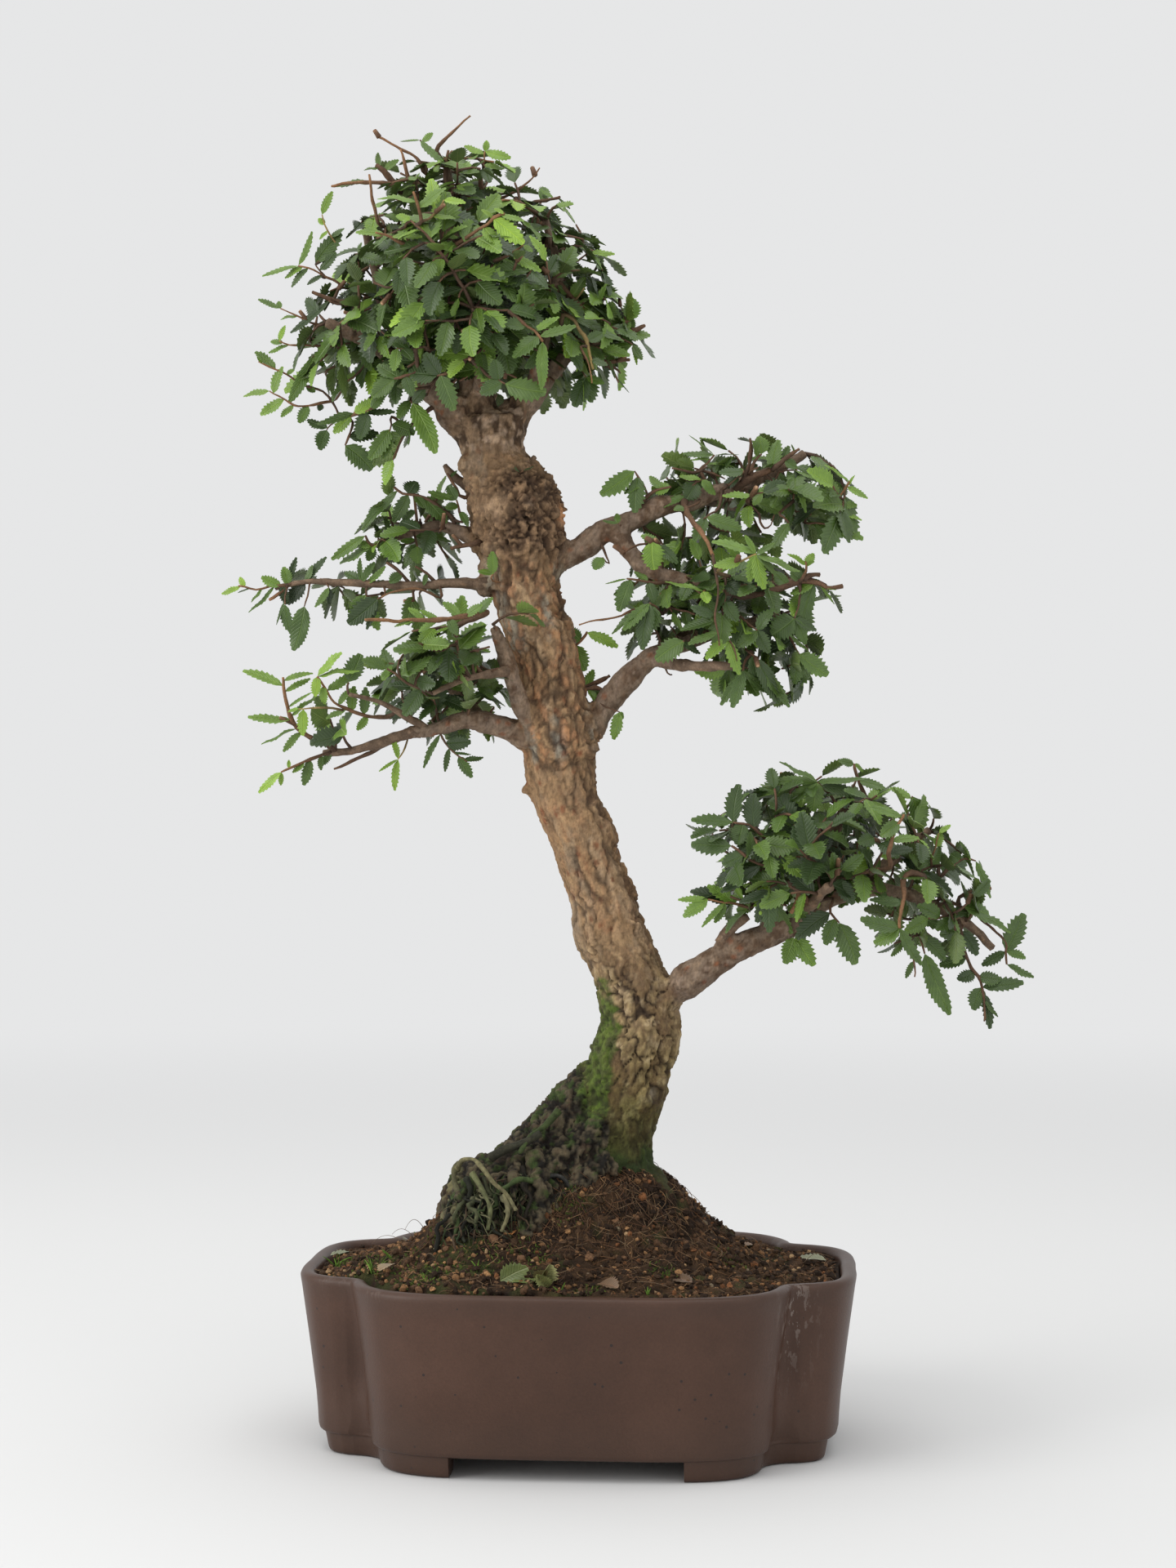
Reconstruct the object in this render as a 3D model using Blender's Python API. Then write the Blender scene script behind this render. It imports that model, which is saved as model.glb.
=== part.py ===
# Indoor elm bonsai in a notched oval pot.
# Units: the tables below are in millimetres, the scene is in metres, +Z is up.
# The pot stands square to X and Y; the tree is turned a little in its pot.

import math
import random

import bpy
import bmesh
from mathutils import Vector
from mathutils.bvhtree import BVHTree

MM = 0.001

# ---------------------------------------------------------------- pot
RIM_Z = 60.6            # top of the rim
BODY_Z = 7.0            # underside of the pot body, the feet go on down to 0
FLOOR_Z = 13.0          # inside floor
# one quarter of the rim's outer outline, from the +X side round to the +Y side
RIM_QUARTER = [(94.0, 0.0), (94.0, 14.0), (92.6, 26.0), (88.6, 34.6), (82.0, 39.8),
               (76.2, 42.0), (72.6, 43.8), (71.2, 48.6), (67.6, 56.2), (60.6, 63.6),
               (49.0, 69.0), (34.0, 71.4), (17.0, 72.0), (0.0, 72.0)]
# wall section: height, distance in from the rim's outer outline
WALL = [(7.0, 7.6), (7.7, 6.5), (20.0, 5.4), (40.0, 2.8), (54.0, 0.9), (58.6, 0.1),
        (60.1, 0.9), (60.6, 2.5), (60.1, 4.1), (57.6, 5.3), (40.0, 7.2), (20.0, 9.8),
        (14.4, 12.0), (13.0, 16.0)]
HOLE_X = 38.0
HOLE_R = 8.0
FOOT_OUT_TOP = 7.9      # foot's outer face, in from the rim outline, at its top
FOOT_OUT_LOW = 9.8      # the same at the ground
FOOT_X = 38.0           # the feet leave the middle of each long side free
FOOT_Y = 25.0           # and of each short side
FOOT_BAND = 13.0        # how wide the foot band is

# ---------------------------------------------------------------- drain mesh
MESH_SIDE = 22.0
MESH_T = 1.0
MESH_HOLE = 3.4
MESH_PITCH = 5.0
CLIP_WIRE = 1.0         # wire diameter

# ---------------------------------------------------------------- tree
TURN = math.radians(4.4)     # the tree is turned this much in its pot
SIDE = 2.4                   # and stands this far right of the pot's middle
GAP = 0.35                   # clear space between pieces that touch
# each row: right, back, up, radius
TRUNK = [(12, 2, 46, 15.5), (12, 2, 64, 15.0), (11, 2, 82, 13.0), (10.5, 2, 100, 11.6),
         (12.5, 2, 114, 13.0), (14.5, 2, 128, 14.2), (18, 3, 140, 14.0),
         (17, 3, 151, 13.2), (13, 3, 162, 12.8), (7.5, 3, 173, 12.7), (5, 2, 185, 11.7),
         (1, 1, 196, 11.0), (-2.5, 0, 207, 11.5), (-7, 0, 218, 11.2), (-9.5, 0, 230, 12.6),
         (-10, -1, 241, 12.8), (-12.3, -2, 252, 12.0), (-14.5, -3, 269, 11.8),
         (-18, -3, 280, 11.8), (-21, -3, 291, 11.9), (-22, -3, 299, 12.8),
         (-23.5, -3, 309, 14.2), (-25.3, -3, 318, 15.2), (-28.2, -3, 326, 14.0),
         (-31.6, -3, 333, 11.2), (-33, -3, 340, 11.0), (-34, -3, 349, 11.6)]
ROOT_RIDGE = [(6, 5, 122, 10.0), (-2, 3, 114, 9.6), (-12.5, -2, 104, 9.4),
              (-24, -8, 92.5, 9.6), (-33, -14, 83, 10.2), (-36, -20, 71, 9.6),
              (-38, -24, 56, 7.5)]
ROOT_KNEE = [(-26, -6, 90, 8.0), (-36, -9, 90, 7.2), (-43, -9, 85, 6.0), (-47, -8, 70, 4.5)]
ROOT_BACK = [(11, 8, 92, 9.5), (14, 20, 80, 7.5), (17, 32, 64, 4.5)]
ROOT_RIGHT = [(14, 2, 90, 9.0), (24, -4, 82, 6.8), (34, -8, 68, 4.0)]
LOW_RIGHT = [(19, 2, 146, 7.0), (31, -4, 155, 5.9), (47, -8, 165.5, 4.9), (64, -10, 174.5, 4.3),
             (78.5, -10, 183, 3.7), (94, -10, 188.5, 3.0), (111, -8, 185.5, 2.3),
             (128, -6, 177, 1.7), (138, -6, 168, 1.3)]
LOW_RIGHT_A = [(62, -10, 173, 2.8), (60, -14, 189, 2.2), (55, -14, 204, 1.5)]
LOW_RIGHT_B = [(78, -10, 182, 2.8), (81.5, -4, 200, 2.2), (88, -2, 217, 1.5)]
LOW_RIGHT_C = [(94, -10, 188, 2.4), (107, -4, 201, 1.9), (117, 0, 208, 1.4)]
LOW_RIGHT_D = [(72, -11, 179, 2.6), (80, -34, 190, 1.5)]
LOW_RIGHT_E = [(85, -9, 185, 2.6), (96, 18, 195, 1.5)]
LEFT_LOW = [(-13, -2, 235, 6.5), (-26.5, -6, 242.5, 4.4), (-41.5, -8, 245, 3.2),
            (-55.5, -10, 242.5, 2.7), (-69, -11, 238.5, 2.2), (-80, -10, 235.6, 1.8),
            (-90, -9, 234.5, 1.4)]
LEFT_LOW_A = [(-55, -10, 243, 2.0), (-68.5, -20, 251, 1.6), (-80, -24, 254, 1.2)]
LEFT_LOW_B = [(-33, -7, 243.6, 2.4), (-45, 10, 255, 1.8), (-57, 20, 260, 1.3)]
RIGHT_MID = [(-5, -2, 236, 6.6), (3.6, -2, 248.6, 5.1), (12.6, -4, 259.7, 4.2),
             (22, -6, 267.7, 3.4), (36, -6, 272.7, 2.7), (51.5, -4, 277.6, 2.1),
             (65.5, -4, 282.6, 1.5)]
RIGHT_MID_A = [(22, -6, 267, 2.6), (35.6, -22, 263.7, 1.9), (49, -26, 263.5, 1.3)]
RIGHT_MID_B = [(28, -6, 270, 2.4), (41, 14, 279.4, 1.8), (54.6, 24, 281.4, 1.3)]
RIGHT_TOP = [(-14, -3, 300.5, 5.6), (-1.4, -5, 305.4, 4.6), (11, -6, 312.8, 4.0),
             (25, -7, 318, 3.6), (37.6, -7, 321.4, 3.2), (50, -6, 324.8, 2.7),
             (63, -4, 330.6, 2.1), (74, -3, 337, 1.4)]
RIGHT_TOP_B = [(9, -6, 310.5, 3.2), (18, -10, 298.3, 2.9), (32, -12, 293.2, 2.5),
               (47, -13, 289.8, 2.1), (62, -12, 291, 1.7), (74.5, -12, 293.7, 1.3)]
RIGHT_TOP_C = [(37, -6, 321, 2.4), (51, 16, 321, 1.9), (64.5, 24, 323, 1.4)]
LEFT_MID = [(-24, -4, 291, 4.0), (-44.5, -8, 292.6, 2.3), (-61, -10, 291.4, 1.9),
            (-77.5, -11, 292.2, 1.7), (-94, -12, 292.6, 1.4), (-106, -12, 290.5, 1.1)]
LEFT_TOP = [(-27, -4, 299, 5.0), (-40.5, -4, 309, 2.8), (-50.3, -2, 311.8, 2.2),
            (-62, 2, 309.7, 1.7), (-73, 4, 306.3, 1.3)]
LIMB = [(-19, -8, 242, 3.6), (-24.2, -17, 257, 3.2), (-28.1, -18, 268, 2.6),
        (-32.1, -20, 277.5, 1.9)]
LIMB_A = [(-26, -18, 262.5, 2.2), (-39.4, -30, 259.3, 1.7), (-51.4, -34, 254, 1.2)]
CROWN_LEFT = [(-35, -3, 342, 9.0), (-41, -3, 346.5, 8.2), (-50.7, -5, 356.4, 5.6),
              (-62.5, -8, 366.6, 4.0), (-76, -12, 375, 2.7), (-88.4, -14, 380, 1.7)]
CROWN_LEFT_B = [(-54, -5, 359, 3.6), (-65.3, 4, 379, 2.8), (-73, 10, 399.5, 2.0),
                (-77, 8, 417, 1.3)]
CROWN_MID = [(-37, -3, 345, 7.5), (-39, -3, 365, 5.0), (-42.6, 0, 386.5, 3.9),
             (-46, 0, 407.6, 2.9), (-48, 0, 427, 1.9), (-48.2, 0, 438, 1.3)]
CROWN_RIGHT = [(-31, -3, 339, 7.0), (-27, -3, 346, 6.4), (-18.7, -3, 359.5, 4.6),
               (-8.4, 0, 370, 3.2), (2.8, 4, 377.4, 2.2), (12.7, 4, 380.2, 1.5)]
CROWN_RIGHT_B = [(-18.5, -3, 359, 3.2), (-14.4, -12, 379, 2.5), (-10.5, -14, 396.6, 1.9),
                 (-14.4, -10, 415, 1.3)]
CROWN_FRONT = [(-37.5, -5, 356, 4.0), (-34.8, -28, 365.5, 3.0), (-35.3, -44, 375, 2.2),
               (-37.7, -50, 386, 1.5)]
CROWN_BACK = [(-37, 0, 356, 4.2), (-33.5, 28, 376.8, 3.0), (-34.6, 44, 395.4, 2.2),
              (-37.7, 48, 412, 1.5)]
KNOT_LEFT = [(-36, -7, 333, 4.0), (-41.5, -9, 332.5, 3.6), (-43.5, -9.5, 332.4, 2.4)]
SPUR_LEFT = [(-33, -4, 322, 3.4), (-45, -4, 328.5, 1.6), (-49, -4, 333, 0.8)]
SPUR_RIGHT = [(-24, -6, 329, 2.0), (-18, -7, 335.5, 0.9)]
STUB_LOW_RIGHT = [(42, -8, 162, 2.6), (47, -12, 173.5, 2.1), (53.5, -13, 179.5, 1.9)]

BRANCHES = [LOW_RIGHT, LOW_RIGHT_A, LOW_RIGHT_B, LOW_RIGHT_C, LOW_RIGHT_D, LOW_RIGHT_E,
            LEFT_LOW, LEFT_LOW_A, LEFT_LOW_B, RIGHT_MID, RIGHT_MID_A, RIGHT_MID_B,
            RIGHT_TOP, RIGHT_TOP_B, RIGHT_TOP_C, LEFT_MID, LEFT_TOP, LIMB, LIMB_A,
            CROWN_LEFT, CROWN_LEFT_B, CROWN_MID, CROWN_RIGHT, CROWN_RIGHT_B,
            CROWN_FRONT, CROWN_BACK, KNOT_LEFT, SPUR_LEFT, SPUR_RIGHT, STUB_LOW_RIGHT]

# ---------------------------------------------------------------- leafy shoots
LEAF_LONG = 16.0
LEAF_WIDE = 7.6
LEAF_THICK = 0.5
LEAF_STEP = 5.9
# name, branch it grows from, share of the branch's length, its tip (right, back, up)
SHOOTS = [
    ("crown_shoot_01", CROWN_LEFT, 1.0, (-106, -16, 361)),
    ("crown_shoot_02", CROWN_LEFT, 0.86, (-104, -4, 389)),
    ("crown_shoot_03", CROWN_LEFT, 0.62, (-80, -16, 336)),
    ("crown_shoot_04", CROWN_LEFT_B, 1.0, (-88, 4, 428)),
    ("crown_shoot_05", CROWN_LEFT_B, 0.66, (-101, 22, 407)),
    ("crown_shoot_06", CROWN_LEFT_B, 0.45, (-88, -34, 398)),
    ("crown_shoot_07", CROWN_MID, 1.0, (-42, 0, 444)),
    ("crown_shoot_08", CROWN_MID, 0.93, (-68, 5, 441)),
    ("crown_shoot_09", CROWN_MID, 0.8, (-24, -8, 439)),
    ("crown_shoot_10", CROWN_RIGHT_B, 1.0, (-6, -6, 431)),
    ("crown_shoot_11", CROWN_RIGHT_B, 0.7, (4, 8, 407)),
    ("crown_shoot_12", CROWN_RIGHT, 1.0, (16, 2, 372)),
    ("crown_shoot_13", CROWN_RIGHT, 0.66, (-3, -20, 354)),
    ("crown_shoot_14", CROWN_FRONT, 1.0, (-45, -56, 402)),
    ("crown_shoot_15", CROWN_FRONT, 0.7, (-66, -58, 366)),
    ("crown_shoot_16", CROWN_FRONT, 0.75, (-12, -54, 378)),
    ("crown_shoot_17", CROWN_BACK, 1.0, (-42, 57, 424)),
    ("crown_shoot_18", CROWN_BACK, 0.6, (-70, 52, 382)),
    ("crown_shoot_19", CROWN_BACK, 0.66, (-4, 48, 384)),
    ("right_top_shoot_1", RIGHT_TOP, 1.0, (88, -3, 329)),
    ("right_top_shoot_2", RIGHT_TOP, 0.82, (57, 6, 344)),
    ("right_top_shoot_3", RIGHT_TOP, 0.5, (30, -14, 335)),
    ("right_top_shoot_4", RIGHT_TOP, 0.72, (74, -30, 317)),
    ("right_top_shoot_5", RIGHT_TOP_C, 1.0, (84, 32, 316)),
    ("right_top_shoot_6", RIGHT_TOP_B, 1.0, (88, -12, 291)),
    ("right_mid_shoot_1", RIGHT_MID, 1.0, (79, -2, 263)),
    ("right_mid_shoot_2", RIGHT_MID, 0.62, (18, 10, 286)),
    ("right_mid_shoot_3", RIGHT_MID_A, 1.0, (66, -30, 255)),
    ("right_mid_shoot_4", RIGHT_MID_B, 1.0, (72, 34, 276)),
    ("low_right_shoot_01", LOW_RIGHT_A, 1.0, (49, -12, 221)),
    ("low_right_shoot_02", LOW_RIGHT_A, 0.6, (35, -20, 199)),
    ("low_right_shoot_03", LOW_RIGHT_B, 1.0, (70, 4, 231)),
    ("low_right_shoot_04", LOW_RIGHT_B, 0.85, (104, -8, 230)),
    ("low_right_shoot_05", LOW_RIGHT_C, 1.0, (129, 2, 212)),
    ("low_right_shoot_06", LOW_RIGHT_D, 1.0, (92, -54, 200)),
    ("low_right_shoot_07", LOW_RIGHT_E, 1.0, (106, 42, 202)),
    ("low_right_shoot_08", LOW_RIGHT, 1.0, (143, -8, 164)),
    ("low_right_shoot_09", LOW_RIGHT, 0.9, (141, 6, 181)),
    ("low_right_shoot_10", LOW_RIGHT, 0.86, (121, -14, 149)),
    ("left_low_shoot_1", LEFT_LOW, 1.0, (-104, -6, 225)),
    ("left_low_shoot_2", LEFT_LOW, 0.88, (-108, -14, 254)),
    ("left_low_shoot_3", LEFT_LOW, 0.6, (-66, -6, 221)),
    ("left_low_shoot_4", LEFT_LOW_A, 1.0, (-98, -34, 262)),
    ("left_low_shoot_5", LEFT_LOW_B, 1.0, (-74, 32, 262)),
    ("left_mid_shoot_1", LEFT_MID, 1.0, (-113, -10, 291)),
    ("left_mid_shoot_2", LEFT_MID, 0.8, (-97, -14, 273)),
    ("left_mid_shoot_3", LEFT_MID, 0.5, (-78, 12, 300)),
    ("left_top_shoot_1", LEFT_TOP, 1.0, (-90, 6, 300)),
    ("left_top_shoot_2", LEFT_TOP, 0.5, (-62, -6, 325)),
    ("limb_shoot_1", LIMB, 1.0, (-22, -32, 284)),
    ("limb_shoot_2", LIMB_A, 1.0, (-70, -44, 266)),
]

# ---------------------------------------------------------------- where it stands
STAND_X = -17.3         # brings the middle of the whole plant over the origin
STAND_Y = 1.9


def clear_scene():
    for ob in list(bpy.data.objects):
        bpy.data.objects.remove(ob, do_unlink=True)
    for coll in list(bpy.data.collections):
        bpy.data.collections.remove(coll)


def material(name, color, roughness, metallic=0.0):
    mat = bpy.data.materials.new(name)
    mat.use_nodes = True
    bsdf = mat.node_tree.nodes["Principled BSDF"]
    bsdf.inputs["Base Color"].default_value = (*color, 1.0)
    bsdf.inputs["Roughness"].default_value = roughness
    bsdf.inputs["Metallic"].default_value = metallic
    mat.diffuse_color = (*color, 1.0)
    return mat


def place(name, mesh, coll, mat=None, smooth=True):
    ob = bpy.data.objects.new(name, mesh)
    coll.objects.link(ob)
    ob.parent = stand
    if mat:
        mesh.materials.clear()
        mesh.materials.append(mat)
    for poly in mesh.polygons:
        poly.use_smooth = smooth
    return ob


def as_cutter(ob):
    ob.hide_render = True
    ob.display_type = 'WIRE'
    return ob


def boolean(ob, other, operation, solver='EXACT'):
    mod = ob.modifiers.new(operation.lower() + "_" + other.name, 'BOOLEAN')
    mod.operation = operation
    mod.object = other
    mod.solver = solver
    return mod


def baked(ob):
    """The evaluated shape of an object as plain mesh data, doubles welded."""
    bpy.context.view_layer.update()
    deps = bpy.context.evaluated_depsgraph_get()
    mesh = bpy.data.meshes.new_from_object(ob.evaluated_get(deps))
    bm = bmesh.new()
    bm.from_mesh(mesh)
    bmesh.ops.remove_doubles(bm, verts=bm.verts, dist=1e-6)
    bmesh.ops.recalc_face_normals(bm, faces=bm.faces)
    bm.to_mesh(mesh)
    bm.free()
    return mesh


# ------------------------------------------------------------------ outlines
def smooth_run(points, steps):
    """Catmull-Rom curve through 2D points, `steps` points to each span."""
    out = []
    n = len(points)
    for i in range(n - 1):
        p0 = Vector(points[max(i - 1, 0)])
        p1 = Vector(points[i])
        p2 = Vector(points[i + 1])
        p3 = Vector(points[min(i + 2, n - 1)])
        for k in range(steps):
            t = k / steps
            out.append(0.5 * ((2 * p1) + (p2 - p0) * t + (2 * p0 - 5 * p1 + 4 * p2 - p3) * t * t
                              + (3 * p1 - p0 - 3 * p2 + p3) * t ** 3))
    out.append(Vector(points[-1]))
    return out


def rim_outline(inset):
    """Closed outline, anticlockwise, `inset` mm inside the rim's outer edge."""
    quarter = smooth_run(RIM_QUARTER, 1)
    ring = list(quarter)
    ring += [Vector((-p.x, p.y)) for p in reversed(quarter[:-1])]
    ring += [Vector((-p.x, -p.y)) for p in quarter[1:]]
    ring += [Vector((p.x, -p.y)) for p in reversed(quarter[1:-1])]
    n = len(ring)
    out = []
    for i, p in enumerate(ring):
        run = ring[(i + 1) % n] - ring[i - 1]
        inward = Vector((-run.y, run.x)).normalized()
        out.append(p + inward * inset)
    return out


def loft(rings):
    """One closed body through rings of equal length: a prism whose last face is
    extruded on, ring by ring."""
    n = len(rings[0])
    bm = bmesh.new()
    bmesh.ops.create_cone(bm, cap_ends=True, cap_tris=False, segments=n,
                          radius1=1.0, radius2=1.0, depth=1.0)
    low, top = {}, {}
    for v in bm.verts:
        k = round(math.atan2(v.co.y, v.co.x) / (2 * math.pi) * n) % n
        (low if v.co.z < 0 else top)[k] = v
    first = [top[k] for k in range(n)]
    for k in range(n):
        low[k].co = rings[0][k]
    face = next(f for f in bm.faces if len(f.verts) == n and set(f.verts) == set(first))
    for k in range(n):
        top[k].co = rings[1][k]
    index = {top[k]: k for k in range(n)}
    for ring in rings[2:]:
        order = [index[v] for v in face.verts]
        face = bmesh.ops.extrude_discrete_faces(bm, faces=[face])["faces"][0]
        index = {}
        for v, k in zip(face.verts, order):
            v.co = ring[k]
            index[v] = k
    bmesh.ops.recalc_face_normals(bm, faces=bm.faces)
    mesh = bpy.data.meshes.new("loft")
    bm.to_mesh(mesh)
    bm.free()
    return mesh


def flat_ring(inset, z):
    return [Vector((p.x * MM, p.y * MM, z * MM)) for p in rim_outline(inset)]


# ------------------------------------------------------------------ pot
def box(name, size, at):
    bpy.ops.mesh.primitive_cube_add(size=1.0, location=[c * MM for c in at])
    ob = bpy.context.object
    ob.name = name
    ob.scale = [c * MM for c in size]
    for coll in ob.users_collection:
        coll.objects.unlink(ob)
    cutters.objects.link(ob)
    ob.parent = stand
    return as_cutter(ob)


def make_pot():
    body = place("pot", loft([flat_ring(i, z) for z, i in WALL]), parts,
                 material("pot_clay", (0.118, 0.072, 0.056), 0.62))
    feet = place("foot_band", loft([flat_ring(FOOT_OUT_LOW, 0.0), flat_ring(FOOT_OUT_LOW - 0.3, 1.0),
                                    flat_ring(FOOT_OUT_TOP, BODY_Z + 1.4)]), cutters)
    as_cutter(feet)
    core = place("foot_core", loft([flat_ring(FOOT_OUT_LOW + FOOT_BAND, -5.0),
                                    flat_ring(FOOT_OUT_LOW + FOOT_BAND, 15.0)]), cutters)
    as_cutter(core)
    boolean(feet, core, 'DIFFERENCE')
    boolean(feet, box("foot_gap_long", (2 * FOOT_X, 220.0, 30.0), (0, 0, 0)), 'DIFFERENCE')
    boolean(feet, box("foot_gap_short", (220.0, 2 * FOOT_Y, 30.0), (0, 0, 0)), 'DIFFERENCE')
    boolean(body, feet, 'UNION')
    for side, x in (("left", -HOLE_X), ("right", HOLE_X)):
        bpy.ops.mesh.primitive_cylinder_add(vertices=24, radius=HOLE_R * MM, depth=30 * MM,
                                            location=(x * MM, 0, 10 * MM))
        hole = bpy.context.object
        hole.name = "drain_hole_" + side
        for coll in hole.users_collection:
            coll.objects.unlink(hole)
        cutters.objects.link(hole)
        hole.parent = stand
        as_cutter(hole)
        boolean(body, hole, 'DIFFERENCE')
    return body


# ------------------------------------------------------------------ tubes
def tree(u, w, v):
    """A point of the tree (right, back, up in mm) in the pot's frame, in metres."""
    c, s = math.cos(TURN), math.sin(TURN)
    u += SIDE
    return Vector(((u * c - w * s) * MM, (u * s + w * c) * MM, v * MM))


def tube(name, rows, coll, resolution, grow=0.0):
    """A tapered tube through rows of (right, back, up, radius), as a closed mesh."""
    curve = bpy.data.curves.new(name, 'CURVE')
    curve.dimensions = '3D'
    curve.bevel_depth = MM
    curve.bevel_resolution = resolution
    curve.use_fill_caps = True
    spline = curve.splines.new('POLY')
    spline.points.add(len(rows) - 1)
    for point, row in zip(spline.points, rows):
        point.co = (*tree(*row[:3]), 1.0)
        point.radius = row[3] + grow
    ob = bpy.data.objects.new(name, curve)
    coll.objects.link(ob)
    mesh = baked(ob)
    bpy.data.objects.remove(ob, do_unlink=True)
    return place(name, mesh, coll)


def longer(rows):
    """The same rows with both ends drawn out by a gap, for the room a piece sits in."""
    rows = [list(r) for r in rows]
    for end, inner in ((0, 1), (-1, -2)):
        run = Vector(rows[end][:3]) - Vector(rows[inner][:3])
        run.normalize()
        for i in range(3):
            rows[end][i] += run[i] * 1.5 * GAP
    return rows


def make_wood():
    wood = tube("elm_wood", TRUNK, parts, 4)
    wood.data.materials.append(material("bark", (0.30, 0.215, 0.155), 0.85))
    limbs = [("root", r, 3) for r in (ROOT_RIDGE, ROOT_KNEE, ROOT_BACK, ROOT_RIGHT)]
    limbs += [("branch", r, 2 if r[0][3] > 4.4 else 1) for r in BRANCHES]
    for i, (kind, rows, res) in enumerate(limbs):
        limb = as_cutter(tube("%s_%02d" % (kind, i), rows, cutters, res))
        boolean(wood, limb, 'UNION')
    return wood


# ------------------------------------------------------------------ soil
MOUND_FROM = (13.4, 3.5)
MOUND_TO = (-29.0, -16.0)


def soil_height(x, y):
    """Height of the soil's surface (mm) at a place in the pot."""
    ax, ay = MOUND_FROM
    bx, by = MOUND_TO
    dx, dy = bx - ax, by - ay
    t = max(0.0, min(1.0, ((x - ax) * dx + (y - ay) * dy) / (dx * dx + dy * dy)))
    d = math.hypot(x - ax - t * dx, y - ay - t * dy)
    bumps = 0.7 * math.sin(x * 0.21 + 1.3) * math.cos(y * 0.17) + 0.5 * math.sin(x * 0.07 - y * 0.12)
    return 58.2 + (38.0 - 15.0 * t) * math.exp(-(d / 33.0) ** 2) + bumps * min(1.0, d / 20.0)


def make_soil(root_cutters):
    inner = [(16.6, FLOOR_Z + 3.0), (12.4 + GAP, FLOOR_Z + 3.2), (9.9 + GAP, 20.0),
             (7.3 + GAP, 40.0), (5.7 + GAP, 55.5)]
    rings = [flat_ring(i, z) for i, z in inner]
    edge = rim_outline(5.7 + GAP)
    for share in (0.985, 0.9, 0.8, 0.69, 0.57, 0.45, 0.33, 0.2, 0.08):
        ring = []
        for p in edge:
            cx = 2.0 * (1 - share)
            x, y = p.x * share + cx, p.y * share
            z = soil_height(x, y) if share < 0.98 else 57.4
            ring.append(Vector((x * MM, y * MM, z * MM)))
        rings.append(ring)
    soil = place("soil", loft(rings), parts, material("potting_soil", (0.065, 0.038, 0.024), 0.95))
    for side, x in (("left", -HOLE_X), ("right", HOLE_X)):
        pocket = box("soil_pocket_" + side, (MESH_SIDE + 1.5, MESH_SIDE + 1.5, 8.0),
                     (x, 0, FLOOR_Z + 0.4))
        boolean(soil, pocket, 'DIFFERENCE')
    for cutter in root_cutters:     # bent tubes that cross each other: EXACT loses the soil here
        boolean(soil, cutter, 'DIFFERENCE', 'MANIFOLD')
    return soil


# ------------------------------------------------------------------ drain mesh, clips, wire
def make_drains():
    made = []
    for side, x in (("left", -HOLE_X), ("right", HOLE_X)):
        bpy.ops.mesh.primitive_cube_add(size=1.0)
        mesh_ob = bpy.context.object
        mesh_ob.name = "drain_mesh_" + side
        for coll in mesh_ob.users_collection:
            coll.objects.unlink(mesh_ob)
        parts.objects.link(mesh_ob)
        mesh_ob.parent = stand
        mesh_ob.location = (x * MM, 0, (FLOOR_Z + GAP + MESH_T / 2) * MM)
        mesh_ob.scale = (MESH_SIDE * MM, MESH_SIDE * MM, MESH_T * MM)
        mesh_ob.data.materials.append(material("mesh_plastic_" + side, (0.02, 0.05, 0.03), 0.5))
        bm = bmesh.new()
        for i in range(4):
            for j in range(4):
                out = bmesh.ops.create_cube(bm, size=1.0)
                for v in out["verts"]:
                    v.co.x = (v.co.x * MESH_HOLE + (i - 1.5) * MESH_PITCH) * MM
                    v.co.y = (v.co.y * MESH_HOLE + (j - 1.5) * MESH_PITCH) * MM
                    v.co.z *= 8 * MM
        grid = bpy.data.meshes.new("mesh_holes_" + side)
        bm.to_mesh(grid)
        bm.free()
        holes = as_cutter(place("mesh_holes_" + side, grid, cutters))
        holes.location = mesh_ob.location
        boolean(mesh_ob, holes, 'DIFFERENCE')

        top = FLOOR_Z + GAP + MESH_T + GAP + CLIP_WIRE / 2
        low = BODY_Z - GAP - CLIP_WIRE / 2
        run = [(-14.5, 0, low), (-7.5, 0, low), (-6.0, 0, low + 1.2), (-3.6, 0, top - 2.2),
               (-2.5, 0, top - 0.4), (-1.2, 0, top), (1.2, 0, top), (2.5, 0, top - 0.4),
               (3.6, 0, top - 2.2), (6.0, 0, low + 1.2), (7.5, 0, low), (14.5, 0, low)]
        curve = bpy.data.curves.new("drain_clip_" + side, 'CURVE')
        curve.dimensions = '3D'
        curve.bevel_depth = CLIP_WIRE / 2 * MM
        curve.bevel_resolution = 1
        curve.use_fill_caps = True
        spline = curve.splines.new('POLY')
        spline.points.add(len(run) - 1)
        for point, (px, py, pz) in zip(spline.points, run):
            point.co = (px * MM, (py + 2.5) * MM, pz * MM, 1.0)
        tmp = bpy.data.objects.new("clip_curve", curve)
        cutters.objects.link(tmp)
        data = baked(tmp)
        bpy.data.objects.remove(tmp, do_unlink=True)
        clip = place("drain_clip_" + side, data, parts,
                     material("clip_wire_" + side, (0.42, 0.42, 0.42), 0.35, 1.0))
        clip.location = (x * MM, 0, 0)
        made += [mesh_ob, clip]
    return made


ANCHOR = [(-3, -14, 48), (-4, -15, 70), (-5.5, -16.5, 84), (-7, -17.2, 89.5), (-9.5, -17.6, 92),
          (-12.5, -17.6, 92.2), (-15, -17.4, 91), (-16, -17.2, 88.8)]
ANCHOR_R = 0.8


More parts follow.
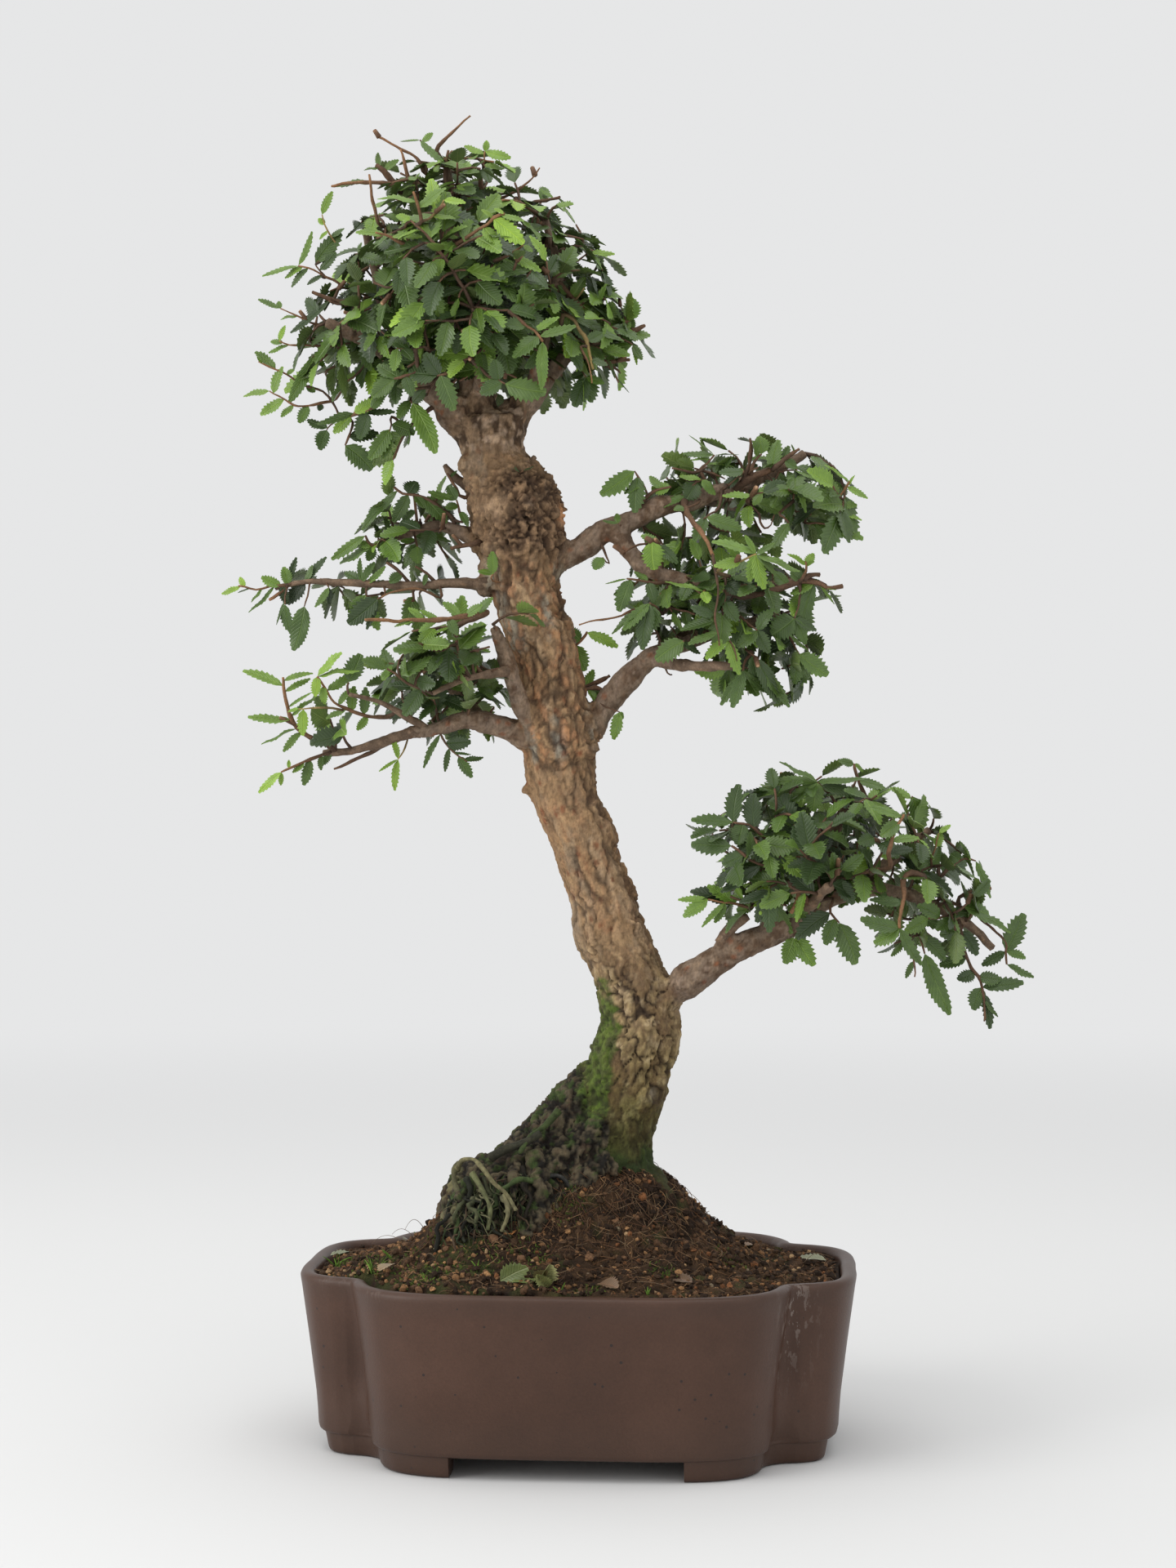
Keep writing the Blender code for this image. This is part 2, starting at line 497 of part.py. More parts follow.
# ------------------------------------------------------------------ leafy shoots
def along(rows, share):
    """Point and direction at a share of a branch's length, and its radius there."""
    pts = [tree(*r[:3]) for r in rows]
    runs = [(pts[i + 1] - pts[i]).length for i in range(len(pts) - 1)]
    left = share * sum(runs)
    for i, run in enumerate(runs):
        if left <= run or i == len(runs) - 1:
            t = min(1.0, left / run)
            return (pts[i].lerp(pts[i + 1], t), (pts[i + 1] - pts[i]).normalized(),
                    (rows[i][3] * (1 - t) + rows[i + 1][3] * t) * MM)
        left -= run


class Shoot:
    """A twig with leaves, grown from one four-sided prism by extruding its faces."""

    def __init__(self, stations):
        # stations: list of (centre, side axis, upward axis, half width)
        self.bm = bmesh.new()
        bmesh.ops.create_cone(self.bm, cap_ends=True, cap_tris=False, segments=4,
                              radius1=1.0, radius2=1.0, depth=1.0)
        low, top = {}, {}
        for v in self.bm.verts:
            k = round(math.atan2(v.co.y, v.co.x) / (math.pi / 2)) % 4
            (low if v.co.z < 0 else top)[k] = v
        ends = [top[k] for k in range(4)]
        self.face = next(f for f in self.bm.faces if set(f.verts) == set(ends))
        for k in range(4):
            low[k].co = self.corner(stations[0], k)
            top[k].co = self.corner(stations[1], k)
        self.ring = {top[k]: k for k in range(4)}
        self.sides = [self.side_faces()]
        for st in stations[2:]:
            order = [self.ring[v] for v in self.face.verts]
            self.face = bmesh.ops.extrude_discrete_faces(self.bm, faces=[self.face])["faces"][0]
            self.ring = {}
            for v, k in zip(self.face.verts, order):
                v.co = self.corner(st, k)
                self.ring[v] = k
            self.sides.append(self.side_faces())

    @staticmethod
    def corner(st, k):
        c, side, up, h = st
        a = math.pi / 4 + k * math.pi / 2
        return c + side * (h * 1.3 * math.cos(a)) + up * (h * 1.3 * math.sin(a))

    def side_faces(self):
        out = {}
        for e in self.face.edges:
            ks = sorted(self.ring[v] for v in e.verts)
            other = next(f for f in e.link_faces if f is not self.face)
            out[{(0, 1): "up", (1, 2): "left", (2, 3): "down", (0, 3): "right"}[tuple(ks)]] = other
        return out

    def leaf(self, segment, side, sections, axis_along, axis_up):
        """Grow a leaf from a side face; sections hold centre, width and thickness vectors."""
        face = self.sides[segment][side]
        mid = face.calc_center_median()
        signs = [((v.co - mid).dot(axis_along) > 0, (v.co - mid).dot(axis_up) > 0)
                 for v in face.verts]
        for centre, wide, thick in sections:
            face = bmesh.ops.extrude_discrete_faces(self.bm, faces=[face])["faces"][0]
            for v, (far, high) in zip(face.verts, signs):
                v.co = centre + (wide if far else -wide) + (thick if high else -thick)

    def mesh(self, name):
        bmesh.ops.recalc_face_normals(self.bm, faces=self.bm.faces)
        mesh = bpy.data.meshes.new(name)
        self.bm.to_mesh(mesh)
        self.bm.free()
        return mesh


BOX_FACES = [(0, 1, 3, 2), (4, 6, 7, 5), (0, 4, 5, 1), (2, 3, 7, 6), (0, 2, 6, 4), (1, 5, 7, 3)]


def slab(near, far, grow):
    """Test body between two leaf or twig sections, a little larger than the real one."""
    verts = []
    axis = (far[0] - near[0]).normalized() * grow
    for (c, wide, thick), shift in ((near, -axis), (far, axis)):
        w = wide + wide.normalized() * grow
        t = thick + thick.normalized() * grow
        verts += [c + shift - w - t, c + shift - w + t, c + shift + w - t, c + shift + w + t]
    return BVHTree.FromPolygons(verts, BOX_FACES)


def hits(test, trees):
    return any(test.overlap(t) for t in trees)


def make_shoot(number, name, rows, share, tip, solids):
    rng = random.Random(1000 + number)
    base, run, radius = along(rows, share)
    end = tree(*tip)
    up = Vector((0, 0, 1))
    for attempt in range(60):
        wob = 0.0 if attempt == 0 else 1.0 + attempt * 0.25
        goal = end + Vector((rng.uniform(-wob, wob), rng.uniform(-wob, wob),
                             rng.uniform(-wob, wob))) * MM
        d = (goal - base).normalized()
        if share < 1.0:
            d = (d + 0.35 * run).normalized() if attempt % 2 else d
        start = base + d * (radius + (0.5 + 0.12 * attempt) * MM)
        length = (goal - start).length
        bow = d.cross(up)
        bow = bow.normalized() if bow.length > 0.2 else Vector((1, 0, 0))
        lift = bow.cross(d).normalized()
        bend = rng.uniform(-0.05, 0.08) * length
        count = max(3, round(length / (LEAF_STEP * MM)))
        path = []
        for i in range(count * 2 + 1):
            t = i / (count * 2)
            # short node, long internode
            s = (i // 2 + (0.78 if i % 2 else 0.0)) / count if i < count * 2 else 1.0
            p = start.lerp(goal, s) + lift * bend * 4 * s * (1 - s)
            path.append(p)
        stations = []
        for i, p in enumerate(path):
            q = path[min(i + 1, len(path) - 1)] - path[max(i - 1, 0)]
            q.normalize()
            side = q.cross(up)
            side = side.normalized() if side.length > 0.25 else bow
            high = side.cross(q).normalized()
            half = (0.85 - 0.4 * i / len(path)) * MM
            stations.append((p, side, high, half))
        clear = True
        for a, b in zip(stations[:-1], stations[1:]):
            near = (a[0], a[1] * a[3], a[2] * a[3])
            far = (b[0], b[1] * b[3], b[2] * b[3])
            if hits(slab(near, far, 0.3 * MM), solids):
                clear = False
                break
        if clear:
            break
    else:
        return None
    shoot = Shoot(stations)
    own = []
    for node in range(count):
        seg = 2 * node + 1          # the short segment that ends the internode
        if seg >= len(shoot.sides):
            break
        for side in (("left", "right") if node == count - 1 else
                     (("left",) if node % 2 else ("right",))):
            a, b = stations[seg], stations[seg + 1]
            mid = (a[0] + b[0]) / 2
            fwd = (b[0] - a[0]).normalized()
            sgn = 1.0 if side == "right" else -1.0
            for attempt in range(14):
                spread = math.radians(rng.uniform(46, 66) - (18 if node == count - 1 else 0))
                tilt = rng.uniform(-0.45, 0.3)
                grow = (1.0 - 0.035 * attempt) * rng.uniform(0.9, 1.1)
                if node == 0:
                    grow *= 0.85
                length = LEAF_LONG * grow * MM
                wide = LEAF_WIDE * grow * MM / 2
                d = fwd * math.cos(spread) + a[1] * sgn * math.sin(spread)
                d = (d + Vector((0, 0, tilt))).normalized()
                w = (fwd * math.sin(spread) - a[1] * sgn * math.cos(spread)).normalized()
                n = d.cross(w).normalized()
                if n.dot(a[2]) < 0:
                    n = -n
                roll = rng.uniform(-0.4, 0.4)
                w = (w * math.cos(roll) + n * math.sin(roll)).normalized()
                w = (w - d * w.dot(d)).normalized()
                n = d.cross(w).normalized()
                if n.dot(a[2]) < 0:
                    n = -n
                thick = n * (LEAF_THICK / 2 * MM)
                droop = n * (-0.05 * length)
                sections = [(mid + d * (0.44 * length), w * wide, thick),
                            (mid + d * length + droop, w * (wide * 0.16), thick * 0.8)]
                foot = (mid + d * (2.0 * MM), w * (0.9 * MM), thick)
                tests = [slab(foot, sections[0], 0.25 * MM), slab(sections[0], sections[1], 0.25 * MM)]
                if not any(hits(t, solids) or hits(t, own) for t in tests):
                    shoot.leaf(seg, side, sections, fwd, a[2])
                    own += tests
                    break
    shade = 0.75 + 0.5 * rng.random()
    mat = material(name + "_leaf", (0.035 * shade, 0.095 * shade, 0.035 * shade), 0.5)
    return place(name, shoot.mesh(name), parts, mat, smooth=False)


def solid_tree(ob):
    mesh = baked(ob)
    world = ob.matrix_local
    tree_ = BVHTree.FromPolygons([world @ v.co for v in mesh.vertices],
                                 [tuple(p.vertices) for p in mesh.polygons])
    bpy.data.meshes.remove(mesh)
    return tree_


# ------------------------------------------------------------------ build
clear_scene()
parts = bpy.data.collections.new("elm_bonsai")
cutters = bpy.data.collections.new("cutters")
bpy.context.scene.collection.children.link(parts)
bpy.context.scene.collection.children.link(cutters)
stand = bpy.data.objects.new("stand", None)
parts.objects.link(stand)
stand.location = (STAND_X * MM, STAND_Y * MM, 0.0)

pot = make_pot()
wood = make_wood()
roots = [as_cutter(tube("root_room_%d" % i, longer(rows), cutters, 4 if rows is not ROOT_KNEE else 3,
                        grow=2 * GAP))
         for i, rows in enumerate((TRUNK[:8], ROOT_RIDGE, ROOT_KNEE, ROOT_BACK, ROOT_RIGHT))]
roots.append(as_cutter(tube("wire_room", longer([(*p, ANCHOR_R) for p in ANCHOR]), cutters, 2,
                            grow=GAP)))
soil = make_soil(roots)
make_drains()
anchor = tube("anchor_wire", [(*p, ANCHOR_R) for p in ANCHOR], parts, 2)
anchor.data.materials.append(material("anchor_aluminium", (0.38, 0.40, 0.40), 0.4, 1.0))

solids = [solid_tree(wood), solid_tree(soil), solid_tree(anchor)]
for number, (name, rows, share, tip) in enumerate(SHOOTS):
    made = make_shoot(number, name, rows, share, tip, solids)
    if made:
        solids.append(solid_tree(made))
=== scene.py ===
import math
import random

import bpy
import numpy as np
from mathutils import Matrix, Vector

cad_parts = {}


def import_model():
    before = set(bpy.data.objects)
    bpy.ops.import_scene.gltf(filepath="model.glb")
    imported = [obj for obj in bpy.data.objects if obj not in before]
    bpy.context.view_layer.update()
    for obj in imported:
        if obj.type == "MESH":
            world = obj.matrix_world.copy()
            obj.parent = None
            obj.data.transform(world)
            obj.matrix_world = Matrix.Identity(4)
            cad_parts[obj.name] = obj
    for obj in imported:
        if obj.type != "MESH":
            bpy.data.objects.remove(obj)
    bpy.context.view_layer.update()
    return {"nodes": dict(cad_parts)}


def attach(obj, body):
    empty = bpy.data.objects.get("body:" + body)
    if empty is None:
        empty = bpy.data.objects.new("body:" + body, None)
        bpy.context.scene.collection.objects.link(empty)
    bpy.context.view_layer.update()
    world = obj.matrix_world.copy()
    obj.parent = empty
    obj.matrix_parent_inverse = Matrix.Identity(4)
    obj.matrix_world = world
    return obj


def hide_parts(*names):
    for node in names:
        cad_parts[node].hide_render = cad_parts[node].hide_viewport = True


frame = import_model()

MM = 0.001

# ------------------------------------------------------------------ where things stand
TURN = math.radians(4.4)     # the tree is turned this much in its pot
SIDE = 2.4                   # and stands this far right of the pot's middle
STAND_X = -17.3
STAND_Y = 1.9
RIM_QUARTER = [(94.0, 0.0), (94.0, 14.0), (92.6, 26.0), (88.6, 34.6), (82.0, 39.8),
               (76.2, 42.0), (72.6, 43.8), (71.2, 48.6), (67.6, 56.2), (60.6, 63.6),
               (49.0, 69.0), (34.0, 71.4), (17.0, 72.0), (0.0, 72.0)]
MOUND_FROM = (13.4, 3.5)
MOUND_TO = (-29.0, -16.0)

# the tree's frame: right, back, up (mm), radius
TRUNK = [(12, 2, 46, 15.5), (12, 2, 64, 15.0), (11, 2, 82, 13.0), (10.5, 2, 100, 11.6),
         (12.5, 2, 114, 13.0), (14.5, 2, 128, 14.2), (18, 3, 140, 14.0),
         (17, 3, 151, 13.2), (13, 3, 162, 12.8), (7.5, 3, 173, 12.7), (5, 2, 185, 11.7),
         (1, 1, 196, 11.0), (-2.5, 0, 207, 11.5), (-7, 0, 218, 11.2), (-9.5, 0, 230, 12.6),
         (-10, -1, 241, 12.8), (-12.3, -2, 252, 12.0), (-14.5, -3, 269, 11.8),
         (-18, -3, 280, 11.8), (-21, -3, 291, 11.9), (-22, -3, 299, 12.8),
         (-23.5, -3, 309, 14.2), (-25.3, -3, 318, 15.2), (-28.2, -3, 326, 14.0),
         (-31.6, -3, 333, 11.2), (-33, -3, 340, 11.0), (-34, -3, 349, 11.6)]
ROOT_RIDGE = [(6, 5, 122, 10.0), (-2, 3, 114, 9.6), (-12.5, -2, 104, 9.4),
              (-24, -8, 92.5, 9.6), (-33, -14, 83, 10.2), (-36, -20, 71, 9.6),
              (-38, -24, 56, 7.5)]
ROOT_KNEE = [(-26, -6, 90, 8.0), (-36, -9, 90, 7.2), (-43, -9, 85, 6.0), (-47, -8, 70, 4.5)]
ROOT_BACK = [(11, 8, 92, 9.5), (14, 20, 80, 7.5), (17, 32, 64, 4.5)]
ROOT_RIGHT = [(14, 2, 90, 9.0), (24, -4, 82, 6.8), (34, -8, 68, 4.0)]
LOW_RIGHT = [(19, 2, 146, 7.0), (31, -4, 155, 5.9), (47, -8, 165.5, 4.9), (64, -10, 174.5, 4.3),
             (78.5, -10, 183, 3.7), (94, -10, 188.5, 3.0), (111, -8, 185.5, 2.3),
             (128, -6, 177, 1.7), (138, -6, 168, 1.3)]
LOW_RIGHT_A = [(62, -10, 173, 2.8), (60, -14, 189, 2.2), (55, -14, 204, 1.5)]
LOW_RIGHT_B = [(78, -10, 182, 2.8), (81.5, -4, 200, 2.2), (88, -2, 217, 1.5)]
LOW_RIGHT_C = [(94, -10, 188, 2.4), (107, -4, 201, 1.9), (117, 0, 208, 1.4)]
LOW_RIGHT_D = [(72, -11, 179, 2.6), (80, -34, 190, 1.5)]
LOW_RIGHT_E = [(85, -9, 185, 2.6), (96, 18, 195, 1.5)]
LEFT_LOW = [(-13, -2, 235, 6.5), (-26.5, -6, 242.5, 4.4), (-41.5, -8, 245, 3.2),
            (-55.5, -10, 242.5, 2.4), (-69, -11, 238.5, 1.8), (-80, -10, 235.6, 1.4),
            (-90, -9, 234.5, 1.1)]
LEFT_LOW_A = [(-55, -10, 243, 1.5), (-68.5, -20, 251, 1.0), (-80, -24, 254, 0.7)]
LEFT_LOW_B = [(-33, -7, 243.6, 2.4), (-45, 10, 255, 1.8), (-57, 20, 260, 1.3)]
RIGHT_MID = [(-5, -2, 236, 6.6), (3.6, -2, 248.6, 5.1), (12.6, -4, 259.7, 4.2),
             (22, -6, 267.7, 3.4), (36, -6, 272.7, 2.7), (51.5, -4, 277.6, 2.1),
             (65.5, -4, 282.6, 1.5)]
RIGHT_MID_A = [(22, -6, 267, 2.6), (35.6, -22, 263.7, 1.9), (49, -26, 263.5, 1.3)]
RIGHT_MID_B = [(28, -6, 270, 2.4), (41, 14, 279.4, 1.8), (54.6, 24, 281.4, 1.3)]
RIGHT_TOP = [(-14, -3, 300.5, 5.6), (-1.4, -5, 305.4, 4.6), (11, -6, 312.8, 4.0),
             (25, -7, 318, 3.6), (37.6, -7, 321.4, 3.2), (50, -6, 324.8, 2.7),
             (63, -4, 330.6, 2.1), (74, -3, 337, 1.4)]
RIGHT_TOP_B = [(9, -6, 310.5, 3.2), (18, -10, 298.3, 2.9), (32, -12, 293.2, 2.5),
               (47, -13, 289.8, 2.1), (62, -12, 291, 1.7), (74.5, -12, 293.7, 1.3)]
RIGHT_TOP_C = [(37, -6, 321, 2.4), (51, 16, 321, 1.9), (64.5, 24, 323, 1.4)]
LEFT_MID = [(-24, -4, 291, 3.6), (-44.5, -8, 292.6, 1.9), (-61, -10, 291.4, 1.5),
            (-77.5, -11, 292.2, 1.25), (-94, -12, 292.6, 1.05), (-106, -12, 290.5, 0.8)]
LEFT_TOP = [(-27, -4, 299, 5.0), (-40.5, -4, 309, 2.8), (-50.3, -2, 311.8, 2.2),
            (-62, 2, 309.7, 1.7), (-73, 4, 306.3, 1.3)]
LIMB = [(-19, -8, 242, 3.6), (-24.2, -17, 257, 3.2), (-28.1, -18, 268, 2.6),
        (-32.1, -20, 277.5, 1.9)]
LIMB_A = [(-26, -18, 262.5, 1.7), (-39.4, -30, 259.3, 1.1), (-51.4, -34, 254, 0.8)]
CROWN_LEFT = [(-35, -3, 342, 9.0), (-41, -3, 346.5, 8.2), (-50.7, -5, 356.4, 5.6),
              (-62.5, -8, 366.6, 4.0), (-76, -12, 375, 2.7), (-88.4, -14, 380, 1.7)]
CROWN_LEFT_B = [(-54, -5, 359, 3.6), (-65.3, 4, 379, 2.8), (-73, 10, 399.5, 2.0),
                (-77, 8, 417, 1.3)]
CROWN_MID = [(-37, -3, 345, 7.5), (-39, -3, 365, 5.0), (-42.6, 0, 386.5, 3.9),
             (-46, 0, 407.6, 2.9), (-48, 0, 427, 1.9), (-48.2, 0, 438, 1.3)]
CROWN_RIGHT = [(-31, -3, 339, 7.0), (-27, -3, 346, 6.4), (-18.7, -3, 359.5, 4.6),
               (-8.4, 0, 370, 3.2), (2.8, 4, 377.4, 2.2), (12.7, 4, 380.2, 1.5)]
CROWN_RIGHT_B = [(-18.5, -3, 359, 3.2), (-14.4, -12, 379, 2.5), (-10.5, -14, 396.6, 1.9),
                 (-14.4, -10, 415, 1.3)]
CROWN_FRONT = [(-37.5, -5, 356, 3.6), (-35.0, -24, 363.5, 2.2), (-35.3, -38, 371, 1.4),
               (-37.7, -44, 380, 0.9)]
CROWN_BACK = [(-37, 0, 356, 4.2), (-33.5, 28, 376.8, 3.0), (-34.6, 44, 395.4, 2.2),
              (-37.7, 48, 412, 1.5)]
KNOT_LEFT = [(-36, -7, 333, 4.0), (-41.5, -9, 332.5, 3.6), (-43.5, -9.5, 332.4, 2.4)]
SPUR_LEFT = [(-33, -4, 322, 3.4), (-45, -4, 328.5, 1.6), (-49, -4, 333, 0.8)]
SPUR_RIGHT = [(-24, -6, 329, 2.0), (-18, -7, 335.5, 0.9)]
STUB_LOW_RIGHT = [(42, -8, 162, 2.6), (47, -12, 173.5, 2.1), (53.5, -13, 179.5, 1.9)]

# pads: branches that carry them, ellipsoids (centre, half sizes), number of twig tips
PADS = {
    "crown": dict(
        wood=[CROWN_LEFT, CROWN_LEFT_B, CROWN_MID, CROWN_RIGHT, CROWN_RIGHT_B, CROWN_FRONT,
              CROWN_BACK],
        blobs=[((-41, -1, 391), (48, 50, 40), 246), ((-80, -4, 374), (18, 26, 16), 20),
               ((-7, -4, 378), (22, 28, 17), 36),
               ((-48, 0, 428), (25, 24, 10), 28), ((-44, -40, 384), (26, 12, 24), 46),
               ((-52, -26, 362), (14, 18, 8), 10)]),
    "right_top": dict(
        wood=[RIGHT_TOP, RIGHT_TOP_C],
        blobs=[((66, 2, 326), (23, 25, 12), 34), ((38, 3, 327), (14, 18, 9), 13),
               ((30, 2, 306), (17, 15, 8), 15), ((52, 6, 310), (12, 14, 5), 4)]),
    "right_mid": dict(
        wood=[RIGHT_MID, RIGHT_MID_A, RIGHT_MID_B, RIGHT_TOP_B],
        blobs=[((46, -3, 289), (32, 29, 15), 66), ((58, -4, 270), (16, 19, 11), 18),
               ((27, 0, 279), (12, 15, 9), 10)]),
    "low_right": dict(
        wood=[LOW_RIGHT, LOW_RIGHT_A, LOW_RIGHT_B, LOW_RIGHT_C, LOW_RIGHT_D, LOW_RIGHT_E],
        blobs=[((78, -6, 205), (38, 37, 22), 104), ((114, -6, 187), (22, 23, 20), 26),
               ((60, -6, 188), (18, 20, 9), 8), ((72, -24, 192), (18, 9, 10), 12)]),
    "left_low": dict(
        wood=[LEFT_LOW, LEFT_LOW_A, LEFT_LOW_B],
        blobs=[((-46, 4, 258), (27, 24, 14), 46), ((-86, -10, 246), (12, 12, 7), 3)]),
    "left_mid": dict(
        wood=[LEFT_MID],
        blobs=[((-90, 0, 290), (12, 12, 6), 3), ((-64, 0, 293), (18, 14, 6), 6)]),
    "left_top": dict(
        wood=[LEFT_TOP],
        blobs=[((-58, 5, 310), (20, 18, 10), 17)]),
    "limb": dict(
        wood=[LIMB, LIMB_A],
        blobs=[((-47, -28, 268), (21, 14, 12), 25)]),
}

# stretches of the wood that stay in sight in front of the leaves: run, from, to (right, mm)
BARE = {
    "crown": [(CROWN_LEFT, -54, -30), (CROWN_RIGHT, -32, -15), (TRUNK[-5:], -60, 0)],
    "right_top": [(RIGHT_TOP, -20, 61)],
    "right_mid": [(RIGHT_MID, -10, 27), (RIGHT_TOP_B, 5, 30)],
    "low_right": [(LOW_RIGHT, 10, 62)],
    "left_low": [(LEFT_LOW, -92, -10)],
    "left_mid": [(LEFT_MID, -100, -20)],
    "left_top": [(LEFT_TOP, -52, -24), (LEFT_MID, -100, -20)],
    "limb": [(LIMB, -40, -10), (LEFT_LOW, -60, -10)],
}

# shoots that stand out: pad, tip, young, size
HEROES = {
    "crown": [((-50, -10, 434), 0.3, 0.9), ((-32, -6, 436), 0.5, 0.9), ((4, -4, 405), 0.35, 0.85),
              ((-29, -30, 418), 0.5, 0.9), ((-58, -46, 408), 0.35, 0.9),
              ((-66, -12, 334), 0.2, 1.0), ((17, 0, 378), 0.0, 1.0)],
    "right_top": [((88, -3, 328), 0.25, 0.9), ((60, 0, 340), 0.1, 1.0), ((84, -18, 314), 0.1, 1.05),
                  ((48, -2, 338), 0.15, 1.0)],
    "right_mid": [((82, -10, 290), 0.1, 0.9), ((76, -4, 262), 0.0, 1.05), ((66, -8, 254), 0.0, 1.05),
                  ((46, -14, 262), 0.2, 1.0), ((18, -2, 283), 0.0, 0.9)],
    "low_right": [((66, -4, 224), 0.0, 1.0), ((92, -6, 226), 0.0, 0.95), ((118, -4, 212), 0.1, 0.9)],
    "left_low": [((-80, -24, 258), 0.2, 1.0)],
    "left_mid": [((-102, -4, 294), 0.0, 1.0), ((-58, -10, 283), 0.3, 1.1), ((-74, -12, 284), 0.2, 1.05)],
    "left_top": [((-68, 0, 322), 0.1, 0.9), ((-52, 2, 322), 0.1, 0.9)],
    "limb": [((-20, -24, 281), 0.25, 0.95), ((-44, -34, 276), 0.1, 1.0), ((-66, -40, 262), 0.2, 1.0)],
}
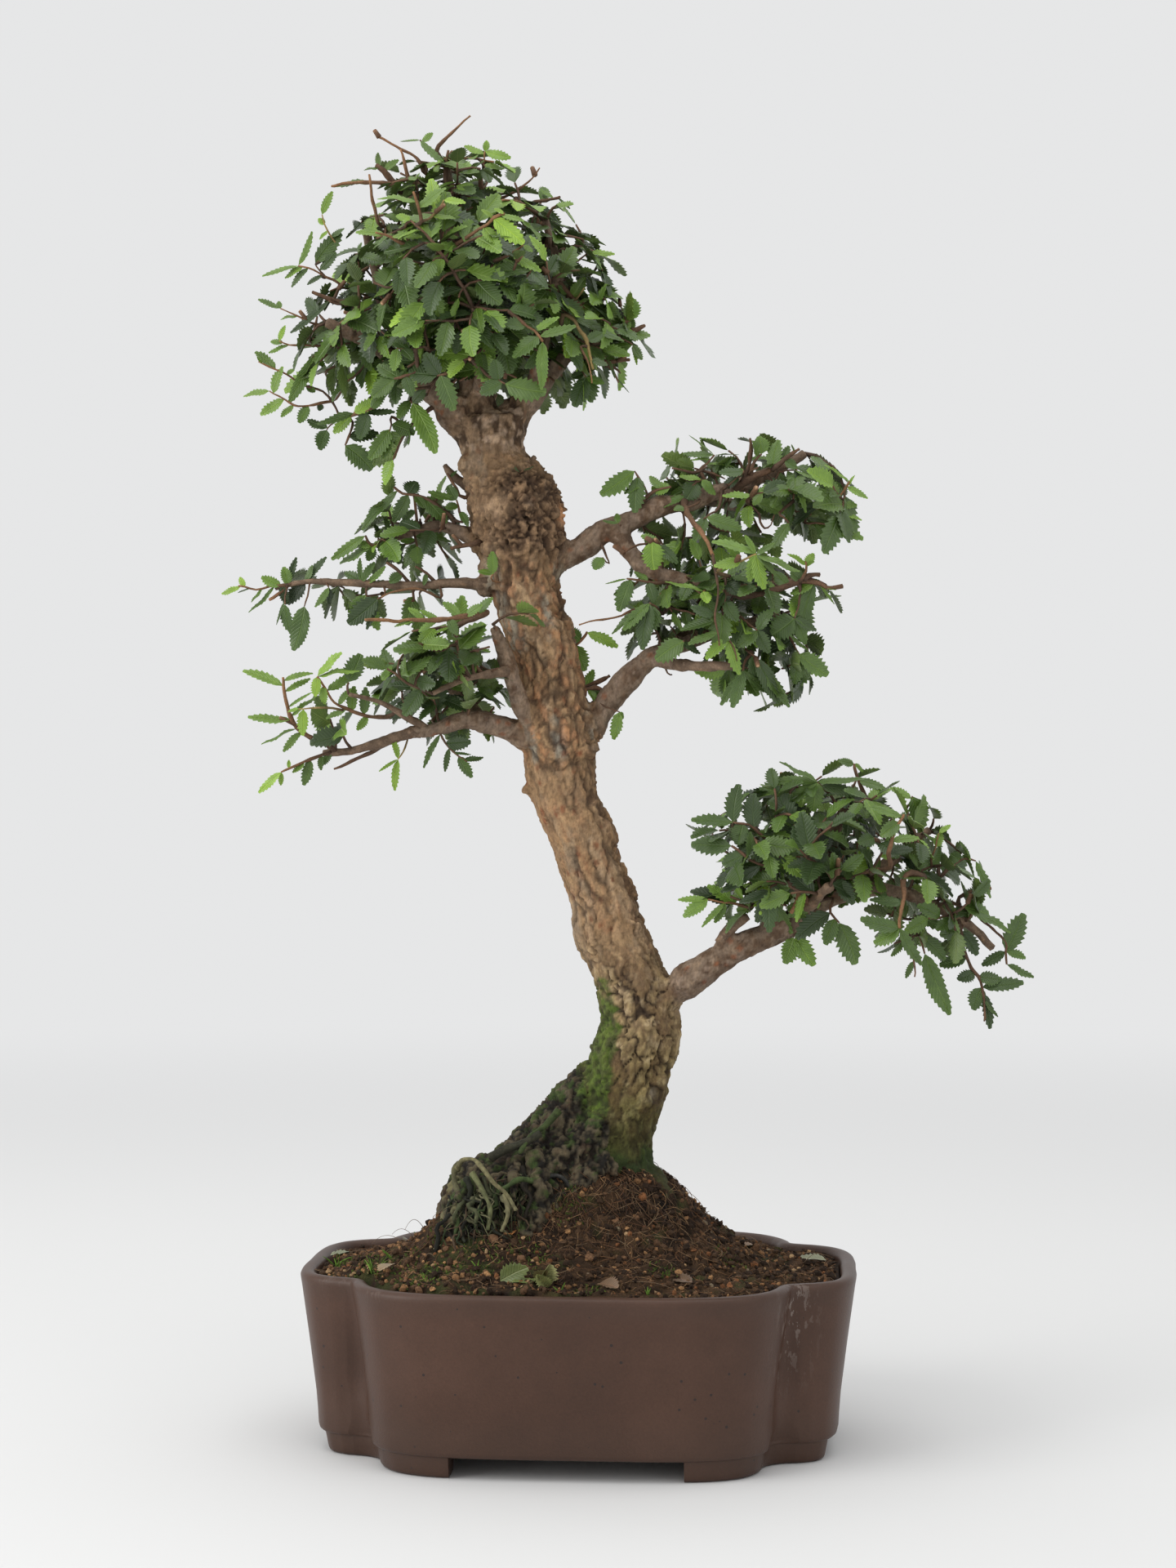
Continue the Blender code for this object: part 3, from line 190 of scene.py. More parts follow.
# shoots drawn leaf by leaf: run (picture x, y, depth), leaves (foot, tip, width, tilt, tone), radius, youth
TRACED = {
    "left_low": [
        ([(405, 915, -11), (375, 900, -14), (358, 882, -17), (350, 855, -20), (346, 830, -22)],
         [(346, 842, 297, 822, 14, 40, 3.4), (347, 832, 383, 822, 12, 45, 3.2), (352, 848, 380, 830, 10, 50, 3.2),
          (357, 880, 303, 877, 13, 45, 3.0), (363, 892, 319, 911, 8, 60, 2.6), (362, 862, 381, 845, 8, 50, 3.0),
          (368, 872, 388, 850, 10, 40, 3.2), (372, 898, 347, 921, 11, 50, 2.6)], 1.1, 2),
        ([(475, 878, -13), (445, 876, -17), (425, 868, -19), (410, 860, -21), (400, 846, -23), (388, 828, -25)],
         [(402, 848, 434, 829, 14, 40, 3.0), (415, 862, 430, 843, 12, 45, 2.8), (430, 868, 434, 840, 14, 30, 2.8),
          (445, 873, 448, 841, 14, 30, 2.2), (424, 868, 399, 880, 9, 40, 3.0), (450, 878, 437, 894, 11, 30, 3.2),
          (388, 826, 419, 799, 13, 35, 3.8), (388, 823, 440, 820, 12, 50, 3.6), (388, 826, 386, 853, 13, 10, 4.6),
          (396, 836, 397, 863, 12, 20, 3.6)], 0.8, 3),
        ([(420, 869, -20), (400, 867, -22), (380, 867, -24), (366, 869, -25)],
         [(372, 868, 371, 901, 14, 15, 4.3), (366, 869, 352, 872, 8, 40, 3.4)], 0.5, 4),
        ([(405, 921, -10), (380, 930, -13), (360, 938, -15), (344, 945, -17)],
         [(344, 945, 317, 971, 11, 30, 4.3), (347, 946, 344, 962, 7, 20, 4.2), (352, 940, 354, 930, 5, 20, 4.0),
          (372, 925, 358, 946, 9, 40, 3.0), (380, 925, 372, 962, 14, 30, 2.0), (397, 922, 393, 943, 8, 50, 1.8),
          (412, 922, 394, 937, 10, 40, 2.0)], 0.7, 3),
        ([(500, 905, -8), (494, 920, -12), (487, 930, -14)],
         [(486, 930, 483, 969, 10, 20, 4.5), (486, 928, 464, 945, 5, 40, 4.0), (484, 924, 479, 903, 8, 20, 4.2)], 0.5, 4),
        ([(540, 898, -10), (550, 915, -12), (571, 933, -13)],
         [(539, 898, 518, 941, 8, 40, 1.8), (546, 922, 545, 945, 8, 20, 1.6), (560, 930, 578, 952, 14, 30, 1.8),
          (545, 908, 577, 908, 17, 10, 1.0), (576, 901, 577, 924, 5, 40, 1.6), (581, 903, 592, 928, 9, 30, 1.4)], 0.5, 1),
        ([(484, 904, -11), (470, 912, -11), (455, 921, -10), (430, 932, -10), (409, 942, -11)], [], 0.95, 0)],
    "left_mid": [
        ([(375, 712, -12), (352, 716, -13), (330, 719, -13), (313, 722, -14), (300, 719, -14), (292, 717, -14)],
         [(298, 718, 294, 706, 8, 20, 4.6), (297, 718, 271, 727, 9, 40, 4.6), (308, 722, 291, 726, 7, 60, 2.0),
          (320, 721, 308, 738, 6, 50, 2.4), (335, 722, 304, 750, 8, 40, 2.0), (345, 716, 320, 706, 14, 30, 3.0),
          (352, 712, 347, 694, 14, 50, 2.6), (354, 712, 363, 682, 9, 30, 0.8), (375, 706, 399, 681, 11, 30, 0.8),
          (348, 718, 352, 740, 12, 30, 0.6), (375, 712, 352, 740, 20, 20, 0.2), (375, 704, 383, 692, 9, 40, 2.0)], 0.6, 2),
        ([(352, 718, -12), (349, 730, -14), (349, 740, -15)],
         [(349, 740, 355, 776, 16, 15, 1.4), (347, 735, 337, 765, 6, 40, 1.6)], 0.5, 0),
        ([(380, 716, -13), (377, 730, -15), (372, 742, -16)], [(372, 742, 359, 797, 24, 15, 1.6)], 0.5, 0),
        ([(400, 715, -13), (403, 720, -14)], [(402, 718, 385, 743, 10, 30, 2.2), (403, 718, 402, 739, 9, 20, 0.2)], 0.5, 0),
        ([(350, 720, -12), (340, 728, -13), (330, 735, -14)], [], 0.9, 3),
        ([(502, 716, -9), (492, 703, -11), (480, 692, -12), (473, 689, -12)], [(491, 703, 477, 714, 14, 20, 1.6)], 0.8, 0),
        ([(533, 712, -9), (522, 702, -11), (508, 693, -12)], [(523, 703, 519, 717, 7, 20, 2.0)], 0.8, 0),
        ([(450, 718, -11), (444, 713, -12)],
         [(446, 714, 421, 700, 14, 30, 1.4), (440, 712, 441, 683, 7, 40, 1.8), (444, 712, 459, 688, 10, 30, 1.6),
          (449, 716, 472, 693, 10, 40, 2.6)], 0.6, 0),
        ([(470, 728, -14), (462, 733, -16)], [(460, 735, 426, 764, 26, 15, 0.8), (458, 738, 449, 771, 10, 20, 0.6)], 0.6, 0),
        ([(540, 731, -14), (520, 723, -16), (500, 721, -17), (480, 726, -18), (467, 732, -19)], [], 0.6, 3)],
    "limb": [
        ([(596, 749, -40), (575, 754, -43), (555, 757, -46), (525, 760, -49), (500, 760, -51), (470, 760, -53),
          (447, 759, -55)],
         [(560, 757, 542, 738, 13, 35, 3.0), (540, 758, 514, 747, 12, 45, 3.2), (520, 760, 500, 744, 10, 40, 3.4),
          (535, 759, 512, 773, 13, 45, 3.0), (505, 760, 483, 768, 11, 50, 3.4), (570, 756, 590, 740, 13, 40, 2.6),
          (585, 752, 604, 732, 14, 35, 2.2), (550, 758, 560, 778, 14, 30, 2.0)], 1.1, 3)],
    "left_top": [
        ([(500, 646, -2), (475, 656, -2), (456, 668, -2), (447, 655, -3)],
         [(447, 653, 405, 685, 14, 30, 2.6), (455, 664, 436, 665, 12, 30, 2.8), (456, 668, 415, 690, 16, 40, 2.4),
          (457, 668, 450, 687, 14, 20, 2.2), (476, 655, 471, 632, 8, 40, 1.6), (466, 660, 457, 640, 8, 40, 1.6),
          (478, 662, 492, 690, 24, 20, 1.6), (475, 662, 463, 675, 9, 30, 2.8)], 0.9, 1),
        ([(555, 636, -5), (543, 625, -6), (525, 612, -7), (508, 606, -8), (492, 604, -8), (482, 596, -8)],
         [(500, 608, 510, 589, 22, 10, 1.0), (486, 608, 443, 650, 14, 40, 1.8), (500, 610, 482, 640, 18, 25, 1.6),
          (520, 614, 548, 640, 20, 30, 1.8), (505, 606, 520, 622, 12, 30, 2.0)], 0.9, 0),
        ([(512, 645, -3), (509, 625, -6), (506, 608, -7)], [(508, 625, 492, 640, 12, 30, 1.4)], 0.8, 0),
        ([(505, 648, -3), (508, 660, -6), (510, 668, -8)],
         [(508, 665, 495, 693, 18, 25, 2.2), (511, 668, 512, 690, 18, 25, 2.4), (505, 660, 490, 662, 9, 40, 2.8),
          (512, 655, 553, 662, 16, 40, 1.8)], 0.6, 1),
        ([(566, 640, -6), (562, 625, -8), (560, 612, -9)],
         [(560, 612, 524, 602, 12, 40, 2.2), (561, 612, 548, 594, 14, 30, 1.4), (562, 620, 545, 622, 12, 30, 1.8),
          (564, 627, 573, 644, 10, 20, 1.8)], 0.6, 1),
        ([(585, 664, -10), (573, 668, -11), (552, 672, -12)], [], 1.4, 0)],
    "right_top": [
        ([(775, 632, -8), (790, 610, -9), (805, 600, -10), (822, 596, -10)],
         [(810, 600, 796, 582, 14, 35, 3.0), (832, 578, 797, 597, 18, 30, 3.2)], 1.0, 1),
        ([(792, 604, -9), (786, 590, -10), (777, 577, -11)],
         [(778, 578, 735, 606, 24, 30, 2.4), (783, 586, 777, 628, 22, 25, 1.8), (786, 592, 764, 604, 14, 40, 2.2)], 0.6, 1),
        ([(838, 612, -9), (846, 596, -10), (860, 588, -11)],
         [(850, 582, 840, 612, 24, 20, 1.2), (858, 590, 832, 584, 10, 50, 3.2), (840, 610, 808, 622, 14, 35, 2.0),
          (862, 590, 876, 606, 14, 30, 2.4)], 0.7, 1),
        ([(872, 598, -6), (862, 586, -7), (858, 574, -8), (866, 568, -8), (875, 557, -8)],
         [(878, 560, 836, 553, 12, 40, 2.0), (876, 555, 843, 533, 4, 60, 2.4), (880, 560, 905, 554, 3, 70, 2.6),
          (866, 563, 840, 565, 7, 50, 2.8), (862, 564, 900, 570, 6, 50, 2.8)], 0.7, 1),
        ([(860, 576, -8), (848, 579, -8), (838, 576, -9), (824, 573, -9)], [], 0.7, 1),
        ([(858, 576, -7), (868, 579, -7), (880, 582, -7), (889, 586, -7)], [(872, 580, 880, 566, 9, 40, 1.4)], 0.5, 1),
        ([(884, 600, -10), (898, 590, -11), (910, 578, -12)],
         [(916, 572, 880, 578, 16, 35, 1.2), (920, 578, 898, 580, 12, 35, 2.8), (905, 584, 886, 596, 16, 30, 0.6)], 0.7, 1),
        ([(903, 596, -8), (920, 586, -10), (935, 579, -12), (943, 575, -13)], [], 2.0, 1),
        ([(910, 590, -9), (917, 568, -10), (920, 552, -11), (918, 537, -12)], [], 1.1, 1),
        ([(919, 579, -11), (924, 566, -12), (932, 556, -12)],
         [(932, 556, 929, 534, 20, 25, 2.6), (928, 560, 922, 540, 12, 30, 2.4)], 0.9, 1),
        ([(945, 577, -13), (960, 562, -13), (972, 553, -13), (979, 549, -13)],
         [(948, 576, 953, 538, 20, 25, 2.2), (963, 560, 976, 573, 16, 30, 2.0), (955, 566, 966, 546, 12, 40, 1.6),
          (972, 556, 969, 544, 3, 60, 2.2)], 1.0, 1),
        ([(948, 590, -10), (955, 577, -11), (972, 575, -12)],
         [(972, 572, 1010, 592, 7, 55, 2.4), (952, 578, 966, 622, 15, 30, 1.8), (974, 575, 987, 628, 9, 45, 2.8),
          (982, 590, 1004, 614, 15, 35, 0.6), (950, 580, 938, 610, 18, 25, 1.0), (968, 580, 982, 610, 14, 35, 1.6)], 0.6, 1),
        ([(992, 622, -8), (1008, 620, -9), (1020, 617, -10), (1032, 603, -11), (1040, 590, -12)],
         [(1038, 588, 1011, 567, 6, 50, 3.6), (1026, 612, 1014, 585, 19, 30, 2.8), (1036, 600, 1063, 610, 12, 40, 3.2),
          (1022, 618, 1050, 618, 14, 35, 2.8), (1024, 620, 1055, 638, 9, 45, 3.6), (1038, 594, 1047, 582, 5, 40, 4.0),
          (1010, 620, 1052, 644, 8, 50, 2.6), (1016, 618, 1008, 598, 14, 30, 2.2), (1000, 622, 1028, 632, 12, 40, 2.4)], 0.8, 3),
        ([(985, 640, -6), (998, 640, -8), (1010, 642, -9)],
         [(986, 634, 1030, 662, 15, 40, 2.8), (1010, 642, 1057, 661, 19, 30, 2.6), (1000, 645, 1014, 680, 8, 35, 2.0),
          (990, 636, 1020, 640, 12, 45, 2.2)], 0.8, 1),
        ([(955, 628, -14), (960, 634, -16), (966, 640, -17)], [(965, 640, 945, 670, 18, 25, 2.0)], 0.6, 1),
        ([(915, 612, -14), (925, 606, -18), (935, 603, -20)],
         [(922, 606, 884, 605, 11, 40, 3.2), (948, 604, 921, 618, 14, 35, 2.4), (935, 604, 962, 590, 16, 30, 0.8)], 0.6, 1),
        ([(880, 622, -14), (870, 630, -17), (862, 634, -19)],
         [(862, 632, 908, 648, 20, 25, 2.0), (866, 634, 850, 662, 18, 25, 1.6)], 0.6, 1),
        ([(930, 628, -12), (931, 640, -13), (937, 647, -14), (945, 643, -14), (949, 630, -14)], [], 0.5, 0),
        ([(855, 616, -12), (840, 622, -16)], [(838, 618, 825, 625, 12, 30, 2.4)], 0.6, 1),
        ([(760, 644, -11), (757, 640, -12)], [(757, 641, 755, 629, 9, 30, 2.4), (745, 648, 738, 637, 6, 40, 2.2)], 0.4, 1),
        ([(838, 618, -12), (842, 630, -18), (852, 642, -22), (860, 655, -26), (867, 664, -28), (872, 680, -30)], [], 1.25, 3),
        ([(745, 690, -12), (738, 682, -13)], [(738, 681, 728, 698, 17, 25, 2.2)], 0.5, 1)],
    "right_mid": [
        ([(876, 700, -31), (900, 690, -33), (925, 678, -36)],
         [(925, 677, 872, 661, 15, 40, 2.8), (927, 676, 980, 699, 11, 50, 2.8), (926, 680, 918, 713, 16, 25, 3.4),
          (928, 682, 936, 722, 18, 25, 3.8), (908, 697, 874, 694, 20, 35, 3.8), (926, 678, 912, 655, 8, 40, 3.0),
          (928, 677, 948, 664, 9, 40, 2.4), (930, 680, 950, 705, 12, 35, 2.2)], 0.7, 4),
        ([(905, 730, -18), (930, 727, -19), (950, 722, -20), (965, 717, -20), (982, 712, -20), (1003, 715, -20),
          (1015, 720, -20), (1031, 718, -20)],
         [(1003, 716, 1023, 739, 5, 40, 2.8), (998, 716, 968, 728, 17, 30, 3.0), (1008, 714, 1024, 722, 7, 40, 3.0),
          (996, 722, 980, 778, 21, 20, 1.6), (950, 722, 925, 712, 14, 35, 2.6), (965, 716, 948, 700, 16, 30, 1.8),
          (985, 712, 968, 700, 16, 35, 1.8)], 1.5, 1),
        ([(985, 712, -20), (990, 704, -20), (1004, 703, -20)], [], 1.6, 1),
        ([(978, 714, -21), (986, 700, -22), (987, 688, -22)],
         [(985, 692, 964, 678, 10, 40, 4.0), (988, 690, 996, 677, 13, 35, 3.6), (987, 694, 997, 688, 9, 35, 3.0)], 0.6, 3),
        ([(980, 722, -20), (979, 735, -21), (978, 745, -21), (973, 757, -22)],
         [(974, 756, 945, 778, 33, 18, 1.4), (976, 760, 986, 790, 16, 30, 1.8), (972, 758, 1000, 772, 16, 35, 1.2)], 0.6, 0),
        ([(955, 770, -12), (968, 782, -14), (978, 800, -16)],
         [(978, 803, 1014, 827, 25, 25, 2.2), (980, 803, 972, 838, 19, 25, 1.8), (968, 778, 992, 799, 9, 45, 2.6),
          (966, 786, 940, 800, 18, 30, 0.8)], 0.6, 0),
        ([(905, 790, -16), (915, 798, -20), (925, 805, -23)],
         [(925, 803, 955, 862, 21, 20, 1.2), (955, 818, 968, 866, 16, 25, 2.0), (920, 806, 930, 840, 16, 25, 1.2)], 0.6, 0),
        ([(921, 797, -18), (914, 808, -20), (910, 820, -22)],
         [(910, 820, 897, 867, 18, 20, 1.4), (905, 822, 882, 863, 13, 25, 1.8), (930, 830, 942, 848, 11, 30, 1.8)], 0.8, 0),
        ([(887, 770, -26), (893, 782, -28), (900, 795, -29), (903, 808, -29)],
         [(885, 790, 907, 826, 17, 20, 3.5), (880, 794, 864, 807, 15, 30, 3.5)], 0.5, 1),
        ([(872, 679, -30), (876, 700, -31), (880, 722, -31), (877, 745, -31), (876, 760, -31), (879, 775, -31),
           (880, 790, -31)],
         [(872, 762, 832, 770, 17, 35, 1.4), (878, 777, 842, 788, 13, 40, 2.0), (872, 755, 846, 742, 16, 30, 0.8)], 0.6, 1),
        ([(812, 790, -14), (825, 788, -20), (838, 785, -24)],
         [(838, 784, 802, 808, 27, 25, 2.2), (836, 786, 858, 800, 12, 35, 1.0)], 0.6, 0),
        ([(812, 752, -14), (804, 744, -20), (795, 738, -24)],
         [(802, 740, 788, 776, 27, 20, 1.6), (790, 742, 763, 772, 16, 30, 2.0), (785, 750, 786, 796, 22, 20, 1.2),
          (775, 748, 747, 774, 11, 40, 1.8)], 0.7, 0),
        ([(820, 715, -14), (800, 714, -18), (780, 710, -21), (768, 709, -22)],
         [(776, 710, 758, 749, 21, 25, 1.6), (768, 709, 741, 715, 5, 50, 2.8), (790, 714, 776, 700, 12, 40, 2.4),
          (795, 716, 800, 738, 16, 25, 1.4)], 0.7, 0),
        ([(790, 742, -14), (762, 754, -15), (745, 757, -15), (730, 759, -16), (708, 766, -16)], [], 0.6, 3),
        ([(868, 722, -26), (862, 724, -30)],
         [(858, 725, 866, 739, 14, 25, 4.2), (866, 732, 882, 746, 11, 30, 3.0), (855, 735, 852, 748, 3, 30, 3.0),
          (852, 717, 814, 713, 10, 45, 3.0), (864, 726, 836, 733, 13, 40, 2.6)], 0.5, 2),
        ([(812, 812, -6), (817, 824, -6), (823, 827, -6)], [], 0.5, 0),
        ([(795, 668, -12), (790, 666, -13), (775, 669, -14), (765, 676, -14)], [], 0.6, 0),
        ([(810, 690, -13), (806, 668, -18), (798, 663, -20)],
         [(797, 662, 801, 698, 28, 20, 3.4), (812, 664, 785, 655, 14, 35, 2.6), (806, 668, 830, 690, 16, 30, 1.2)], 0.6, 0),
        ([(905, 752, -22), (918, 765, -25), (928, 772, -26)],
         [(928, 772, 902, 792, 19, 25, 2.0), (926, 770, 946, 745, 17, 30, 1.4), (928, 774, 942, 800, 18, 25, 1.2)], 0.6, 0),
        ([(880, 812, -10), (880, 817, -11)], [(880, 816, 874, 826, 9, 25, 1.8)], 0.3, 0)],
    "low_right": [
        ([(965, 1062, -22), (940, 1060, -24), (920, 1055, -25), (905, 1042, -25), (896, 1036, -25)],
         [(896, 1038, 846, 1034, 24, 25, 1.4), (908, 1044, 884, 1058, 20, 20, 1.2), (922, 1050, 918, 1018, 14, 20, 1.6),
          (930, 1056, 935, 1028, 16, 20, 1.0), (940, 1062, 888, 1066, 16, 40, 1.4), (945, 1062, 985, 1072, 12, 40, 1.6),
          (930, 1060, 882, 1092, 16, 30, 0.4)], 0.8, 0),
        ([(945, 1035, -20), (930, 1020, -22), (918, 1010, -23), (898, 1006, -24)],
         [(898, 1006, 846, 1003, 16, 30, 1.6), (900, 1004, 905, 960, 22, 10, 1.2), (925, 1016, 923, 971, 24, 10, 0.8),
          (912, 1012, 903, 1035, 24, 20, 1.5)], 0.7, 0),
        ([(985, 1040, -18), (978, 1020, -20), (972, 1010, -21)],
         [(972, 1010, 950, 963, 24, 10, 0.8), (975, 1020, 935, 1022, 20, 20, 0.7), (976, 1015, 1015, 1000, 20, 35, 1.0)], 0.7, 0),
        ([(1025, 985, -16), (1012, 968, -20), (1001, 958, -22)],
         [(1001, 957, 955, 931, 12, 50, 2.2), (1000, 960, 944, 958, 14, 40, 2.2), (1000, 962, 996, 994, 24, 20, 2.3),
          (1003, 958, 1060, 950, 14, 45, 1.8), (1005, 962, 1052, 974, 18, 35, 1.2), (998, 962, 965, 985, 16, 30, 2.2)], 0.7, 1),
        ([(915, 1110, -16), (895, 1105, -18), (868, 1102, -19)],
         [(866, 1100, 830, 1102, 10, 40, 3.2), (868, 1104, 836, 1122, 18, 20, 3.0), (885, 1106, 875, 1130, 12, 25, 2.6),
          (903, 1112, 845, 1090, 20, 30, 0.4), (900, 1100, 866, 1084, 16, 30, 2.8), (890, 1110, 858, 1134, 9, 40, 2.8)], 0.6, 2),
        ([(960, 1080, -24), (945, 1085, -26), (940, 1090, -27)],
         [(942, 1090, 942, 1142, 20, 10, 1.0), (938, 1088, 905, 1105, 14, 30, 0.3), (936, 1095, 926, 1130, 16, 20, 0.9)], 0.6, 0),
        ([(1150, 1100, -7), (1192, 1118, -7), (1205, 1130, -7), (1220, 1142, -7), (1231, 1152, -7), (1232, 1165, -7),
          (1233, 1181, -7)],
         [(1232, 1163, 1256, 1119, 26, 10, 1.8), (1232, 1164, 1202, 1182, 14, 30, 1.2), (1234, 1165, 1257, 1173, 12, 30, 2.2),
          (1233, 1181, 1266, 1197, 12, 40, 1.8), (1195, 1118, 1238, 1142, 16, 40, 2.2), (1190, 1118, 1148, 1116, 18, 40, 1.8),
          (1192, 1118, 1175, 1128, 12, 30, 2.8)], 0.7, 1),
        ([(1175, 1130, -8), (1180, 1160, -8), (1190, 1185, -8), (1203, 1210, -9), (1206, 1250, -9)],
         [(1205, 1212, 1212, 1260, 14, 20, 0.8), (1206, 1222, 1223, 1245, 6, 40, 1.8), (1200, 1208, 1192, 1237, 22, 10, 1.4),
          (1192, 1188, 1172, 1200, 18, 20, 0.8), (1180, 1140, 1197, 1170, 18, 20, 0.6), (1185, 1175, 1150, 1182, 20, 30, 1.4),
          (1203, 1208, 1254, 1203, 18, 30, 1.2), (1200, 1192, 1226, 1198, 20, 30, 1.6)], 0.8, 1),
        ([(1120, 1120, -14), (1126, 1145, -16), (1133, 1168, -17)],
         [(1133, 1169, 1165, 1243, 24, 15, 2.0), (1130, 1145, 1158, 1176, 18, 30, 1.6), (1118, 1118, 1172, 1140, 16, 30, 1.9)], 0.6, 0),
        ([(1110, 1070, -30), (1106, 1100, -34), (1101, 1136, -36)],
         [(1100, 1137, 1053, 1125, 22, 30, 1.6), (1101, 1138, 1070, 1155, 20, 30, 2.4), (1103, 1138, 1130, 1182, 16, 20, 2.0),
          (1106, 1110, 1065, 1100, 18, 35, 1.2)], 1.1, 2),
        ([(1115, 1150, -20), (1118, 1170, -21), (1120, 1196, -22)], [(1118, 1178, 1109, 1198, 8, 30, 1.8)], 0.5, 0),
        ([(1090, 1062, -36), (1088, 1045, -40), (1096, 1020, -44), (1106, 998, -46)],
         [(1104, 1000, 1065, 988, 12, 40, 2.4), (1100, 1008, 1078, 1024, 20, 25, 2.2), (1092, 1030, 1126, 1024, 14, 40, 2.6),
          (1088, 1045, 1118, 1040, 16, 30, 0.5)], 1.0, 3),
        ([(1150, 1075, -8), (1160, 1066, -8), (1172, 1056, -8), (1182, 1052, -8), (1195, 1055, -8)],
         [(1178, 1051, 1164, 1046, 16, 10, 1.6), (1187, 1051, 1176, 1029, 6, 40, 2.0), (1196, 1056, 1213, 1100, 12, 30, 2.2)], 0.7, 0),
        ([(1175, 1100, -6), (1190, 1092, -6), (1205, 1089, -6)], [(1195, 1092, 1200, 1108, 14, 20, 1.8)], 1.0, 0),
        ([(1110, 990, -10), (1115, 982, -11), (1118, 975, -12)],
         [(1118, 976, 1128, 1020, 24, 15, 2.2), (1110, 978, 1090, 964, 12, 40, 3.2)], 0.6, 1),
        ([(1140, 1050, -12), (1145, 1038, -13), (1150, 1020, -13)],
         [(1150, 1020, 1164, 1010, 8, 30, 4.0), (1147, 1036, 1153, 1019, 12, 20, 3.4)], 0.5, 3),
        ([(1020, 1100, -20), (1016, 1118, -22), (1028, 1130, -23)],
         [(1028, 1131, 1048, 1181, 28, 10, 2.0), (1005, 1125, 975, 1150, 24, 20, 0.7), (1018, 1125, 1010, 1157, 20, 20, 1.8)], 0.7, 0),
        ([(975, 1140, -12), (972, 1149, -13)],
         [(965, 1149, 960, 1180, 24, 20, 3.0), (985, 1150, 997, 1183, 22, 20, 2.8)], 0.5, 1),
        ([(978, 1085, -26), (976, 1103, -28), (969, 1118, -29)], [], 1.3, 3),
        ([(1060, 975, -12), (1050, 950, -14), (1046, 935, -15)],
         [(1044, 932, 1027, 931, 12, 20, 1.8), (1052, 955, 1085, 965, 16, 35, 2.0), (1046, 935, 1058, 945, 7, 30, 3.2)], 1.0, 0)],
    "crown": [
        ([(412, 488, -8), (400, 492, -9), (385, 497, -10), (365, 498, -11), (348, 490, -12), (330, 478, -13)],
         [(331, 480, 297, 483, 13, 35, 3.8), (338, 479, 347, 449, 14, 25, 3.2), (345, 488, 318, 508, 14, 30, 3.6),
          (362, 497, 344, 511, 9, 35, 3.0), (375, 498, 366, 518, 14, 20, 2.2), (395, 495, 391, 503, 9, 20, 1.0)], 0.6, 3),
        ([(395, 480, -8), (375, 473, -9), (362, 465, -10), (345, 455, -12), (330, 449, -13), (317, 443, -14)],
         [(336, 449, 312, 431, 13, 30, 2.6), (350, 460, 361, 453, 8, 30, 3.0), (375, 471, 386, 480, 9, 30, 2.6),
          (322, 444, 315, 437, 4, 30, 3.0)], 0.55, 2),
        ([(395, 430, -7), (388, 434, -9), (382, 438, -10)],
         [(384, 435, 353, 494, 16, 30, 2.2), (385, 432, 398, 449, 10, 30, 3.0)], 0.6, 1),
        ([(400, 424, -8), (375, 422, -10), (355, 422, -11), (342, 418, -12)],
         [(343, 417, 349, 398, 8, 20, 4.0), (355, 423, 328, 431, 8, 50, 2.6), (345, 420, 331, 418, 8, 20, 3.0)], 0.5, 3),
        ([(405, 400, -10), (385, 397, -11), (372, 390, -12), (358, 384, -13), (343, 377, -14)],
         [(344, 377, 341, 369, 8, 20, 2.6), (342, 375, 316, 366, 9, 40, 2.4), (366, 387, 343, 390, 8, 45, 3.0),
          (385, 397, 373, 416, 6, 30, 0.8)], 0.55, 2),
        ([(420, 372, -10), (402, 368, -12)], [(402, 369, 354, 406, 12, 40, 0.6)], 0.8, 0),
        ([(420, 372, -9), (402, 365, -10), (383, 357, -11)], [], 1.4, 0),
        ([(415, 348, -10), (400, 340, -11), (390, 333, -12), (378, 328, -13), (365, 325, -13)],
         [(366, 325, 321, 339, 10, 50, 2.8), (367, 323, 382, 283, 9, 30, 2.6), (368, 327, 348, 340, 11, 30, 3.4),
          (375, 329, 356, 351, 9, 30, 1.6), (392, 338, 376, 348, 8, 40, 0.8)], 0.6, 3),
        ([(400, 342, -11), (392, 330, -12), (385, 322, -12)],
         [(386, 322, 418, 285, 20, 30, 1.8), (394, 331, 411, 308, 13, 30, 1.2)], 0.7, 0),
        ([(412, 305, -10), (405, 290, -11), (398, 275, -12), (395, 264, -12)],
         [(395, 264, 407, 234, 11, 30, 3.4), (398, 276, 390, 267, 9, 20, 4.2), (402, 287, 391, 293, 6, 40, 3.6),
          (406, 288, 421, 278, 10, 30, 1.6)], 0.5, 4),
        ([(415, 512, -10), (405, 520, -11), (400, 526, -12)],
         [(401, 526, 392, 551, 18, 10, 1.2), (402, 522, 376, 514, 16, 30, 1.2)], 0.5, 0),
        ([(445, 505, -16), (432, 506, -18)],
         [(432, 505, 463, 489, 16, 20, 4.2), (431, 508, 408, 530, 16, 25, 4.0), (436, 500, 388, 520, 18, 40, 1.8)], 0.7, 3),
        ([(432, 518, -12), (427, 535, -13), (423, 545, -13)],
         [(423, 546, 456, 575, 26, 10, 1.6), (430, 535, 464, 530, 20, 25, 1.0)], 0.6, 0),
        ([(480, 510, -14), (479, 520, -16), (476, 530, -17)],
         [(478, 528, 452, 563, 22, 15, 2.2), (480, 530, 469, 562, 17, 15, 2.4), (472, 518, 508, 531, 20, 25, 1.8)], 0.6, 1),
        ([(503, 488, -20), (505, 494, -24)],
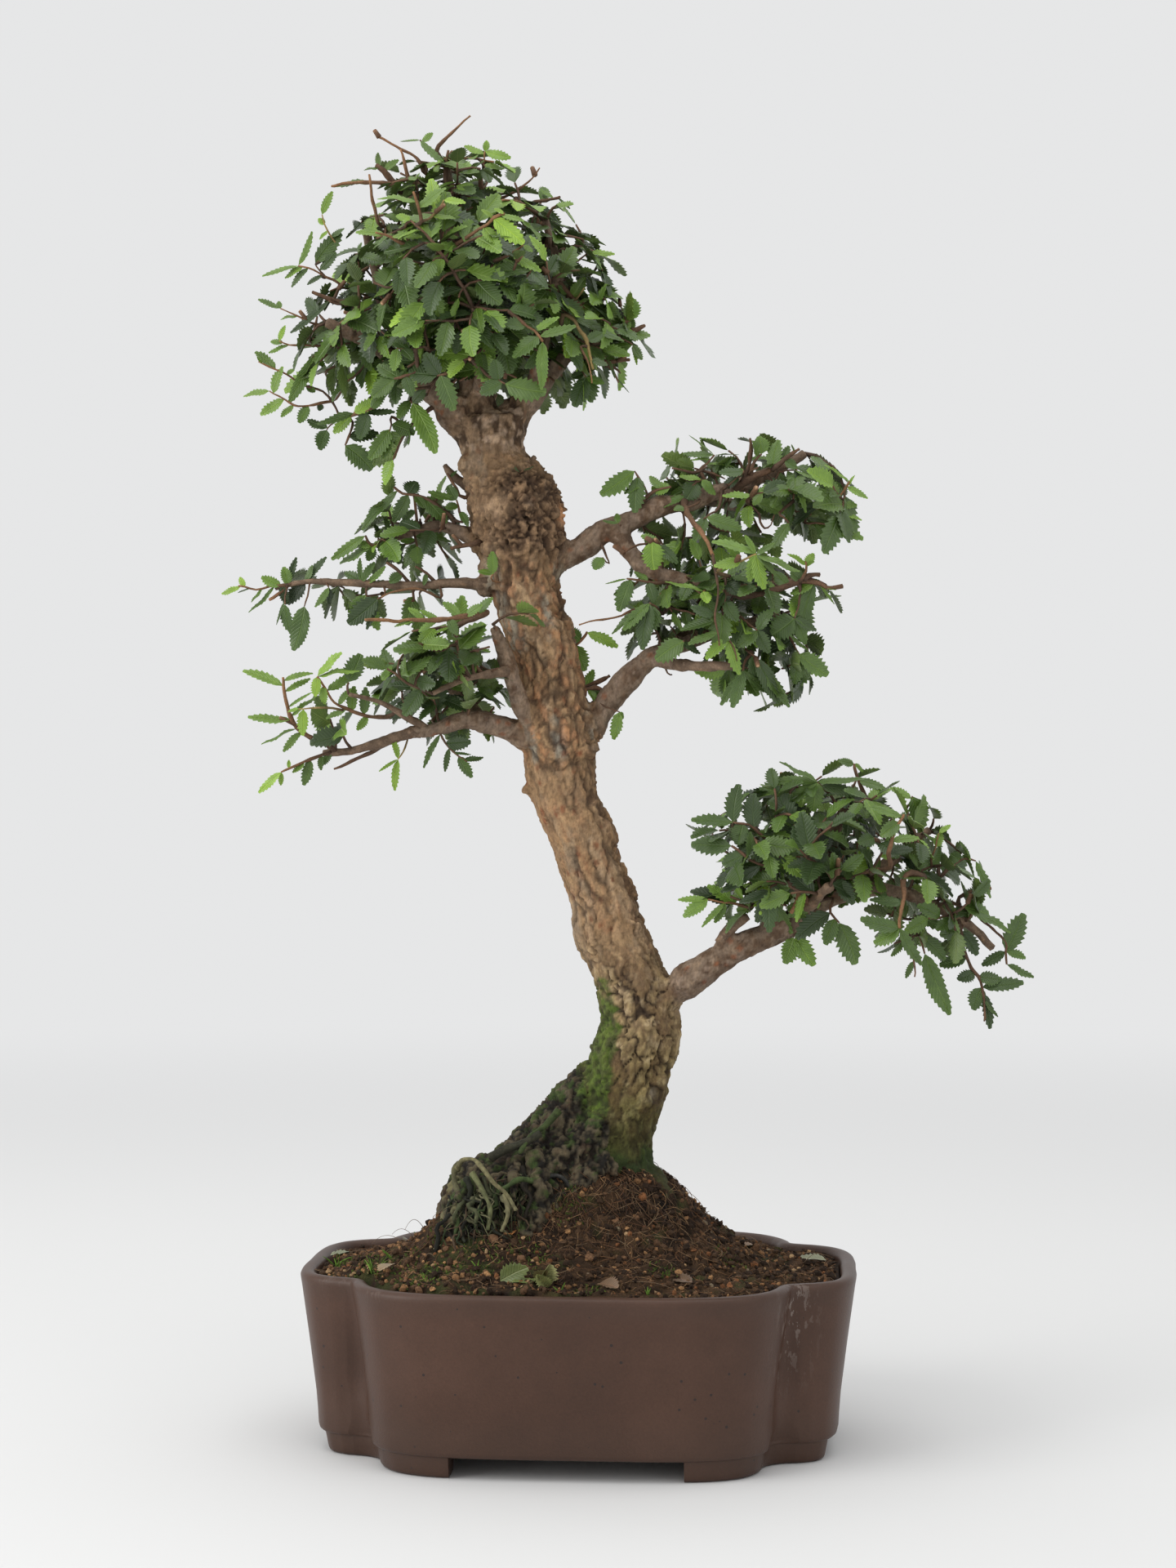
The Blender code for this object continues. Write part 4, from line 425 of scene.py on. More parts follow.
         [(506, 496, 534, 556, 25, 12, 3.0), (503, 492, 487, 512, 15, 25, 2.2), (505, 494, 520, 476, 15, 25, 1.2)], 0.6, 1),
        ([(460, 498, -22), (448, 504, -24)],
         [(446, 504, 484, 505, 12, 45, 1.0), (450, 508, 440, 538, 22, 15, 1.0), (455, 500, 470, 480, 14, 30, 1.6)], 0.5, 0),
        ([(560, 452, -44), (545, 458, -47), (536, 460, -48)],
         [(537, 460, 499, 456, 33, 20, 1.0), (542, 462, 556, 503, 24, 20, 1.6), (538, 456, 520, 432, 22, 25, 0.8)], 0.7, 0),
        ([(520, 425, -46), (500, 428, -48), (487, 427, -48)],
         [(487, 427, 482, 454, 16, 20, 2.6), (490, 430, 505, 440, 14, 30, 1.4), (500, 428, 478, 415, 14, 35, 1.6)], 0.6, 0),
        ([(510, 455, -46), (495, 460, -48), (483, 464, -49)],
         [(483, 462, 455, 486, 22, 30, 2.0), (486, 462, 462, 448, 22, 35, 1.8), (494, 462, 505, 484, 16, 25, 1.2)], 0.9, 1),
        ([(535, 185, -2), (543, 172, -3), (558, 158, -3), (575, 141, -4)], [], 0.8, 3),
        ([(522, 213, -6), (510, 195, -7), (490, 182, -8), (464, 168, -9)], [], 0.8, 2),
        ([(500, 217, -8), (495, 203, -9), (490, 183, -9)], [], 0.9, 2),
        ([(547, 230, -6), (545, 205, -7), (550, 185, -8)], [(546, 190, 572, 197, 8, 40, 1.8)], 1.2, 1),
        ([(490, 235, -8), (480, 226, -9), (440, 223, -11), (405, 228, -12)], [(455, 222, 405, 227, 13, 45, 2.0)], 1.0, 2),
        ([(488, 232, -6), (475, 215, -8), (460, 202, -9)],
         [(462, 205, 445, 207, 8, 40, 2.2), (463, 204, 463, 187, 8, 30, 2.4), (470, 210, 488, 195, 10, 30, 2.6)], 1.8, 1),
        ([(462, 272, -14), (456, 240, -16), (452, 214, -17)], [], 0.8, 3),
        ([(612, 243, -4), (625, 238, -4), (637, 231, -5), (648, 222, -5), (655, 214, -5), (661, 206, -6)], [], 0.6, 3),
        ([(590, 216, -4), (592, 196, -5), (594, 186, -5)],
         [(592, 191, 568, 177, 10, 30, 3.8), (594, 186, 596, 172, 9, 10, 3.8), (595, 187, 626, 192, 15, 30, 3.6),
          (592, 200, 618, 206, 12, 30, 3.2)], 0.5, 3),
        ([(530, 190, -5), (520, 178, -6), (515, 172, -7)],
         [(516, 172, 546, 201, 12, 40, 2.2), (515, 172, 490, 174, 6, 50, 2.4), (520, 172, 530, 163, 10, 30, 3.0)], 0.7, 1),
        ([(550, 305, -42), (580, 285, -46), (605, 268, -49), (618, 262, -50)],
         [(605, 270, 642, 298, 22, 20, 4.4), (612, 264, 642, 269, 10, 40, 3.2), (603, 268, 590, 256, 8, 30, 4.4),
          (590, 278, 612, 300, 18, 30, 3.6), (618, 262, 605, 256, 8, 40, 4.2)], 1.0, 3),
        ([(605, 320, -42), (625, 311, -44), (641, 300, -46)],
         [(640, 302, 652, 308, 8, 40, 3.2), (622, 308, 663, 333, 13, 35, 3.2)], 0.6, 3),
        ([(517, 270, -44), (512, 256, -46), (505, 235, -48)],
         [(509, 245, 462, 240, 14, 45, 3.2), (511, 252, 545, 228, 18, 35, 2.8)], 0.8, 3),
        ([(525, 268, -44), (538, 256, -46), (543, 246, -48)],
         [(543, 246, 570, 247, 12, 30, 4.4), (530, 262, 558, 266, 10, 30, 3.6)], 0.6, 4),
        ([(500, 300, -42), (478, 290, -45), (460, 284, -47)],
         [(470, 288, 435, 282, 13, 35, 3.4), (480, 290, 517, 290, 12, 40, 3.4)], 0.8, 3),
        ([(640, 252, -6), (655, 248, -6), (670, 246, -6), (678, 243, -6), (686, 241, -6)],
         [(679, 238, 660, 232, 7, 50, 2.6), (681, 244, 698, 256, 5, 50, 1.6), (668, 246, 664, 238, 6, 30, 1.6),
          (655, 256, 690, 279, 10, 40, 0.8), (650, 250, 630, 244, 12, 40, 1.4)], 0.9, 1),
        ([(655, 300, -4), (657, 280, -4), (659, 258, -4)], [], 1.1, 0),
        ([(668, 305, -6), (672, 290, -6), (677, 282, -6)],
         [(668, 296, 661, 281, 5, 30, 1.4), (675, 288, 682, 296, 5, 30, 1.2), (664, 306, 678, 315, 14, 30, 0.8)], 1.6, 1),
        ([(680, 330, -8), (690, 322, -8), (703, 321, -9), (710, 318, -9), (718, 312, -9)],
         [(717, 312, 753, 312, 10, 45, 4.2), (712, 316, 736, 323, 5, 50, 3.6), (704, 320, 692, 306, 8, 30, 3.6),
          (700, 322, 714, 334, 14, 30, 1.6), (695, 322, 682, 310, 10, 40, 1.0)], 0.5, 3),
        ([(683, 345, -14), (700, 365, -15), (715, 380, -16), (728, 391, -16)],
         [(712, 352, 716, 339, 22, 25, 2.8), (722, 358, 734, 385, 26, 20, 3.2), (736, 366, 742, 347, 10, 30, 2.8),
          (700, 360, 683, 350, 16, 30, 1.8), (706, 370, 694, 382, 16, 30, 1.4)], 1.1, 3),
        ([(703, 368, -17), (710, 360, -18), (716, 352, -19)], [], 0.5, 4),
        ([(735, 402, -8), (755, 404, -8), (765, 407, -8), (780, 402, -8), (789, 399, -8)],
         [(768, 413, 797, 409, 21, 25, 2.4), (775, 405, 772, 387, 10, 35, 2.2)], 1.5, 0),
        ([(755, 405, -9), (765, 395, -10), (772, 392, -10)],
         [(772, 392, 776, 366, 23, 25, 2.6), (755, 395, 745, 370, 20, 25, 1.8), (760, 385, 773, 400, 12, 30, 2.4),
          (770, 398, 735, 392, 8, 50, 2.6)], 0.7, 1),
        ([(690, 380, -24), (700, 388, -26)],
         [(700, 388, 765, 417, 17, 30, 1.8), (702, 390, 716, 416, 16, 30, 1.0)], 0.6, 1),
        ([(745, 408, -10), (765, 416, -11), (775, 422, -11)],
         [(775, 420, 733, 432, 20, 30, 2.4), (776, 424, 786, 441, 11, 25, 2.2), (774, 423, 780, 447, 5, 35, 3.4)], 0.5, 1),
        ([(715, 436, -8), (735, 442, -8), (755, 443, -8), (772, 441, -8)], [], 1.3, 1),
        ([(735, 444, -8), (745, 450, -8), (752, 456, -8), (757, 468, -8)], [(756, 463, 772, 480, 3, 40, 1.4)], 0.6, 0),
        ([(740, 447, -8), (752, 450, -8), (760, 458, -8)], [], 0.7, 0),
        ([(710, 452, -12), (718, 463, -13)],
         [(718, 462, 703, 498, 24, 15, 1.0), (724, 458, 740, 469, 12, 30, 2.4), (715, 458, 700, 462, 14, 30, 1.2)], 0.5, 0),
        ([(690, 385, -30), (700, 390, -31), (712, 405, -32), (720, 425, -33), (727, 452, -33)],
         [(690, 418, 712, 455, 18, 25, 1.2), (716, 420, 738, 408, 16, 30, 1.4), (722, 440, 744, 448, 14, 35, 1.2)], 0.9, 4),
        ([(712, 425, -33), (720, 440, -34), (724, 455, -34), (725, 468, -34)], [], 0.5, 3),
        ([(640, 395, -47), (655, 405, -48), (664, 418, -49)],
         [(664, 420, 664, 477, 16, 20, 2.5), (660, 412, 628, 438, 26, 25, 1.8), (643, 398, 617, 396, 18, 30, 1.4),
          (665, 408, 705, 398, 14, 35, 2.2), (658, 396, 684, 386, 12, 35, 3.0)], 0.8, 3),
        ([(600, 462, -44), (610, 466, -46), (618, 470, -47)],
         [(618, 470, 669, 479, 31, 20, 2.2), (615, 468, 588, 482, 22, 25, 1.4), (612, 466, 606, 440, 20, 25, 1.2)], 0.8, 1),
        ([(640, 345, -44), (650, 332, -46)],
         [(650, 330, 603, 332, 20, 35, 1.5), (645, 338, 618, 352, 18, 30, 0.8), (650, 334, 672, 352, 18, 30, 1.0)], 0.6, 1)],
    "trunk_sprouts": [
        ([(604, 712, -14), (604, 703, -16)], [(604, 702, 603, 675, 14, 25, 3.0), (603, 702, 585, 698, 11, 35, 3.0)], 0.5, 3),
        ([(636, 580, -14), (640, 575, -17)], [(638, 578, 617, 586, 25, 12, 1.2), (640, 578, 654, 571, 5, 50, 0.6)], 0.5, 0),
        ([(690, 800, 2), (705, 790, 2), (716, 778, 1), (718, 774, 0)],
         [(717, 773, 757, 792, 15, 30, 3.8), (710, 786, 697, 770, 20, 30, 2.2), (706, 790, 716, 822, 20, 25, 3.2),
          (700, 795, 693, 820, 16, 30, 2.8)], 0.9, 2),
        ([(700, 842, 2), (715, 843, 2), (728, 838, 1), (740, 832, 0), (747, 828, 0)],
         [(715, 840, 727, 820, 14, 35, 2.8), (710, 842, 706, 820, 14, 30, 2.6), (725, 842, 737, 854, 11, 30, 2.8)], 1.3, 0),
        ([(702, 850, 0), (712, 846, -1), (728, 842, -1), (738, 846, -1)],
         [(712, 848, 713, 872, 12, 25, 2.8), (720, 846, 732, 860, 10, 35, 3.0)], 1.3, 0),
        ([(735, 862, -6), (748, 868, -8), (758, 872, -9)], [(758, 872, 750, 906, 16, 25, 3.2), (757, 872, 764, 880, 8, 30, 2.8)], 0.5, 1),
        ([(570, 610, -6), (560, 598, -7), (548, 580, -8)], [(556, 592, 543, 602, 6, 40, 1.2), (552, 588, 560, 576, 5, 40, 1.4)], 1.0, 0)],
}


# ------------------------------------------------------------------ noise in numpy
def _hash(ix, iy, iz, seed):
    h = (ix.astype(np.int64) * 374761393 + iy.astype(np.int64) * 668265263
         + iz.astype(np.int64) * 2147483647 + seed * 974634777) & 0xFFFFFFFF
    h = ((h ^ (h >> 13)) * 1274126177) & 0xFFFFFFFF
    h = ((h ^ (h >> 16)) * 2246822519) & 0xFFFFFFFF
    h = h ^ (h >> 15)
    return (h & 0xFFFFFF) / float(0x1000000)


def vnoise(p, seed=0):
    p = np.asarray(p, float)
    i = np.floor(p).astype(np.int64)
    f = p - i
    f = f * f * f * (f * (f * 6 - 15) + 10)
    out = np.zeros(len(p))
    for dx in (0, 1):
        wx = f[:, 0] if dx else 1 - f[:, 0]
        for dy in (0, 1):
            wy = f[:, 1] if dy else 1 - f[:, 1]
            for dz in (0, 1):
                wz = f[:, 2] if dz else 1 - f[:, 2]
                out += wx * wy * wz * _hash(i[:, 0] + dx, i[:, 1] + dy, i[:, 2] + dz, seed)
    return out * 2 - 1


def fbm(p, octaves=4, seed=0, gain=0.5):
    out = np.zeros(len(p))
    amp, tot = 1.0, 0.0
    q = np.asarray(p, float)
    for o in range(octaves):
        out += amp * vnoise(q, seed + 31 * o)
        tot += amp
        amp *= gain
        q = q * 2.03 + 17.1
    return out / tot


def cells(p, seed=0):
    """Nearest and second nearest jittered cell point, and the nearest cell's number."""
    i = np.floor(p).astype(np.int64)
    f1 = np.full(len(p), 9.0)
    f2 = np.full(len(p), 9.0)
    cid = np.zeros(len(p))
    for dx in (-1, 0, 1):
        for dy in (-1, 0, 1):
            for dz in (-1, 0, 1):
                cx, cy, cz = i[:, 0] + dx, i[:, 1] + dy, i[:, 2] + dz
                q = np.stack([cx + _hash(cx, cy, cz, seed + 1), cy + _hash(cx, cy, cz, seed + 2),
                              cz + _hash(cx, cy, cz, seed + 3)], axis=1)
                d = np.sqrt(((q - p) ** 2).sum(axis=1))
                near = d < f1
                f2 = np.where(near, f1, np.minimum(f2, d))
                cid = np.where(near, _hash(cx, cy, cz, seed + 7), cid)
                f1 = np.where(near, d, f1)
    return f1, f2, cid


def smooth01(x, a, b):
    t = np.clip((x - a) / (b - a), 0, 1)
    return t * t * (3 - 2 * t)


def mixc(a, b, t):
    return a * (1 - t[:, None]) + b * t[:, None]


# ------------------------------------------------------------------ places
CA, SA = math.cos(TURN), math.sin(TURN)


def world(p):
    """Tree frame in mm to the row's frame in metres."""
    p = np.atleast_2d(np.asarray(p, float))
    u = p[:, 0] + SIDE
    x = u * CA - p[:, 1] * SA + STAND_X
    y = u * SA + p[:, 1] * CA + STAND_Y
    return np.stack([x, y, p[:, 2]], axis=1) * MM


def pot_world(p):
    """Pot frame in mm to the row's frame in metres."""
    p = np.atleast_2d(np.asarray(p, float))
    return (p + np.array([STAND_X, STAND_Y, 0.0])) * MM


def tree_to_pot(p):
    return world(p) / MM - np.array([STAND_X, STAND_Y, 0.0])


def catmull(rows, step):
    """Smooth run through rows of any width, a sample about every `step` mm."""
    rows = np.asarray(rows, float)
    n = len(rows)
    out = []
    for i in range(n - 1):
        p0, p1, p2, p3 = rows[max(i - 1, 0)], rows[i], rows[i + 1], rows[min(i + 2, n - 1)]
        m = max(2, int(np.linalg.norm((p2 - p1)[:3]) / step))
        t = (np.arange(m) / m)[:, None]
        out.append(0.5 * ((2 * p1) + (p2 - p0) * t + (2 * p0 - 5 * p1 + 4 * p2 - p3) * t * t
                          + (3 * p1 - p0 - 3 * p2 + p3) * t ** 3))
    out.append(rows[-1:])
    return np.concatenate(out)


# ------------------------------------------------------------------ mesh building
class Buf:
    def __init__(self):
        self.v, self.f3, self.f4, self.c, self.a = [], [], [], [], []
        self.n = 0

    def add(self, v, f3=None, f4=None, c=None, a=None):
        v = np.asarray(v, float).reshape(-1, 3)
        m = len(v)
        if f3 is not None and len(f3):
            self.f3.append(np.asarray(f3, np.int64).reshape(-1, 3) + self.n)
        if f4 is not None and len(f4):
            self.f4.append(np.asarray(f4, np.int64).reshape(-1, 4) + self.n)
        c = np.zeros((m, 3)) + 0.5 if c is None else np.broadcast_to(np.asarray(c, float), (m, 3))
        a = np.zeros((m, 3)) if a is None else np.broadcast_to(np.asarray(a, float), (m, 3))
        self.v.append(v)
        self.c.append(c)
        self.a.append(a)
        self.n += m

    def build(self, name, mat, smooth=True):
        v = np.concatenate(self.v)
        f3 = np.concatenate(self.f3) if self.f3 else np.zeros((0, 3), np.int64)
        f4 = np.concatenate(self.f4) if self.f4 else np.zeros((0, 4), np.int64)
        me = bpy.data.meshes.new(name)
        me.vertices.add(len(v))
        me.vertices.foreach_set("co", v.astype(np.float32).ravel())
        me.loops.add(3 * len(f3) + 4 * len(f4))
        me.loops.foreach_set("vertex_index",
                             np.concatenate([f3.ravel(), f4.ravel()]).astype(np.int32))
        me.polygons.add(len(f3) + len(f4))
        starts = np.concatenate([np.arange(len(f3)) * 3, 3 * len(f3) + np.arange(len(f4)) * 4])
        me.polygons.foreach_set("loop_start", starts.astype(np.int32))
        me.update(calc_edges=True)
        me.validate()
        put_colour(me, np.concatenate(self.c))
        at = me.attributes.new("detail", 'FLOAT_VECTOR', 'POINT')
        at.data.foreach_set("vector", np.concatenate(self.a).astype(np.float32).ravel())
        me.polygons.foreach_set("use_smooth", np.full(len(me.polygons), smooth))
        me.materials.append(mat)
        ob = bpy.data.objects.new(name, me)
        bpy.context.scene.collection.objects.link(ob)
        return ob


def put_colour(me, col):
    ca = me.color_attributes.new("col", 'FLOAT_COLOR', 'POINT')
    rgba = np.ones((len(col), 4), np.float32)
    rgba[:, :3] = col
    ca.data.foreach_set("color", rgba.ravel())


def frames_along(p):
    """Two axes across each point of a path, turned as little as possible."""
    p = np.asarray(p, float)
    t = np.gradient(p, axis=0)
    t /= np.linalg.norm(t, axis=1)[:, None] + 1e-12
    ref = np.array([0.0, 0.0, 1.0]) if abs(t[0][2]) < 0.8 else np.array([1.0, 0.0, 0.0])
    a = np.zeros_like(p)
    v = ref - t[0] * ref.dot(t[0])
    a[0] = v / np.linalg.norm(v)
    for i in range(1, len(p)):
        v = a[i - 1] - t[i] * a[i - 1].dot(t[i])
        n = np.linalg.norm(v)
        a[i] = v / n if n > 1e-6 else a[i - 1]
    b = np.cross(t, a)
    return t, a, b


def sweep(path, radius, sides, squash=None):
    """Closed tube along a path (mm); rings then two end points. Returns verts, tris, quads."""
    p = np.asarray(path, float)
    r = np.broadcast_to(np.asarray(radius, float), (len(p),))
    t, a, b = frames_along(p)
    ang = np.arange(sides) * 2 * math.pi / sides
    ring = (np.cos(ang)[None, :, None] * a[:, None, :] + np.sin(ang)[None, :, None] * b[:, None, :])
    rr = r[:, None, None] if squash is None else r[:, None, None] * squash[:, :, None]
    v = (p[:, None, :] + ring * rr).reshape(-1, 3)
    m = len(p)
    i = np.arange(m - 1)[:, None] * sides
    k = np.arange(sides)[None, :]
    k2 = (k + 1) % sides
    quads = np.stack([i + k, i + k2, i + sides + k2, i + sides + k], axis=-1).reshape(-1, 4)
    v = np.concatenate([v, [p[0] - t[0] * r[0] * 0.35], [p[-1] + t[-1] * r[-1] * 0.35]])
    c0, c1 = m * sides, m * sides + 1
    k = np.arange(sides)
    tris = np.concatenate([np.stack([np.full(sides, c0), (k + 1) % sides, k], axis=1),
                           np.stack([np.full(sides, c1), (m - 1) * sides + k,
                                     (m - 1) * sides + (k + 1) % sides], axis=1)])
    return v, tris, quads


# ------------------------------------------------------------------ materials
def nodes_of(name):
    mat = bpy.data.materials.new(name)
    mat.use_nodes = True
    nt = mat.node_tree
    bsdf = nt.nodes["Principled BSDF"]
    return mat, nt, bsdf


def add_node(nt, kind, **vals):
    n = nt.nodes.new(kind)
    for k, v in vals.items():
        if k in n.inputs:
            n.inputs[k].default_value = v
        else:
            setattr(n, k, v)
    return n


def obj_coords(nt, scale=1.0):
    tc = nt.nodes.new("ShaderNodeTexCoord")
    mp = nt.nodes.new("ShaderNodeMapping")
    if isinstance(scale, (int, float)):
        scale = (scale, scale, scale)
    mp.inputs["Scale"].default_value = scale
    nt.links.new(tc.outputs["Object"], mp.inputs["Vector"])
    return mp.outputs["Vector"]


def noise_tex(nt, vec, scale, detail=4.0, rough=0.55):
    n = nt.nodes.new("ShaderNodeTexNoise")
    n.inputs["Scale"].default_value = scale
    n.inputs["Detail"].default_value = detail
    n.inputs["Roughness"].default_value = rough
    nt.links.new(vec, n.inputs["Vector"])
    return n.outputs["Fac"]


def ramp(nt, fac, stops):
    r = nt.nodes.new("ShaderNodeValToRGB")
    el = r.color_ramp.elements
    while len(el) > 1:
        el.remove(el[-1])
    el[0].position = stops[0][0]
    el[0].color = (*stops[0][1], 1)
    for pos, col in stops[1:]:
        e = el.new(pos)
        e.color = (*col, 1)
    nt.links.new(fac, r.inputs["Fac"])
    return r.outputs["Color"]


def mix_col(nt, a, b, fac, mode='MIX'):
    m = nt.nodes.new("ShaderNodeMix")
    m.data_type = 'RGBA'
    m.blend_type = mode
    m.clamp_factor = True
    for sock, val in ((m.inputs[0], fac), (m.inputs[6], a), (m.inputs[7], b)):
        if isinstance(val, bpy.types.NodeSocket):
            nt.links.new(val, sock)
        elif isinstance(val, tuple):
            sock.default_value = (*val, 1)
        else:
            sock.default_value = val
    return m.outputs[2]


def math_node(nt, op, a, b=None, c=None):
    m = nt.nodes.new("ShaderNodeMath")
    m.operation = op
    for i, val in enumerate((a, b, c)):
        if val is None:
            continue
        if isinstance(val, bpy.types.NodeSocket):
            nt.links.new(val, m.inputs[i])
        else:
            m.inputs[i].default_value = val
    return m.outputs[0]


def bump(nt, bsdf, height, strength, distance):
    b = nt.nodes.new("ShaderNodeBump")
    b.inputs["Strength"].default_value = strength
    b.inputs["Distance"].default_value = distance
    nt.links.new(height, b.inputs["Height"])
    nt.links.new(b.outputs["Normal"], bsdf.inputs["Normal"])
    return b


def vertex_colour(nt):
    n = nt.nodes.new("ShaderNodeVertexColor")
    n.layer_name = "col"
    return n.outputs["Color"]


def bark_material():
    mat, nt, bsdf = nodes_of("elm_bark")
    vec = obj_coords(nt, (1000, 1000, 600))
    fine = noise_tex(nt, vec, 1.1, 6, 0.65)
    mid = noise_tex(nt, vec, 0.28, 4, 0.6)
    tint = ramp(nt, fine, [(0.28, (0.62, 0.58, 0.55)), (0.5, (1.0, 1.0, 1.0)), (0.72, (1.35, 1.3, 1.24))])
    col = mix_col(nt, vertex_colour(nt), tint, 1.0, 'MULTIPLY')
    tint2 = ramp(nt, mid, [(0.3, (0.86, 0.86, 0.9)), (0.7, (1.12, 1.08, 1.02))])
    col = mix_col(nt, col, tint2, 1.0, 'MULTIPLY')
    nt.links.new(col, bsdf.inputs["Base Color"])
    rough = math_node(nt, 'MULTIPLY_ADD', fine, -0.18, 0.96)
    nt.links.new(rough, bsdf.inputs["Roughness"])
    bsdf.inputs["Specular IOR Level"].default_value = 0.3
    bump(nt, bsdf, fine, 0.55, 0.0006)
    return mat


def twig_material():
    mat, nt, bsdf = nodes_of("elm_twig_bark")
    vec = obj_coords(nt, (1000, 1000, 1000))
    fine = noise_tex(nt, vec, 1.6, 4, 0.6)
    tint = ramp(nt, fine, [(0.3, (0.7, 0.66, 0.62)), (0.7, (1.3, 1.26, 1.2))])
    col = mix_col(nt, vertex_colour(nt), tint, 1.0, 'MULTIPLY')
    nt.links.new(col, bsdf.inputs["Base Color"])
    nt.links.new(math_node(nt, 'MULTIPLY_ADD', fine, -0.15, 0.82), bsdf.inputs["Roughness"])
    bsdf.inputs["Specular IOR Level"].default_value = 0.35
    bump(nt, bsdf, fine, 0.35, 0.0002)
    return mat


def leaf_material():
    mat, nt, bsdf = nodes_of("elm_leaf")
    at = nt.nodes.new("ShaderNodeAttribute")
    at.attribute_name = "detail"
    sep = nt.nodes.new("ShaderNodeSeparateXYZ")
    nt.links.new(at.outputs["Vector"], sep.inputs["Vector"])
    along, across = sep.outputs["X"], sep.outputs["Y"]
    wide = math_node(nt, 'ABSOLUTE', across)
    # side veins run forward and out from the midrib, ten to a side
    slant = math_node(nt, 'MULTIPLY_ADD', wide, -0.30, along)
    wave = math_node(nt, 'SINE', math_node(nt, 'MULTIPLY', slant, 2 * math.pi * 10))
    vein = math_node(nt, 'POWER', math_node(nt, 'MULTIPLY_ADD', wave, 0.5, 0.5), 6.0)
    rib = math_node(nt, 'SUBTRACT', 1.0, math_node(nt, 'MINIMUM', math_node(nt, 'MULTIPLY', wide, 11.0), 1.0))
    lines = math_node(nt, 'MAXIMUM', math_node(nt, 'MULTIPLY', vein, 0.42), rib)
    vec = obj_coords(nt, 1000)
    mottle = noise_tex(nt, vec, 0.35, 3, 0.6)
    base = vertex_colour(nt)
    tint = ramp(nt, mottle, [(0.3, (0.82, 0.84, 0.86)), (0.7, (1.16, 1.14, 1.06))])
    col = mix_col(nt, base, tint, 1.0, 'MULTIPLY')
    pale = mix_col(nt, base, (2.3, 2.0, 2.2), 1.0, 'MULTIPLY')
    col = mix_col(nt, col, pale, math_node(nt, 'MULTIPLY', lines, 0.62))
    nt.links.new(col, bsdf.inputs["Base Color"])
    nt.links.new(math_node(nt, 'MULTIPLY_ADD', mottle, 0.18, 0.32), bsdf.inputs["Roughness"])
    bsdf.inputs["Specular IOR Level"].default_value = 0.5
    bsdf.inputs["Coat Weight"].default_value = 0.12
    bsdf.inputs["Coat Roughness"].default_value = 0.28
    height = math_node(nt, 'MULTIPLY_ADD', lines, -1.0, math_node(nt, 'MULTIPLY', mottle, 0.4))
    bump(nt, bsdf, height, 0.7, 0.00035)
    return mat


def pot_material():
    mat, nt, bsdf = nodes_of("pot_clay_fired")
    vec = obj_coords(nt, 1000)
    cloud = noise_tex(nt, vec, 0.022, 5, 0.6)
    grain = noise_tex(nt, vec, 1.3, 5, 0.6)
    col = ramp(nt, cloud, [(0.30, (0.047, 0.0208, 0.0118)), (0.50, (0.060, 0.0266, 0.0150)),
                           (0.70, (0.076, 0.0352, 0.0212))])
    tint = ramp(nt, grain, [(0.3, (0.90, 0.90, 0.90)), (0.7, (1.10, 1.10, 1.10))])
    col = mix_col(nt, col, tint, 1.0, 'MULTIPLY')
    # small dark specks
    vor = nt.nodes.new("ShaderNodeTexVoronoi")
    vor.inputs["Scale"].default_value = 0.16
    nt.links.new(vec, vor.inputs["Vector"])
    gate = noise_tex(nt, vec, 0.11, 2, 0.5)
    speck = math_node(nt, 'LESS_THAN', math_node(nt, 'ADD', vor.outputs["Distance"],
                                                math_node(nt, 'MULTIPLY', gate, 0.10)), 0.125)
    col = mix_col(nt, col, (0.018, 0.013, 0.012), math_node(nt, 'MULTIPLY', speck, 0.85))
    # worn, chalky marks held in vertex colour: red for chalk; green darkens: soil stain inside the pot, darker towards
    # the bottom and on the feet, and painted shade under the rim lip
    vc = nt.nodes.new("ShaderNodeVertexColor")
    vc.layer_name = "col"
    sep = nt.nodes.new("ShaderNodeSeparateColor")
    nt.links.new(vc.outputs["Color"], sep.inputs["Color"])
    rub = noise_tex(nt, obj_coords(nt, (1000, 1000, 320)), 0.5, 6, 0.7)
    chalk = math_node(nt, 'MULTIPLY', sep.outputs["Red"],
                      math_node(nt, 'GREATER_THAN', rub, 0.56))
    col = mix_col(nt, col, (0.30, 0.25, 0.22), math_node(nt, 'MULTIPLY', chalk, 0.55))
    col = mix_col(nt, col, (0.045, 0.030, 0.022), math_node(nt, 'MULTIPLY', sep.outputs["Green"], 0.6))
    nt.links.new(col, bsdf.inputs["Base Color"])
    rough = math_node(nt, 'MULTIPLY_ADD', cloud, 0.20, 0.34)
    nt.links.new(rough, bsdf.inputs["Roughness"])
    bsdf.inputs["Specular IOR Level"].default_value = 0.36
    both = math_node(nt, 'MULTIPLY_ADD', cloud, 3.0, grain)
    bump(nt, bsdf, both, 0.16, 0.0005)
    return mat


def ground_material(name, strength=0.7):
    mat, nt, bsdf = nodes_of(name)
    vec = obj_coords(nt, 1000)
    fine = noise_tex(nt, vec, 1.8, 6, 0.7)
    tint = ramp(nt, fine, [(0.25, (0.35, 0.33, 0.3)), (0.5, (1.0, 1.0, 1.0)), (0.75, (1.9, 1.8, 1.65))])
    col = mix_col(nt, vertex_colour(nt), tint, 1.0, 'MULTIPLY')
    nt.links.new(col, bsdf.inputs["Base Color"])
    bsdf.inputs["Roughness"].default_value = 0.95
    nt.links.new(math_node(nt, 'MULTIPLY_ADD', fine, -0.2, 1.0), bsdf.inputs["Roughness"])
    bsdf.inputs["Specular IOR Level"].default_value = 0.2
    bump(nt, bsdf, fine, strength, 0.0010)
    return mat


